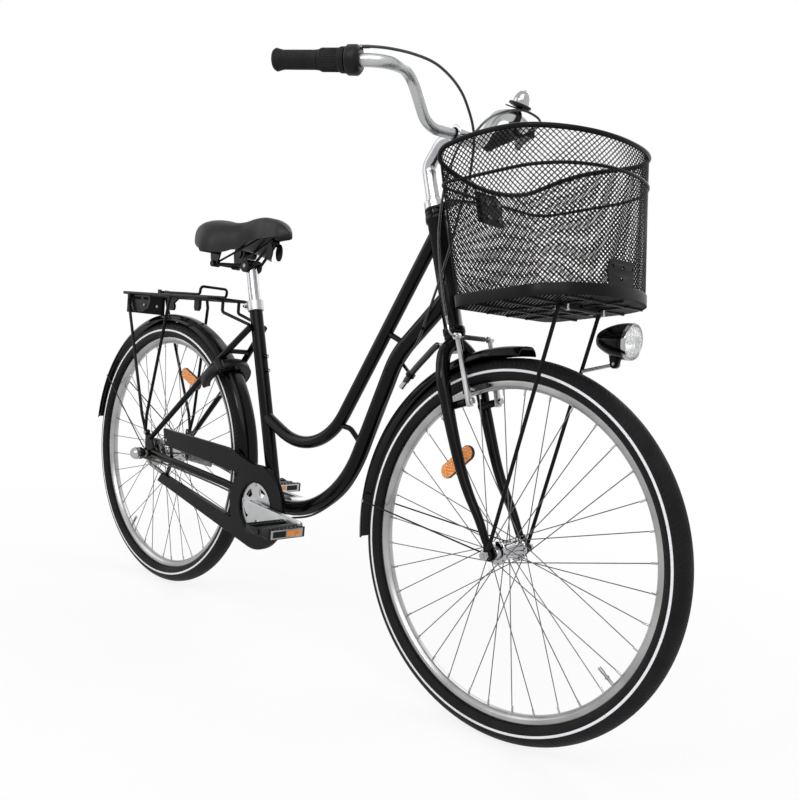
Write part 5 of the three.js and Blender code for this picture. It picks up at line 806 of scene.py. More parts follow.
for height in seatTube["ears"]:
    root = seatAt(height)
    tip = root + Vector((seatTube["earReach"], 0, 0))
    addRod(seatPipe, root, tip, seatTube["earRadius"], 20)
    addRod(seatPipe, tip, root + Vector((seatTube["earReach"] + 1.9, 0, 0)), 3.2, 6, 1)
skinOf("seat_tube", seatPipe, "frame", [gloss, satinAlloy])


def seatStayPath(side):
    x, y, z = seatStay["foot"]
    foot = Vector((x, side * y, z))
    top = seatAt(seatStay["top"])
    middle = foot.lerp(top, 0.7)
    middle.y = side * seatStay["middleY"]
    top.y = side * seatStay["topY"]
    return bendPath([foot, middle, top], seatStay["bend"])


eyeX, eyeZ = dropout["eye"]
dropoutOutline = (arcPoints(0, axleHeight, dropout["reach"], 200, 330, 16)
                  + [(40, 347), (40, 367), (22, 375), (12, 398)]
                  + arcPoints(eyeX, eyeZ, dropout["eyeReach"], 0, 180, 12))
dropoutHoles = [circlePoints(0, axleHeight, dropout["axle"], 24),
                circlePoints(eyeX, eyeZ, dropout["eyeHole"], 16)]
for side, name in ((right, "right"), (left, "left")):
    stay = newShape()
    path = bendPath([(x, side * y, z) for x, y, z in chainStay["points"]], chainStay["bends"])
    addTube(stay, path, chainStay["radius"], 32)
    addPlate(stay, dropoutOutline, side * dropout["from"], side * dropout["to"], dropoutHoles)
    skinOf("chain_stay_" + name, stay, "frame", [gloss], 40)
    stay = newShape()
    path = seatStayPath(side)
    addTube(stay, path, lambda share: seatStay["radius"] if share > 0.03 else seatStay["footRadius"], 28)
    at = path[0].lerp(path[-1], seatStay["bridge"])
    crossRod(stay, at.x, at.z, 0, side * seatStay["bridgeReach"], seatStay["bridgeRadius"], 20)
    skinOf("seat_stay_" + name, stay, "frame", [gloss], 40)
print("frame ready")

# Seat clamp, post, rails and saddle. A rod is (from, to, radius, sides, material) across the bicycle
collarSize = {"height": 25, "boltHeight": 9.5, "boltBack": 24,
              "ring": [(16.5, 0), (18.8, 0), (19.5, 0.8), (19.5, 24.2), (18.8, 25), (16.5, 25)],
              "ears": [(-9, -0.8), (0.8, 9)], "earFrom": 28.5, "earTo": 17,
              "rods": [(-18, 18, 3, 20, 1), (-18, -10, 5, 6, 1), (10, 17, 5.5, 20, 1)]}
postSize = {"top": 866, "radius": 13.6, "below": 120, "bolt": (-9, -15, 13),
            "rods": [(-21, 21, 15.4, 40, 1), (-21.5, -14.5, 12.5, 40, 1), (14.5, 21.5, 12.5, 40, 1),
                     (-22, 22, 5, 6, 2)]}
railSize = {"points": [(206, 34, 868), (304, 11, 868), (336, 11, 868), (396, 22 / 3, 921)], "bend": 20,
            "radius": 3.5, "endAt": (206, 33.5, 868), "bar": (206, 868, 30, 4.5), "nose": (396, 921, 11, 8),
            "end": [(3.4, -14), (7.2, -13), (8, -11.5), (8, -4), (6.6, -3), (6.6, -1), (8, 0), (8, 7.5),
                    (7, 8.5), (0, 8.5)]}
collar = newShape()
base = seatAt(seatTube["top"]) - seatAxis * collarSize["height"]
addLathe(collar, collarSize["ring"], base, seatAxis, 64, closed=True)
middle = base + seatAxis * collarSize["boltHeight"]
for y0, y1 in collarSize["ears"]:
    addBox(collar, (middle.x - collarSize["earFrom"], y0, middle.z - 8),
           (middle.x - collarSize["earTo"], y1, middle.z + 8))
for y0, y1, radius, sides, mat in collarSize["rods"]:
    crossRod(collar, middle.x - collarSize["boltBack"], middle.z, y0, y1, radius, sides, mat)
skinOf("seat_clamp", collar, "frame", [satinAlloy, chrome], 35)
post = newShape()
postTop = seatAt(postSize["top"])
postFoot = seatAt(seatTube["top"]) - seatAxis * postSize["below"]
addTube(post, [postFoot, postTop - seatAxis * 8], postSize["radius"], 48)
for y0, y1, radius, sides, mat in postSize["rods"]:
    crossRod(post, postTop.x, postTop.z, y0, y1, radius, sides, mat)
y, z0, z1 = postSize["bolt"]
addRod(post, postTop + Vector((0, y, z0)), postTop + Vector((0, y, z1)), 3, 12, 2)
skinOf("seat_post", post, "seat", [chrome, satinBlack, steel], 40)
rails = newShape()
for side in (right, left):
    addTube(rails, bendPath([(x, side * y, z) for x, y, z in railSize["points"]], railSize["bend"]),
            railSize["radius"], 16)
    x, y, z = railSize["endAt"]
    addLathe(rails, railSize["end"], (x, side * y, z), (0, side, 0), 28)
x, z, reach, radius = railSize["bar"]
crossRod(rails, x, z, -reach, reach, radius, 16)
x, z, reach, radius = railSize["nose"]
crossRod(rails, x, z, -reach, reach, radius, 24)
skinOf("saddle_rails", rails, "seat", [satinBlack], 45)

# Shares of the saddle's width, top and skirt at even steps from its tail to its nose
saddleSize = {
    "tail": 178, "length": 277, "half": 104, "crown": 981, "fall": 92, "stations": 110,
    "width": [0.5, 0.86, 0.99, 1, 0.9, 0.7, 0.5, 0.38, 0.3, 0.27, 0.25, 0.21, 0.09],
    "top": [0.28, 0.13, 0.08, 0.09, 0.13, 0.14, 0.1, 0.03, 0, 0.02, 0.07, 0.17, 0.35],
    "skirt": [0.5, 0.66, 0.84, 0.95, 1, 0.98, 0.84, 0.68, 0.6, 0.56, 0.54, 0.52, 0.46],
    "groove": 3.5, "seam": 0.9, "under": 16, "fill": 0.9,
}


def shareAt(values, t):
    spot = min(max(t, 0), 1) * (len(values) - 1)
    i = min(int(spot), len(values) - 2)
    p = [values[max(min(k, len(values) - 1), 0)] for k in (i - 1, i, i + 1, i + 2)]
    s = spot - i
    return 0.5 * (2 * p[1] + (p[2] - p[0]) * s + (2 * p[0] - 5 * p[1] + 4 * p[2] - p[3]) * s * s
                  + (3 * p[1] - p[0] - 3 * p[2] + p[3]) * s ** 3)


# From 0 at an end of the saddle to 1 past its rounding
def rounding(t, reach):
    return math.sqrt(max(0, 1 - max(0, 1 - t / reach) ** 2))


saddle = newShape()
rings = []
for i in range(saddleSize["stations"] + 1):
    t = i / saddleSize["stations"]
    x = saddleSize["tail"] + saddleSize["length"] * t
    blunt = 0.04 + 0.96 * (rounding(t, 0.09) * rounding(1 - t, 0.06))
    half = saddleSize["half"] * shareAt(saddleSize["width"], t) * (0.35 + 0.65 * blunt)
    top = saddleSize["crown"] - saddleSize["fall"] * shareAt(saddleSize["top"], t)
    edge = saddleSize["crown"] - saddleSize["fall"] * shareAt(saddleSize["skirt"], t)
    middle = (top + edge) / 2
    top = middle + (top - middle) * blunt
    edge = middle + (edge - middle) * blunt
    ring = []
    for k in range(57):
        a = math.pi * k / 56
        across = math.copysign(abs(math.cos(a)) ** 0.7, math.cos(a))
        lift = math.sin(a) ** 0.75
        dip = math.exp(-(across / 0.16) ** 2) * min(1, max(0, 1 - abs(t - 0.42) / 0.4))
        seam = saddleSize["seam"] * math.exp(-((lift - 0.72) / 0.02) ** 2) * blunt
        height = edge + (top - edge) * lift - saddleSize["groove"] * dip * lift ** 4
        ring.append(Vector((x, (half - seam) * across, height)))
    under = min(saddleSize["under"], (top - edge) / 2)
    for k in range(1, 12):
        s = -1 + 2 * k / 12
        ring.append(Vector((x, half * s, edge + under * (1 - s * s))))
    rings.append(ring)
addRings(saddle, rings)
saddleSkin = skinOf("saddle", saddle, "seat", [leather], 60)
fittingSize = {"rod": (214, 903), "boss": (74, 84, 4.6), "spring": (30, 80, 12), "nose": (400, 901),
               "arm": ((214, 30, 872), (372, 16, 934)),
               "side": [(196, 868), (222, 868), (236, 902), (232, 924), (200, 924), (190, 900)]}
fittings = newShape()
for side in (right, left):
    for mat, (key, sides) in enumerate((("boss", 20), ("spring", 28))):
        y0, y1, radius = fittingSize[key]
        crossRod(fittings, *fittingSize["rod"], side * y0, side * y1, radius, sides, mat)
    addPlate(fittings, fittingSize["side"], side * 33, side * 37, (), 1)
    low, high = [(x, side * y, z) for x, y, z in fittingSize["arm"]]
    addRod(fittings, low, high, 2.6, 10, 1)
    x, z = fittingSize["nose"]
    turns = [2 * math.pi * k / 32 for k in range(32)]
    ring = [(x + 11 * math.cos(a), z + 20 * math.sin(a)) for a in turns]
    addPlate(fittings, ring, side * 12, side * 16, (), 1)
build(fittings, "saddle_fittings", "seat", [chrome, satinBlack], (), 40)
print("seat ready")

# Steering column with its three races, and the fork
forkSize = {"base": 712, "bore": 14.3, "crown": 712 + 26 * 0.7, "shoulder": 712 - 12 * 0.4, "eye": 668,
            "spread": 57, "axleY": 52.5,
            "leg": [(0.78, 0.05), (0.46, 0.22), (0.3, 0.43), (0.16, 0.72)], "boss": 610, "bossY": 44}
fork = newShape()
base = steerAt(forkSize["base"])


def above(point):
    return (point - base).dot(steerAxis)


lowRace = above(headLow) - headTube["race"] - 0.3 - 9
topAt = above(headTop)
races = [(lowRace, 9, 21), (topAt + 13.3, 9, 21), (topAt + 26.9, 15, 20.5)]
bore = forkSize["bore"]
profile = [(0, 0), (bore, 0)]
for foot, height, radius in races:
    profile += [(bore, foot), (radius - 1, foot), (radius, foot + 1), (radius, foot + height - 1),
                (radius - 1, foot + height), (bore, foot + height)]
profile[-1] = (11.6, profile[-1][1])
addLathe(fork, profile[:-6], base, steerAxis, 56)
addLathe(fork, profile[-7:], base, steerAxis, 56, 1)


def forkLegPath(side):
    spread = side * forkSize["spread"]
    axlePoint = Vector((wheelBase, side * forkSize["axleY"], axleHeight))
    drop = forkSize["eye"] - axleHeight
    lower = [steerAt(axleHeight + drop * h) + steerForward * forkRake * r
             + Vector((0, spread - side * r * 5 * 0.8, 0)) for h, r in forkSize["leg"]]
    crown = steerAt(forkSize["crown"])
    crown.y = side * forkSize["bore"] * 0.5
    shoulder = steerAt(forkSize["shoulder"])
    shoulder.y = spread - side * 18
    top = steerAt(forkSize["eye"])
    top.y = spread - side * 3
    return smoothPath([crown, shoulder, top] + lower + [axlePoint.lerp(lower[3], 0.32)], 64)


def legRadius(share):
    blend = min(1, max(0, (share - 0.22) / 0.1))
    return 13.5 + (12.5 - 13.5) * blend - 5 * max(0, (share - 0.3) / 0.7) ** 1.2


# From, to, radius, sides and material of the rods in each brake boss
bossRods = [(0, 38, 7.2, 24, 0), (30, 52, 4, 16, 1), (50.6, 54.6, 6.5, 6, 1)]
for side in (right, left):
    path = forkLegPath(side)
    addTube(fork, path, legRadius, 32)
    tip = path[-1]
    outline = (arcPoints(wheelBase, axleHeight, 12.5, 200, 400, 20)
               + [(tip.x + 7.5, tip.z + 7.5), (tip.x - 7.5, tip.z + 3.75)])
    addPlate(fork, outline, side * 50, side * 55, [circlePoints(wheelBase, axleHeight, 5.6, 24)])
    root = steerAt(forkSize["boss"])
    root.y = side * forkSize["bossY"]
    for near, far, radius, sides, mat in bossRods:
        addRod(fork, root + steerForward * near, root + steerForward * far, radius, sides, mat)
skinOf("fork", fork, "steering", [gloss, chrome], 40)

# Stem and handlebar
stemSize = {"column": 13.3 + 9.3 + 4.3 + 15, "knee": 1066, "clamp": (942, 1118), "bend": 26,
            "collar": [(14.3, 0), (15.6, 0.4), (16, 2), (15.6, 6), (14.3, 7)],
            "sleeve": [(11.4, -21), (15.5, -21), (16.5, -20), (16.5, 20), (15.5, 21), (11.4, 21)]}
barSize = {"radius": 11.1, "bend": 48, "corners": [(925, 78, 1118), (921, 133, 1201), (945, 215, 1191)],
           "gripAngle": math.radians(26.4), "gripReach": 132.8}
stem = newShape()
knee = steerAt(stemSize["knee"])
clampX, clampZ = stemSize["clamp"]
clampAt = Vector((clampX, 0, clampZ))
path = bendPath([headTop + steerAxis * (stemSize["column"] + 0.3), knee, (knee.x + 31, 0, 1112), clampAt],
                stemSize["bend"])
addTube(stem, path, lambda share: 14.3 - 1.8 * share, 48)
addLathe(stem, stemSize["collar"], path[0], steerAxis, 48)
addLathe(stem, stemSize["sleeve"], clampAt, yAxis, 56)
addRod(stem, clampAt + Vector((15, 0, -13)), clampAt + Vector((15, 0, 5)), 4.5, 20, 1)
addBox(stem, (clampX + 9, -9, clampZ - 14), (clampX + 17, 9, clampZ - 5))
skinOf("stem", stem, "steering", [chrome, steel], 40)


def gripLine(side):
    return Vector((-math.cos(barSize["gripAngle"]), side * math.sin(barSize["gripAngle"]), 0))


def gripAt(side, distance):
    back = 33 / math.tan(barSize["gripAngle"])
    return Vector((945 - back, side * 248, 1191)) + gripLine(side) * distance


def barCorners(side):
    bends = [Vector((x, side * y, z)) for x, y, z in barSize["corners"]]
    return bends + [gripAt(side, barSize["gripReach"])]


bar = newShape()
corners = barCorners(right)[::-1] + [clampAt] + barCorners(left)
addTube(bar, bendPath(corners, barSize["bend"]), barSize["radius"], 40, 0, zAxis)
skinOf("handlebar", bar, "steering", [satinAlloy])

# Grips, shifter, brake lever and bell. A profile is (radius, distance along the grip)
gripSize = {"radius": 17, "points": 120, "rib": 0.35, "ribs": 1.9}
twistSize = {"ribs": 30, "ribRadius": 0.9, "ribOut": 18.6, "ribSpan": (14, 45),
             "profile": [(11.7, 0), (20.8, 0), (21.5, 1), (21.5, 8), (20, 12), (18.8, 13), (18.8, 46),
                         (17.4, 49), (16.4, 50), (11.7, 50)]}
shifterSize = {"from": -27.3,
               "profile": [(11.7, 0), (18.5, 0), (20, 1), (24, 5), (25, 7), (25, 22), (24, 24), (19, 26.6),
                           (18.5, 27), (11.7, 27)]}
bellSize = {"y": 174, "tilt": 20, "clip": [(12.3, -4.5), (15.6, -4.5), (15.6, 4.5), (12.3, 4.5)],
            "base": [(0, 0), (12, 0), (22, 2.4), (24, 3.6), (24, 7.2), (22.5, 8.4), (18, 9)],
            "dome": 17.8, "rise": 26, "knob": [(2.6, 34.2), (2.6, 35), (2, 35.4), (0, 35.4)]}


def sleeveOn(shape, side, start, profile):
    addLathe(shape, profile, gripAt(side, start), gripLine(side), 56)


def gripProfile(length):
    points = [(11.7, 0), (16.4, 0), (gripSize["radius"], 0.8)]
    for i in range(1, gripSize["points"]):
        t = i / gripSize["points"]
        radius = gripSize["radius"] - min(1, t / 0.1) + max(0, (t - 0.8) / 0.15) * 3.2
        if t > 0.95:
            radius = 19.2 - (t - 0.95) / 0.05 * 2.4
        rib = gripSize["rib"] * math.sin(t * length * gripSize["ribs"]) * (1 if 0.08 < t < 0.86 else 0)
        points.append((radius + rib, t * length))
    return points + [(16.6, length), (11, length + 0.2), (0, length + 0.2)]


for side, name, start, length in ((left, "left", 0, 135), (right, "right", 50.3, 84.7)):
    grip = newShape()
    sleeveOn(grip, side, start, gripProfile(length))
    skinOf("grip_" + name, grip, "steering", [rubber], 60)
twist = newShape()
sleeveOn(twist, right, 0, twistSize["profile"])
u, v, w = basisFor(gripLine(right))
for k in range(twistSize["ribs"]):
    a = 2 * math.pi * k / twistSize["ribs"]
    spoke = u * math.cos(a) + v * math.sin(a)
    addTube(twist, [gripAt(right, d) + spoke * twistSize["ribOut"] for d in twistSize["ribSpan"]],
            twistSize["ribRadius"], 6)
skinOf("twist_grip", twist, "twist", [rubber], 50)
shifter = newShape()
sleeveOn(shifter, right, shifterSize["from"], shifterSize["profile"])
mount = gripAt(right, -14)
addTube(shifter, [mount + Vector((-2, 0, 15)), mount + Vector((10, 8, 22))],
        lambda share: (8 - 3 * share, 6 - share), 20)
addRod(shifter, gripAt(right, -27.9) + Vector((0, 0, 22)), gripAt(right, -17) + Vector((0, 0, 20)),
       3.6, 20, 1)
skinOf("shifter", shifter, "steering", [plastic, steel], 40)
smoothCopy("brake_mount", plastic, 40, bevel=0.8)
smoothCopy("brake_lever", satinBlack, 40, bevel=1.6)
bellLow, bellHigh = barCorners(left)[1:3]
bellRoot = bellLow.lerp(bellHigh, (bellSize["y"] - bellLow.y) / (bellHigh.y - bellLow.y))
bellTilt = math.radians(bellSize["tilt"])
bellAxis = Vector((math.sin(bellTilt), 0, math.cos(bellTilt)))
bell = newShape()
barLine = (bellHigh - bellLow).normalized()
addLathe(bell, bellSize["clip"], bellRoot, barLine, 32, 1, closed=True)
addRod(bell, bellRoot + bellAxis * 13, bellRoot + bellAxis * 29, 3.6, 20, 1)
foot = bellRoot + bellAxis * 20
addLathe(bell, bellSize["base"], foot, bellAxis, 64, 1)
quarters = [math.pi / 2 * k / 20 for k in range(1, 21)]
dome = [(bellSize["dome"], 9)] + [(bellSize["dome"] * math.cos(a), 9 + bellSize["rise"] * math.sin(a))
                                  for a in quarters]
addLathe(bell, dome, foot, bellAxis, 64)
addLathe(bell, bellSize["knob"], foot, bellAxis, 20, 1)
skinOf("bell", bell, "steering", [chrome, plastic], 40)
smoothCopy("bell_lever", plastic, 40, bevel=0.5)

# Brake arms, axles and the shift cap on the axle's end
capSize = {"at": (0, -80.4, axleHeight), "inner": [(0, 0), (12.8, 0), (16, 6.4), (16, 15), (15.6, 15.4)],
           "outer": [(15.6, 15.4), (16, 15.8), (16, 22.4), (14.6, 27), (11.2, 32), (0, 32)]}


def paintPart(obj, index, test):
    for polygon in obj.data.polygons:
        place = polygon.center * 1000 - shift
        if test(place):
            polygon.material_index = index


for name, side in (("brake_arm_right", right), ("brake_arm_left", left)):
    arm = smoothCopy(name, [satinAlloy, padRubber, chrome], 35, bevel=0.6)
    paintPart(arm, 1, lambda p: abs(p.y) < 25.5 and (p - Vector(frontCentre)).length < 318)
    paintPart(arm, 2, lambda p: p.y < -57 and p.z > 717)
    paintPart(arm, 1, lambda p: side == left and p.z > 716 and -29 < p.y < 34)
smoothCopy("front_axle", chrome, 30, bevel=0.6)
smoothCopy("rear_axle", steel, 30, bevel=0.6)
cap = newShape()
addLathe(cap, capSize["inner"], capSize["at"], (0, -1, 0), 48, 1)
addLathe(cap, capSize["outer"], capSize["at"], (0, -1, 0), 48)
skinOf("shift_cap", cap, "frame", [chrome, plastic], 40)
print("controls ready")

# Chain drive. The spider is seen through the guard's window
chainSize = {"pitch": 12.7, "y": -47, "ringTeeth": 42, "sprocketTeeth": 18, "end": 4.1, "outer": (2.7, 3.7),
             "inner": (1.7, 2.6), "pin": (3.8, 1.7), "roller": (1.6, 3.7)}
spiderSize = {"outer": 59, "slotOut": 47, "slotIn": 31, "slotHalf": 15, "arms": 5, "turn": 100,
              "front": -59.4, "back": -57.8, "bolts": 52.5, "bolt": (-60.6, -51, 4.4)}
pedalSize = {"turn": math.radians(3), "crank": 170, "middle": 135, "edge": 39.2, "half": 43, "cleats": 9,
             "lenses": [(134, 97, 0), (138, 172, 1)], "cap": (184.2, 186, 6.5)}
guardSize = {"disc": 100, "window": 58, "face": -64, "back": -62.4, "rim": -51.7, "lip": -51.4,
             "strap": [(76, 411.5), (93, 352), (69, 302), (83, 302), (107, 352), (90, 411.5)]}
ringPitch = chainSize["pitch"] / (2 * math.sin(math.pi / chainSize["ringTeeth"]))
sprocketPitch = chainSize["pitch"] / (2 * math.sin(math.pi / chainSize["sprocketTeeth"]))
crankAxle = Vector((crankX, 0, crankZ))
smoothCopy("chain_ring", satinAlloy, 30, bevel=0.3)
smoothCopy("rear_sprocket", steel, 30, bevel=0.3)
spider = newShape()
slots = []
half = spiderSize["slotHalf"]
for k in range(spiderSize["arms"]):
    middle = 360 * (k + 0.5) / spiderSize["arms"] + spiderSize["turn"]
    near = half * 0.8
    slots.append(arcPoints(crankX, crankZ, spiderSize["slotOut"], middle - half, middle + half, 10)
                 + arcPoints(crankX, crankZ, spiderSize["slotIn"], middle + near, middle - near, 8))
disc = circlePoints(crankX, crankZ, spiderSize["outer"], 90)
addPlate(spider, disc, spiderSize["front"], spiderSize["back"], slots)
y0, y1, radius = spiderSize["bolt"]
for k in range(spiderSize["arms"]):
    a = math.radians(360 * k / spiderSize["arms"] + spiderSize["turn"])
    x = crankX + spiderSize["bolts"] * math.cos(a)
    z = crankZ + spiderSize["bolts"] * math.sin(a)
    crossRod(spider, x, z, y0, y1, radius, 20, 1)
build(spider, "ring_spider", "cranks", [satinAlloy, chrome], (), 35)
for name in ("crank_right", "crank_left"):
    smoothCopy(name, satinAlloy, 35, bevel=1.5)
crankWay = Vector((math.cos(pedalSize["turn"]), 0, -math.sin(pedalSize["turn"])))
for name, side, body in (("pedal_right", right, "right_pedal"), ("pedal_left", left, "left_pedal")):
    smoothCopy(name, plastic, 35, bevel=1.2)
    spot = crankAxle - crankWay * pedalSize["crank"] * side
    middle = side * pedalSize["middle"]
    half = pedalSize["half"]
    trim = newShape()
    for end in (right, left):
        x = spot.x + end * pedalSize["edge"]
        for near, far, mat in pedalSize["lenses"]:
            y0, y1 = sorted((side * near, side * far))
            addBox(trim, (x - 0.9, y0, spot.z - 6.4), (x + 0.9, y1, spot.z + 6.4), mat)
        addBox(trim, (x - 1.2, middle - half, spot.z - 9.6), (x + 0.3, middle + half, spot.z + 9.6), 2)
        for k in range(pedalSize["cleats"]):
            y = middle - 44 + k * 11
            crossRod(trim, spot.x + end * 31, spot.z + 10.6, y, y + 3, 1.6, 8, 1)
    addBox(trim, (spot.x - 24, middle - 46, spot.z - 6), (spot.x + 24, middle - half, spot.z + 6), 1)
    y0, y1, radius = pedalSize["cap"]
    crossRod(trim, spot.x, spot.z, side * y0, side * y1, radius, 24, 1)
    build(trim, name + "_trim", body, [amber, plastic, satinAlloy], (), 40)

# The chain's loop, as the pitch line round both sprockets
span = math.hypot(crankX, axleHeight - crankZ)
lean = math.asin((ringPitch - sprocketPitch) / span)
toRing = Vector((crankX, 0, crankZ - axleHeight)).normalized()
upward = Vector((-toRing.z, 0, toRing.x))
quarter = math.pi / 2


def sprocketArc(centre, radius, start, end, count):
    turns = [start + (end - start) * k / count for k in range(count + 1)]
    return [centre + (toRing * math.cos(a) + upward * math.sin(a)) * radius for a in turns]


loop = sprocketArc(crankAxle, ringPitch, -quarter - lean, quarter + lean, 120)
loop += sprocketArc(Vector(rearCentre), sprocketPitch, quarter + lean, 3 * quarter - lean, 60)
loop.append(loop[0])
runs = [0]
for a, b in zip(loop, loop[1:]):
    runs.append(runs[-1] + (b - a).length)
links = 2 * round(runs[-1] / chainSize["pitch"] / 2)


def onLoop(distance):
    distance = distance % runs[-1]
    low = np.searchsorted(runs, distance, side="right") - 1
    low = min(int(low), len(loop) - 2)
    return loop[low].lerp(loop[low + 1], (distance - runs[low]) / (runs[low + 1] - runs[low]))


chain = newShape()
for i in range(links):
    a = onLoop(i * runs[-1] / links)
    b = onLoop((i + 1) * runs[-1] / links)
    alongLink = (b - a).normalized()
    over = Vector((-alongLink.z, 0, alongLink.x))
    outline = []
    for k in range(20):
        angle = 2 * math.pi * k / 20
        end = b if math.cos(angle) > 0 else a
        p = end + alongLink * chainSize["end"] * math.cos(angle) + over * chainSize["end"] * math.sin(angle)
        outline.append((p.x, p.z))
    low, high = chainSize["outer" if i % 2 else "inner"]
    y = chainSize["y"]
    addPlate(chain, outline, y + low, y + high)
    addPlate(chain, outline, y - high, y - low)
    for key, sides in (("pin", 10), ("roller", 14)):
        reach, radius = chainSize[key]
        crossRod(chain, a.x, a.z, y - reach, y + reach, radius, sides, 1)
skinOf("chain", chain, "frame", [steel, spokeSteel], 40)


def guardOutline(inset):
    disc = guardSize["disc"] - inset
    return ([(66 + inset, 433 - inset), (350, 427 - inset)] + arcPoints(crankX, crankZ, disc, 100, -104, 90)
            + [(51 + inset, 290 + inset), (69 + inset, 314 - inset)]
            + arcPoints(crankX, crankZ, disc, 206, 136, 24) + [(76 + inset, 390 + inset)])


guard = newShape()
face = guardOutline(1)
window = circlePoints(crankX, crankZ, guardSize["window"], 72)
addPlate(guard, face, guardSize["face"], guardSize["back"], [window])
guardEdge = [(face, guardSize["face"]), (guardOutline(0), -63), (guardOutline(0), guardSize["rim"]),
             (guardOutline(0.8), guardSize["lip"]), (guardOutline(1.6), guardSize["rim"]),
             (guardOutline(1.6), guardSize["back"])]
addRings(guard, [[Vector((x, y, z)) for x, z in ring] for ring, y in guardEdge], 0, False, True, False)
for radius, crest in ((guardSize["window"], 64), (guardSize["window"] + 4, 64.3)):
    ring = [(radius, 62.3), (radius + 0.8, crest), (radius + 2.4, crest), (radius + 3, 62.3)]
    addLathe(guard, ring, crankAxle, (0, -1, 0), 90)
addPlate(guard, guardSize["strap"], -53.4, -51.8)
addRod(guard, (100, -55.8, 352), (100, -53, 352), 3, 16)
addRod(guard, (84, -64.6, 405), (84, -62, 405), 4, 6, 1)
addRod(guard, (100, -54.4, 352), (100, -51.5, 352), 4.4, 6, 1)
skinOf("chain_guard", guard, "frame", [gloss, steel], 45)
print("drive ready")

# Carrier with its clamp and rear lamp
carrierSize = {
    "top": 782, "tail": -205, "nose": 240, "half": 56, "corner": 22, "radius": 4, "crossRadius": 3.6,
    "strip": [(-203, -20), (238, -20), (238, 20), (-203, 20)], "stripHeight": 780.5,
    "foot": [(65.3, 69.3, 8, 24, 0), (60.5, 72, 3, 16, 1), (69.5, 73, 5.5, 6, 1)], "footY": 69.3,
    "legs": (-155, 50),
    "side": [(-166, 777), (-60, 777), (-54, 762), (-64, 744), (-96, 734), (-140, 733), (-152, 740),
             (-160, 762), (-166, 765)],
    "sideSlots": [(-126, 20), (-78, 10)], "sideScrews": [(-146, 750), (-84, 752)],
    "latchTail": [(52, 771), (64, 777), (4, 777)],
    "block": [(140, 777), (162, 777), (162, 756), (156, 748), (144, 748), (140, 756)],
}
clampSize = {"z": 790, "hinge": -20, "radius": 3.5, "coil": 5.2, "turns": 6,
             "points": [(-20, -40, 0), (160, -40, 0), (163.5, -40, 20.5), (163.5, 40, 20.5), (160, 40, 0),
                        (-20, 40, 0)]}
top = carrierSize["top"]
tail = carrierSize["tail"]
nose = carrierSize["nose"]
half = carrierSize["half"]
corner = carrierSize["corner"]
carrier = newShape()
loopPath = []
for x, y, start in ((tail, -half, 180), (nose, -half, 270), (nose, half, 0), (tail, half, 90)):
    cx = x - math.copysign(corner, x)
    cy = y - math.copysign(corner, y)
    loopPath += [(px, py, top) for px, py in arcPoints(cx, cy, corner, start, start + 90, 10)]
addTube(carrier, loopPath, carrierSize["radius"], 16, 0, zAxis, True)
for i in range(3):
    x = tail + (nose - tail) * (i + 1) / 4
    crossRod(carrier, x, top - 0.4, -half, half, carrierSize["crossRadius"], 16)
strip = newShape()
addPlate(strip, carrierSize["strip"], 0, 3, [slotPoints(x, 0, 9, 6) for x in range(-170, 220, 42)])
laid = [Vector((v.x, v.z, carrierSize["stripHeight"] + v.y)) for v in strip["verts"]]
addFaces(carrier, laid, strip["faces"], 0, False)
for side in (right, left):
    for y0, y1, radius, sides, mat in carrierSize["foot"]:
        crossRod(carrier, eyeX, eyeZ, side * y0, side * y1, radius, sides, mat)
    for x in carrierSize["legs"]:
        start = Vector((eyeX, side * carrierSize["footY"], 416))
        legPath = [start, start + Vector(((x - eyeX) * 0.12, side * 4, 44.4)), (x, side * 60, 760),
                   (x, side * half, top)]
        addTube(carrier, bendPath(legPath, [60, 14]), carrierSize["radius"], 16)
    path = bendPath([(nose, side * 24, top), (nose, side * 24, 751), (346, side * 18, 726)], 8)
    addTube(carrier, path, carrierSize["radius"], 16)
    addBox(carrier, (-27, side * 45, top - 4), (-13, side * 48, top + 14))
    if side == right:
        holes = [slotPoints(x, 769.5, reach, 3.8) for x, reach in carrierSize["sideSlots"]]
        addPlate(carrier, carrierSize["side"], side * 52.4, side * 50, holes)
        for x, z in carrierSize["sideScrews"]:
            crossRod(carrier, x, z, side * 49.5, side * 54.5, 3.6, 6, 1)
        latch = arcPoints(20, 754, 10, 90, 270, 12) + arcPoints(34, 754, 10, -90, 60, 12)
        addPlate(carrier, latch + carrierSize["latchTail"], side * 40, side * 34)
        addPlate(carrier, carrierSize["block"], side * 42, side * 34)
addBox(carrier, (-166.5, -58, 729), (-163.5, 58, 780))
for y in (-30, 30):
    addRod(carrier, (-166, y, 752), (-160, y, 752), 4, 6, 1)
skinOf("carrier", carrier, "frame", [satinBlack, steel], 45)
clamp = newShape()
z = clampSize["z"]
hinge = clampSize["hinge"]
path = bendPath([(x, y, z + up) for x, y, up in clampSize["points"]], 9)
addTube(clamp, path, clampSize["radius"], 16, 0, zAxis)
crossRod(clamp, hinge, z, -47.4, 47.4, clampSize["radius"], 16)
for y in (-30, 20):
    coil = []
    radius = clampSize["coil"]
    for k in range(clampSize["turns"] * 20):
        a = 2 * math.pi * k / 20
        coil.append((hinge + radius * math.cos(a), y + k * 10 / 120, z + radius * math.sin(a)))
    addTube(clamp, coil, 1, 8, 1, zAxis)
skinOf("carrier_clamp", clamp, "luggage_clamp", [satinBlack, steel], 45)

# The lamp's case and its red lens, each ring as (x, half width, half height, corner)
rearLamp = {"z": 752, "case": [(-166.8, 46, 15, 8), (-167.2, 48, 17, 9), (-174, 48, 17, 9)],
            "lens": [(-174, 47, 16, 8.5), (-181, 46.6, 15.6, 8.5), (-184.5, 44, 13.6, 8),
                     (-186.4, 36, 8, 6)]}


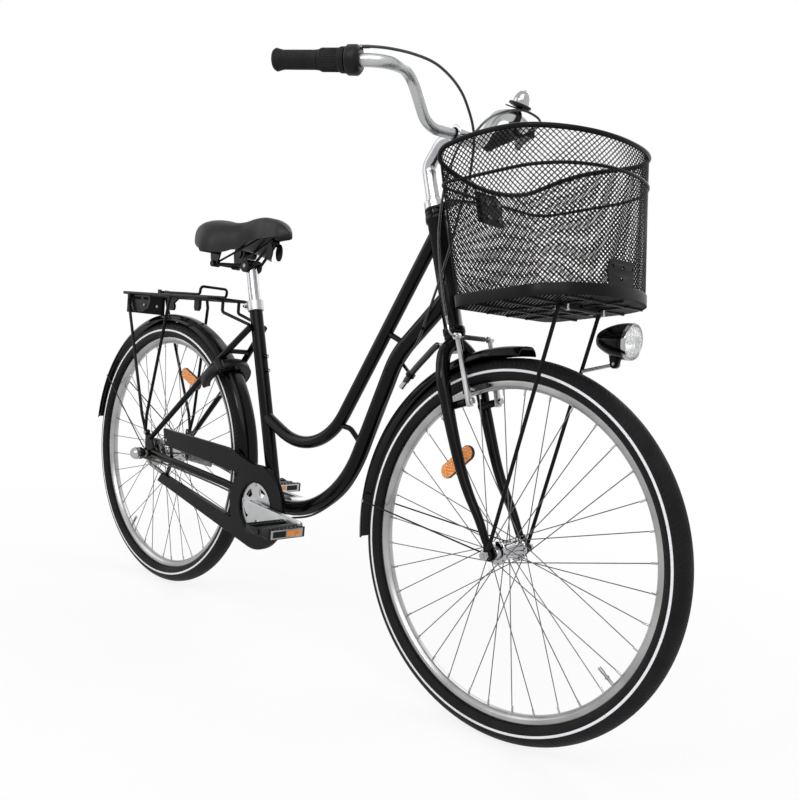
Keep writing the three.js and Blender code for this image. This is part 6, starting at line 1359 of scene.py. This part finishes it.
def roundedRing(x, halfY, halfZ, bend):
    ring = []
    for sy, sz, start in ((1, 1, 0), (-1, 1, 90), (-1, -1, 180), (1, -1, 270)):
        cy = sy * (halfY - bend)
        cz = rearLamp["z"] + sz * (halfZ - bend)
        ring += [Vector((x, y, z)) for y, z in arcPoints(cy, cz, bend, start, start + 90, 12)]
    return ring


lamp = newShape()
addRings(lamp, [roundedRing(*ring) for ring in rearLamp["case"]], 1)
addRings(lamp, [roundedRing(*ring) for ring in rearLamp["lens"]], 0)
skinOf("rear_lamp", lamp, "frame", [redLens, plastic], 40)

# Ring lock across the rear wheel
lockSize = {"radius": 54, "out": 335, "forward": 19.6, "open": 125, "shackle": 4.2, "knob": -6.25,
            "section": [(-10, -8), (-8, -10.6), (8, -10.6), (10, -8), (10, 8), (8, 10.6), (5.4, 11),
                        (4.8, 10), (-4.8, 10), (-5.4, 11), (-8, 10.6), (-10, 8)],
            "barrel": [(0, 29, 11, 32, 0), (29, 30, 8, 28, 1), (30, 30.4, 1.6, 12, 0)]}
foot = Vector((seatStay["foot"][0], 0, seatStay["foot"][2]))
lockOut = (seatAt(seatStay["top"]) - foot).normalized()
lockFront = Vector((lockOut.z, 0, -lockOut.x))
onStays = foot - lockOut * (foot - Vector(rearCentre)).dot(lockOut)
lockPlace = onStays + lockOut * lockSize["out"] + lockFront * lockSize["forward"]


def onLock(radius, angle, forward):
    angle = math.radians(angle)
    flat = lockOut * radius * math.cos(angle) + Vector(yAxis) * radius * math.sin(angle)
    return lockPlace + flat + lockFront * forward


lock = newShape()
rings = []
for i in range(101):
    a = -lockSize["open"] + 2.5 * i
    rings.append([onLock(lockSize["radius"] + r, a, f) for r, f in lockSize["section"]])
addRings(lock, rings)
barrelSpot = onLock(69.5, -45, -11)
for near, far, radius, sides, mat in lockSize["barrel"]:
    addRod(lock, barrelSpot + lockFront * near, barrelSpot + lockFront * far, radius, sides, mat)
skinOf("lock_body", lock, "frame", [plastic, steel], 50)
shackle = newShape()
bow = [onLock(lockSize["radius"], -lockSize["open"] + 125 * i / 50, 0) for i in range(51)]
addTube(shackle, bow, lockSize["shackle"], 16, 0, tuple(lockFront))
for span, radius, sides, mat in (((0, 16), 3, 16, 0), ((14, 18.4), 4, 20, 1)):
    ends = [onLock(lockSize["radius"], lockSize["knob"], forward) for forward in span]
    addRod(shackle, ends[0], ends[1], radius, sides, mat)
skinOf("lock_shackle", shackle, "shackle", [steel, plastic], 50)
print("carrier and lock ready")

# Basket of expanded metal between thick wires. Shares run from its rear to its nose
basketSize = {"half": 162, "rear": 1020, "front": 1310, "nose": 0.46, "corner": 34, "floor": 786,
              "floorRise": 39, "band": 19, "hoop": 992, "hoopRise": 33, "rim": 1013, "rimRise": 60,
              "rimCrown": 30, "steps": 180, "rearLean": 70, "sideLean": 9, "rimRadius": 4.3,
              "hoopRadius": 2.8}
meshSize = {"wires": 112, "rows": 44, "climb": 27, "wire": (1.2, 0.6), "inset": 0.6}
floorSize = {"from": 1090, "length": 251, "wireHeight": 787.4, "gap": 9, "radius": 1.1, "rods": (-60, 0, 60),
             "bars": (1150, 1200, 1250, 1300), "rodRadius": 2.2}
frontPlate = {"y": -27, "z": 862, "wide": 36, "high": 23, "hole": 3.2,
              "outline": [(-0.86, -1), (0.94, -1), (1, 0), (0.97, 0.82), (0.84, 1), (-0.7, 1), (-0.86, 0.8),
                          (-1, 0.1)],
              "holes": [(-0.7, 0.46), (0.04, 0.46), (0.78, 0.46), (-0.08, -0.33)]}
rearPad = {"outline": [(-31, 948), (31, 948), (31, 1000), (-31, 1000)], "hole": (-15, 990, 3, 12),
           "screwY": (-16, 16), "screwZ": (962, 988)}
plans = {}


def basketFloorAt(share, across=0):
    return basketSize["floor"] + basketSize["floorRise"] * share


def basketBandAt(share, across=0):
    return basketFloorAt(share) + basketSize["band"]


def basketHoopAt(share, across=0):
    return basketSize["hoop"] + basketSize["hoopRise"] * share


def basketRimAt(share, across):
    return (basketSize["rim"] + basketSize["rimRise"] * (1 - (1 - share) ** 3)
            + basketSize["rimCrown"] * across * across * (1 - share) ** 2)


def wallHeight(v):
    return lambda share, across: basketBandAt(share) * (1 - v) + basketRimAt(share, across) * v


def basketSides(outset):
    return basketSize["half"] + outset, basketSize["rear"] - outset, basketSize["front"] + outset


# The wall seen from above, and the lengths along it
def basketPlan(outset):
    half, rear, front = basketSides(outset)
    nose = (front - rear) * basketSize["nose"]
    corner = basketSize["corner"]
    points = []
    for k in range(241):
        a = -math.pi / 2 + math.pi * k / 240
        cx, cy = math.cos(a), math.sin(a)
        points.append((front - nose + nose * abs(cx) ** 0.9, half * math.copysign(abs(cy) ** 0.9, cy)))
    points += arcPoints(rear + corner, half - corner, corner, 90, 180, 20)
    points += arcPoints(rear + corner, corner - half, corner, 180, 270, 20)
    points.append(points[0])
    lengths = [0]
    for a, b in zip(points, points[1:]):
        lengths.append(lengths[-1] + math.hypot(b[0] - a[0], b[1] - a[1]))
    return points, np.array(lengths)


def basketPoint(t, outset, heightAt, raised=0):
    if outset not in plans:
        plans[outset] = basketPlan(outset)
    points, lengths = plans[outset]
    want = (t % 1) * lengths[-1]
    i = min(int(np.searchsorted(lengths, want, side="right")) - 1, len(points) - 2)
    s = (want - lengths[i]) / max(lengths[i + 1] - lengths[i], 1e-6)
    x = points[i][0] * (1 - s) + points[i + 1][0] * s
    y = points[i][1] * (1 - s) + points[i + 1][1] * s
    half, rear, front = basketSides(outset)
    share = (x - rear) / (front - rear)
    height = heightAt(share, y / half) + raised
    rimHeight = basketRimAt(share, y / half)
    down = (rimHeight - height) / (rimHeight - basketFloorAt(share))
    lean = basketSize["rearLean"] - basketSize["floorRise"] * share
    return Vector((x + lean * down, y * (1 - basketSize["sideLean"] / basketSize["half"] * down), height))


def basketRing(outset, heightAt, raised=0, steps=basketSize["steps"]):
    return [basketPoint(i / steps, outset, heightAt, raised) for i in range(steps)]


basket = newShape()
addTube(basket, basketRing(0, basketRimAt), basketSize["rimRadius"], 16, 1, zAxis, True)
addTube(basket, basketRing(0, basketHoopAt), basketSize["hoopRadius"], 16, 1, zAxis, True)
bandRings = [(2.4, basketFloorAt, 0), (2.4, basketBandAt, -1), (1.6, basketBandAt, 0.6),
             (0.2, basketBandAt, 0.6), (0.2, basketFloorAt, 2.4)]
addRings(basket, [basketRing(*ring) for ring in bandRings], 1, False, True, False)
print("basket frame ready")
basketMesh = newShape()
for i in range(meshSize["wires"]):
    for lean in (right, left):
        path = []
        for k in range(meshSize["rows"] + 1):
            v = k / meshSize["rows"]
            t = (i + lean * meshSize["climb"] * v) / meshSize["wires"]
            path.append(basketPoint(t, -meshSize["inset"] + 0.3 * lean, wallHeight(v)))
        addTube(basketMesh, path, meshSize["wire"], 4, 0, zAxis, caps=False)
floorEdge = sorted((p.x, p.y) for p in basketRing(0, basketFloorAt, 0, 360) if p.y > 0)
edgeX = [p[0] for p in floorEdge]
edgeY = [p[1] for p in floorEdge]


def floorZ(x):
    return floorSize["wireHeight"] + basketSize["floorRise"] * (x - floorSize["from"]) / floorSize["length"]


for lean in (right, left):
    for i in range(-48, 49):
        inside = []
        for k in range(160):
            x = 1092 + 248 * k / 159
            y = lean * (x - 1216) + i * floorSize["gap"]
            if edgeX[0] < x < edgeX[-1] and abs(y) < np.interp(x, edgeX, edgeY):
                inside.append(Vector((x, y, floorZ(x) + 0.4 * lean)))
        if len(inside) > 2:
            addTube(basketMesh, [inside[0], inside[-1]], floorSize["radius"], 4, 0, zAxis, caps=False)
wirework = newShape()
for y in floorSize["rods"]:
    nose = 1330 - abs(y) * 0.35
    rod = [(x, y, floorZ(x) - 2.6) for x in (1098, nose)]
    addTube(wirework, rod, floorSize["rodRadius"], 12)
for x in floorSize["bars"]:
    reachY = float(np.interp(x, edgeX, edgeY))
    crossRod(wirework, x, floorZ(x) - 2.4, -reachY, reachY, floorSize["rodRadius"], 12)
build(basketMesh, "basket_mesh", "steering", [satinBlack], ["basket"], 60)
build(basket, "basket_frame", "steering", [satinBlack, satinBlack], (), 50)
build(wirework, "basket_floor_wires", "steering", [satinBlack], (), 50)

# Bare plates on the nose and on the rear wall
wall = np.array([basketPoint(i / 720, 0.5, wallHeight(k / 60))[:] for i in range(720) for k in range(61)])
wall = wall[wall[:, 0] > 1200]


def wallX(y, z):
    return float(wall[np.argmin((wall[:, 1] - y) ** 2 + (wall[:, 2] - z) ** 2), 0])


def onFrontPlate(y, z):
    return frontPlate["y"] + frontPlate["wide"] * y, frontPlate["z"] + frontPlate["high"] * z


def rearWallX(z):
    return basketSize["rear"] + basketSize["rearLean"] / 227 * (basketSize["rim"] - z)


plate = newShape()
flat = newShape()
holes = [circlePoints(*onFrontPlate(y, z), frontPlate["hole"], 16) for y, z in frontPlate["holes"]]
addPlate(flat, [onFrontPlate(y, z) for y, z in frontPlate["outline"]], 0, 2, holes)
laid = [Vector((wallX(v.x, v.z) + 0.6 + v.y, v.x, v.z)) for v in flat["verts"]]
addFaces(plate, laid, flat["faces"], 0, False)
pad = newShape()
addPlate(pad, rearPad["outline"], 0, 2, [circlePoints(*rearPad["hole"])])
addFaces(plate, [Vector((rearWallX(v.z) + 4 + v.y, v.x, v.z)) for v in pad["verts"]], pad["faces"], 0, False)
for y in rearPad["screwY"]:
    for z in rearPad["screwZ"]:
        x = rearWallX(z) + 5
        addRod(plate, (x, y, z), (x + 5, y, z), 4.6, 6, 1)
        addRod(plate, (x + 5, y, z), (x + 8, y, z), 2.6, 12, 1)
build(plate, "basket_plates", "steering", [plastic, chrome], (), 45)
smoothCopy("basket_bracket", satinBlack, 35, bevel=0.6)

# Stays from the axle to the basket's floor, with the lamp's arm
staySize = {"x": 1250, "y": 66, "footY": 55 + 0.6 + 3 + 4, "below": 4.9, "radius": 3.6, "barRadius": 4,
            "eye": [(5.6, -3.6), (9, -3.6), (9, 3.6), (5.6, 3.6)], "boltX": (1238, 1262), "boltY": 58,
            "armHeight": 700}
pivot = Vector((1296, 60, 719))
stays = newShape()
topZ = basketFloorAt((staySize["x"] - floorSize["from"]) / floorSize["length"]) - staySize["below"]
crossRod(stays, staySize["x"], topZ, -staySize["y"], staySize["y"], staySize["barRadius"], 20)
for side in (right, left):
    foot = Vector((wheelBase, side * staySize["footY"], axleHeight))
    top = Vector((staySize["x"], side * staySize["y"], topZ))
    flatWay = Vector((top.x - foot.x, 0, top.z - foot.z)).normalized()
    addTube(stays, [foot + flatWay * 7.2, top], staySize["radius"], 20)
    addLathe(stays, staySize["eye"], foot, yAxis, 32, closed=True)
    y = side * staySize["boltY"]
    for x in staySize["boltX"]:
        addRod(stays, (x, y, topZ - 5), (x, y, topZ + 4), 2.4, 12, 1)
        addRod(stays, (x, y, topZ - 6.5), (x, y, topZ - 3.5), 4.4, 6, 1)
lowStay = Vector((wheelBase, staySize["footY"], axleHeight))
highStay = Vector((staySize["x"], staySize["y"], topZ))
onStay = lowStay.lerp(highStay, (staySize["armHeight"] - axleHeight) / (topZ - axleHeight))
addRod(stays, onStay, (pivot.x, pivot.y + 6.9, pivot.z), 3.4, 20, 1)
crossRod(stays, pivot.x, pivot.z, pivot.y + 3.3, pivot.y + 6.9, 8, 28, 1)
crossRod(stays, pivot.x, pivot.z, pivot.y - 5, pivot.y + 6.9, 3, 16, 1)
skinOf("basket_stays", stays, "steering", [satinBlack, chrome], 45)
print("basket ready")

# Headlamp with its chrome ring, reflector and clear lens
lampSize = {"tail": (1259, 60, 759), "radius": 32, "length": 61, "segments": 72, "bowl": 28.4, "depth": 34,
            "ring": [(30.8, 60), (32, 60.6), (32, 67), (31.4, 68), (29.4, 68.4), (28.8, 67.4)],
            "lensBack": [(0, 71.4), (14, 70.4), (24, 67.6), (28, 65.2), (28.4, 66.6)]}
tail = Vector(lampSize["tail"])
around = lampSize["segments"]
bowl = lampSize["bowl"]
shellProfile = [(0, 0), (9, 0)]
for i in range(1, 29):
    t = i / 28
    swell = 0.34 + 0.66 * math.sin(t * math.pi / 2) ** 0.72
    shellProfile.append((lampSize["radius"] * swell, lampSize["length"] * t))
shell = newShape()
addLathe(shell, shellProfile + [(31, lampSize["length"])], tail, xAxis, around)
addLathe(shell, lampSize["ring"], tail, xAxis, around, 1)
quarters = [math.pi / 2 * k / 16 for k in range(17)]
bowlProfile = [(28.6, 67)] + [(bowl * math.cos(a), 66 - lampSize["depth"] * math.sin(a)) for a in quarters]
addLathe(shell, bowlProfile, tail, xAxis, around, 2)
addRod(shell, tail + Vector((33, 0, 0)), tail + Vector((50, 0, 0)), 4, 20, 1)
ear = arcPoints(pivot.x, pivot.z, 8, 180, 360, 20) + [(pivot.x + 12, 733.4), (pivot.x - 12, 733.4)]
addPlate(shell, ear, 57, 63, [circlePoints(pivot.x, pivot.z, 3.6, 16)])
skinOf("lamp_shell", shell, "headlamp", [gloss, chrome, mirror], 45)
lens = newShape()
quarters = [math.pi / 2 * k / 14 for k in range(15)]
lensProfile = [(bowl, 66.6)] + [(bowl * math.cos(a), 67 + 6.6 * math.sin(a)) for a in quarters]
addLathe(lens, lensProfile + lampSize["lensBack"], tail, xAxis, around)
skinOf("lamp_lens", lens, "headlamp", [glass], 60)

# Cables in their smooth sleeves, along the routes that their clips hold. Where the fork turns, a piece bends
# between two bodies, from one place to another
cables = {
    "brake_cable": {"body": "steering", "route": [
        (920, 246.4, 1191), (948, 232, 1191), (966, 218, 1193), (969, 204, 1199), (964, 188, 1204),
        (957, 172, 1207), (951, 152, 1204), (947, 130, 1197), (945, 107, 1187), (950, 76, 1172),
        (960, 41, 1150), (967, 10, 1125), (971, -18, 1109), (972, -38, 1087), (969, -47, 1062),
        (966, -52, 1037), (964, -58, 1000), (964, -60, 930), (973, -61, 880), (988, -63, 830),
        (1007.5, -66, 777.1)]},
    "gear_cable_front": {"body": ("frame", "steering", (912, -18, 757), (984, -27, 985)), "route": [
        (903.5, -235.6, 1213), (921, -223, 1214), (939, -200, 1215), (963, -170, 1212), (986, -140, 1203),
        (1002, -114, 1186), (1011, -90, 1165), (1013, -68, 1140), (1012, -50, 1115), (1008, -38, 1090),
        (1002, -31, 1060), (996, -27, 1028), (984, -27, 985), (972, -29, 920), (955, -28, 860),
        (934, -26, 800), (912, -18, 755)]},
    "gear_cable_rear": {"body": "frame", "route": [
        (909, -17, 749), (890, -9, 722), (871, -6, 700), (850, -6, 669), (832, -6, 622), (811, -6, 576),
        (796, -6, 533), (779, -6, 482), (758, -6, 437), (726, -6, 390), (678, -6, 348), (617, -6, 310),
        (556, -7, 291), (500, -12, 280), (472, -17, 280), (450, -23, 287), (425, -30, 299), (380, -36, 309),
        (325, -40.5, 318), (250, -48, 326.5), (180, -55.5, 333.5), (130, -61, 338.5), (90, -67, 341),
        (50, -80, 345), (17, -94, 350)]},
}
damperSize = {"bodies": ("frame", "steering", (880, 0, 664), (955, 0, 724)), "rod": 2.5, "spring": 6.5,
              "coils": 700}
for name, c in cables.items():
    cable = newShape()
    path = smoothPath(c["route"], 9 * (len(c["route"]) - 1))
    addTube(cable, path, lambda share: 2.5 if 0.02 < share < 0.98 else 3, 16, 0, (0, 0.2, 1))
    skinOf(name, cable, c["body"], [sleeve])


def damperRadius(share):
    if share < 0.15:
        return damperSize["rod"]
    if share < 0.18:
        return damperSize["rod"] + 4 * (share - 0.15) / 0.03
    if share < 0.885:
        return damperSize["spring"] + 0.12 * math.sin(share * damperSize["coils"])
    return 6 if share < 0.9 else 5.6


damper = newShape()
addTube(damper, smoothPath(damperPath, 400), damperRadius, 28)
damperSkin = skinOf("damper_spring", damper, damperSize["bodies"], [sleeve, chrome], 50)
paintPart(damperSkin, 1, lambda p: p.x > 944 or p.z < 640)
print("lamp and cables ready")

# Floor, light and camera
studio = {
    "floor": 60, "worldStrength": 0.56,
    "key_light": {"place": (2.2, -2.6, 3.4), "aim": (0, 0, 0.5), "size": 3, "power": 66},
    "fill_light": {"place": (-3, -2.2, 2.2), "aim": (0, 0, 0.5), "size": 3, "power": 34},
    "back_light": {"place": (-0.5, 3, 3), "aim": (0, 0, 0.5), "size": 3, "power": 44},
    "strip_light": {"place": (0.6, -3.2, 2.4), "aim": (0, 0, 0.6), "size": 0.6, "power": 18},
}
bpy.ops.object.select_all(action="DESELECT")
bpy.ops.mesh.primitive_plane_add(size=studio["floor"], location=(0, 0, -0.0005))
floor = bpy.context.object
floor.name = "studio_floor"
floor.data.materials.append(floorMat)
world = bpy.data.worlds.new("studio_air")
bpy.context.scene.world = world
world.use_nodes = True
air = world.node_tree
backing = air.nodes["Background"]
bright = air.nodes.new("ShaderNodeBackground")
for node, strength in ((backing, studio["worldStrength"]), (bright, 1)):
    node.inputs["Color"].default_value = (1, 1, 1, 1)
    node.inputs["Strength"].default_value = strength
blendAir = air.nodes.new("ShaderNodeMixShader")
air.links.new(seenRays(air), blendAir.inputs[0])
air.links.new(backing.outputs[0], blendAir.inputs[1])
air.links.new(bright.outputs[0], blendAir.inputs[2])
air.links.new(blendAir.outputs[0], air.nodes["World Output"].inputs["Surface"])
for name in ("key_light", "fill_light", "back_light", "strip_light"):
    lightSize = studio[name]
    lightData = bpy.data.lights.new(name, "AREA")
    lightData.energy = lightSize["power"]
    lightData.size = lightSize["size"]
    light = bpy.data.objects.new(name, lightData)
    light.location = lightSize["place"]
    toward = Vector(lightSize["aim"]) - Vector(lightSize["place"])
    light.rotation_euler = toward.to_track_quat("-Z", "Y").to_euler()
    bpy.context.scene.collection.objects.link(light)
view = {"place": (2040.05, -1270.95, 718.72), "yaw": 132.35, "pitch": -7.86, "roll": 5.72, "focal": 845,
        "middle": (404.8, 460.5), "image": (799, 800), "sensor": 36}
yaw, pitch, roll = (math.radians(view[k]) for k in ("yaw", "pitch", "roll"))
look = Vector((math.cos(pitch) * math.cos(yaw), math.cos(pitch) * math.sin(yaw), math.sin(pitch)))
flatRight = look.cross(Vector(zAxis)).normalized()
flatUp = flatRight.cross(look)
sideways = flatRight * math.cos(roll) + flatUp * math.sin(roll)
upwards = flatUp * math.cos(roll) - flatRight * math.sin(roll)
cameraData = bpy.data.cameras.new("photo_view")
wide, high = view["image"]
cameraData.sensor_width = view["sensor"]
cameraData.lens = view["focal"] * view["sensor"] / high
cameraData.shift_x = (wide / 2 - view["middle"][0]) / high
cameraData.shift_y = (view["middle"][1] - high / 2) / high
cameraData.clip_end = 200
camera = bpy.data.objects.new("photo_view", cameraData)
turned = Matrix((sideways, upwards, -look)).transposed().to_4x4()
camera.matrix_world = Matrix.Translation(row(view["place"])) @ turned
bpy.context.scene.collection.objects.link(camera)
bpy.context.scene.camera = camera
bpy.context.scene.view_settings.view_transform = "Standard"
print("studio ready")
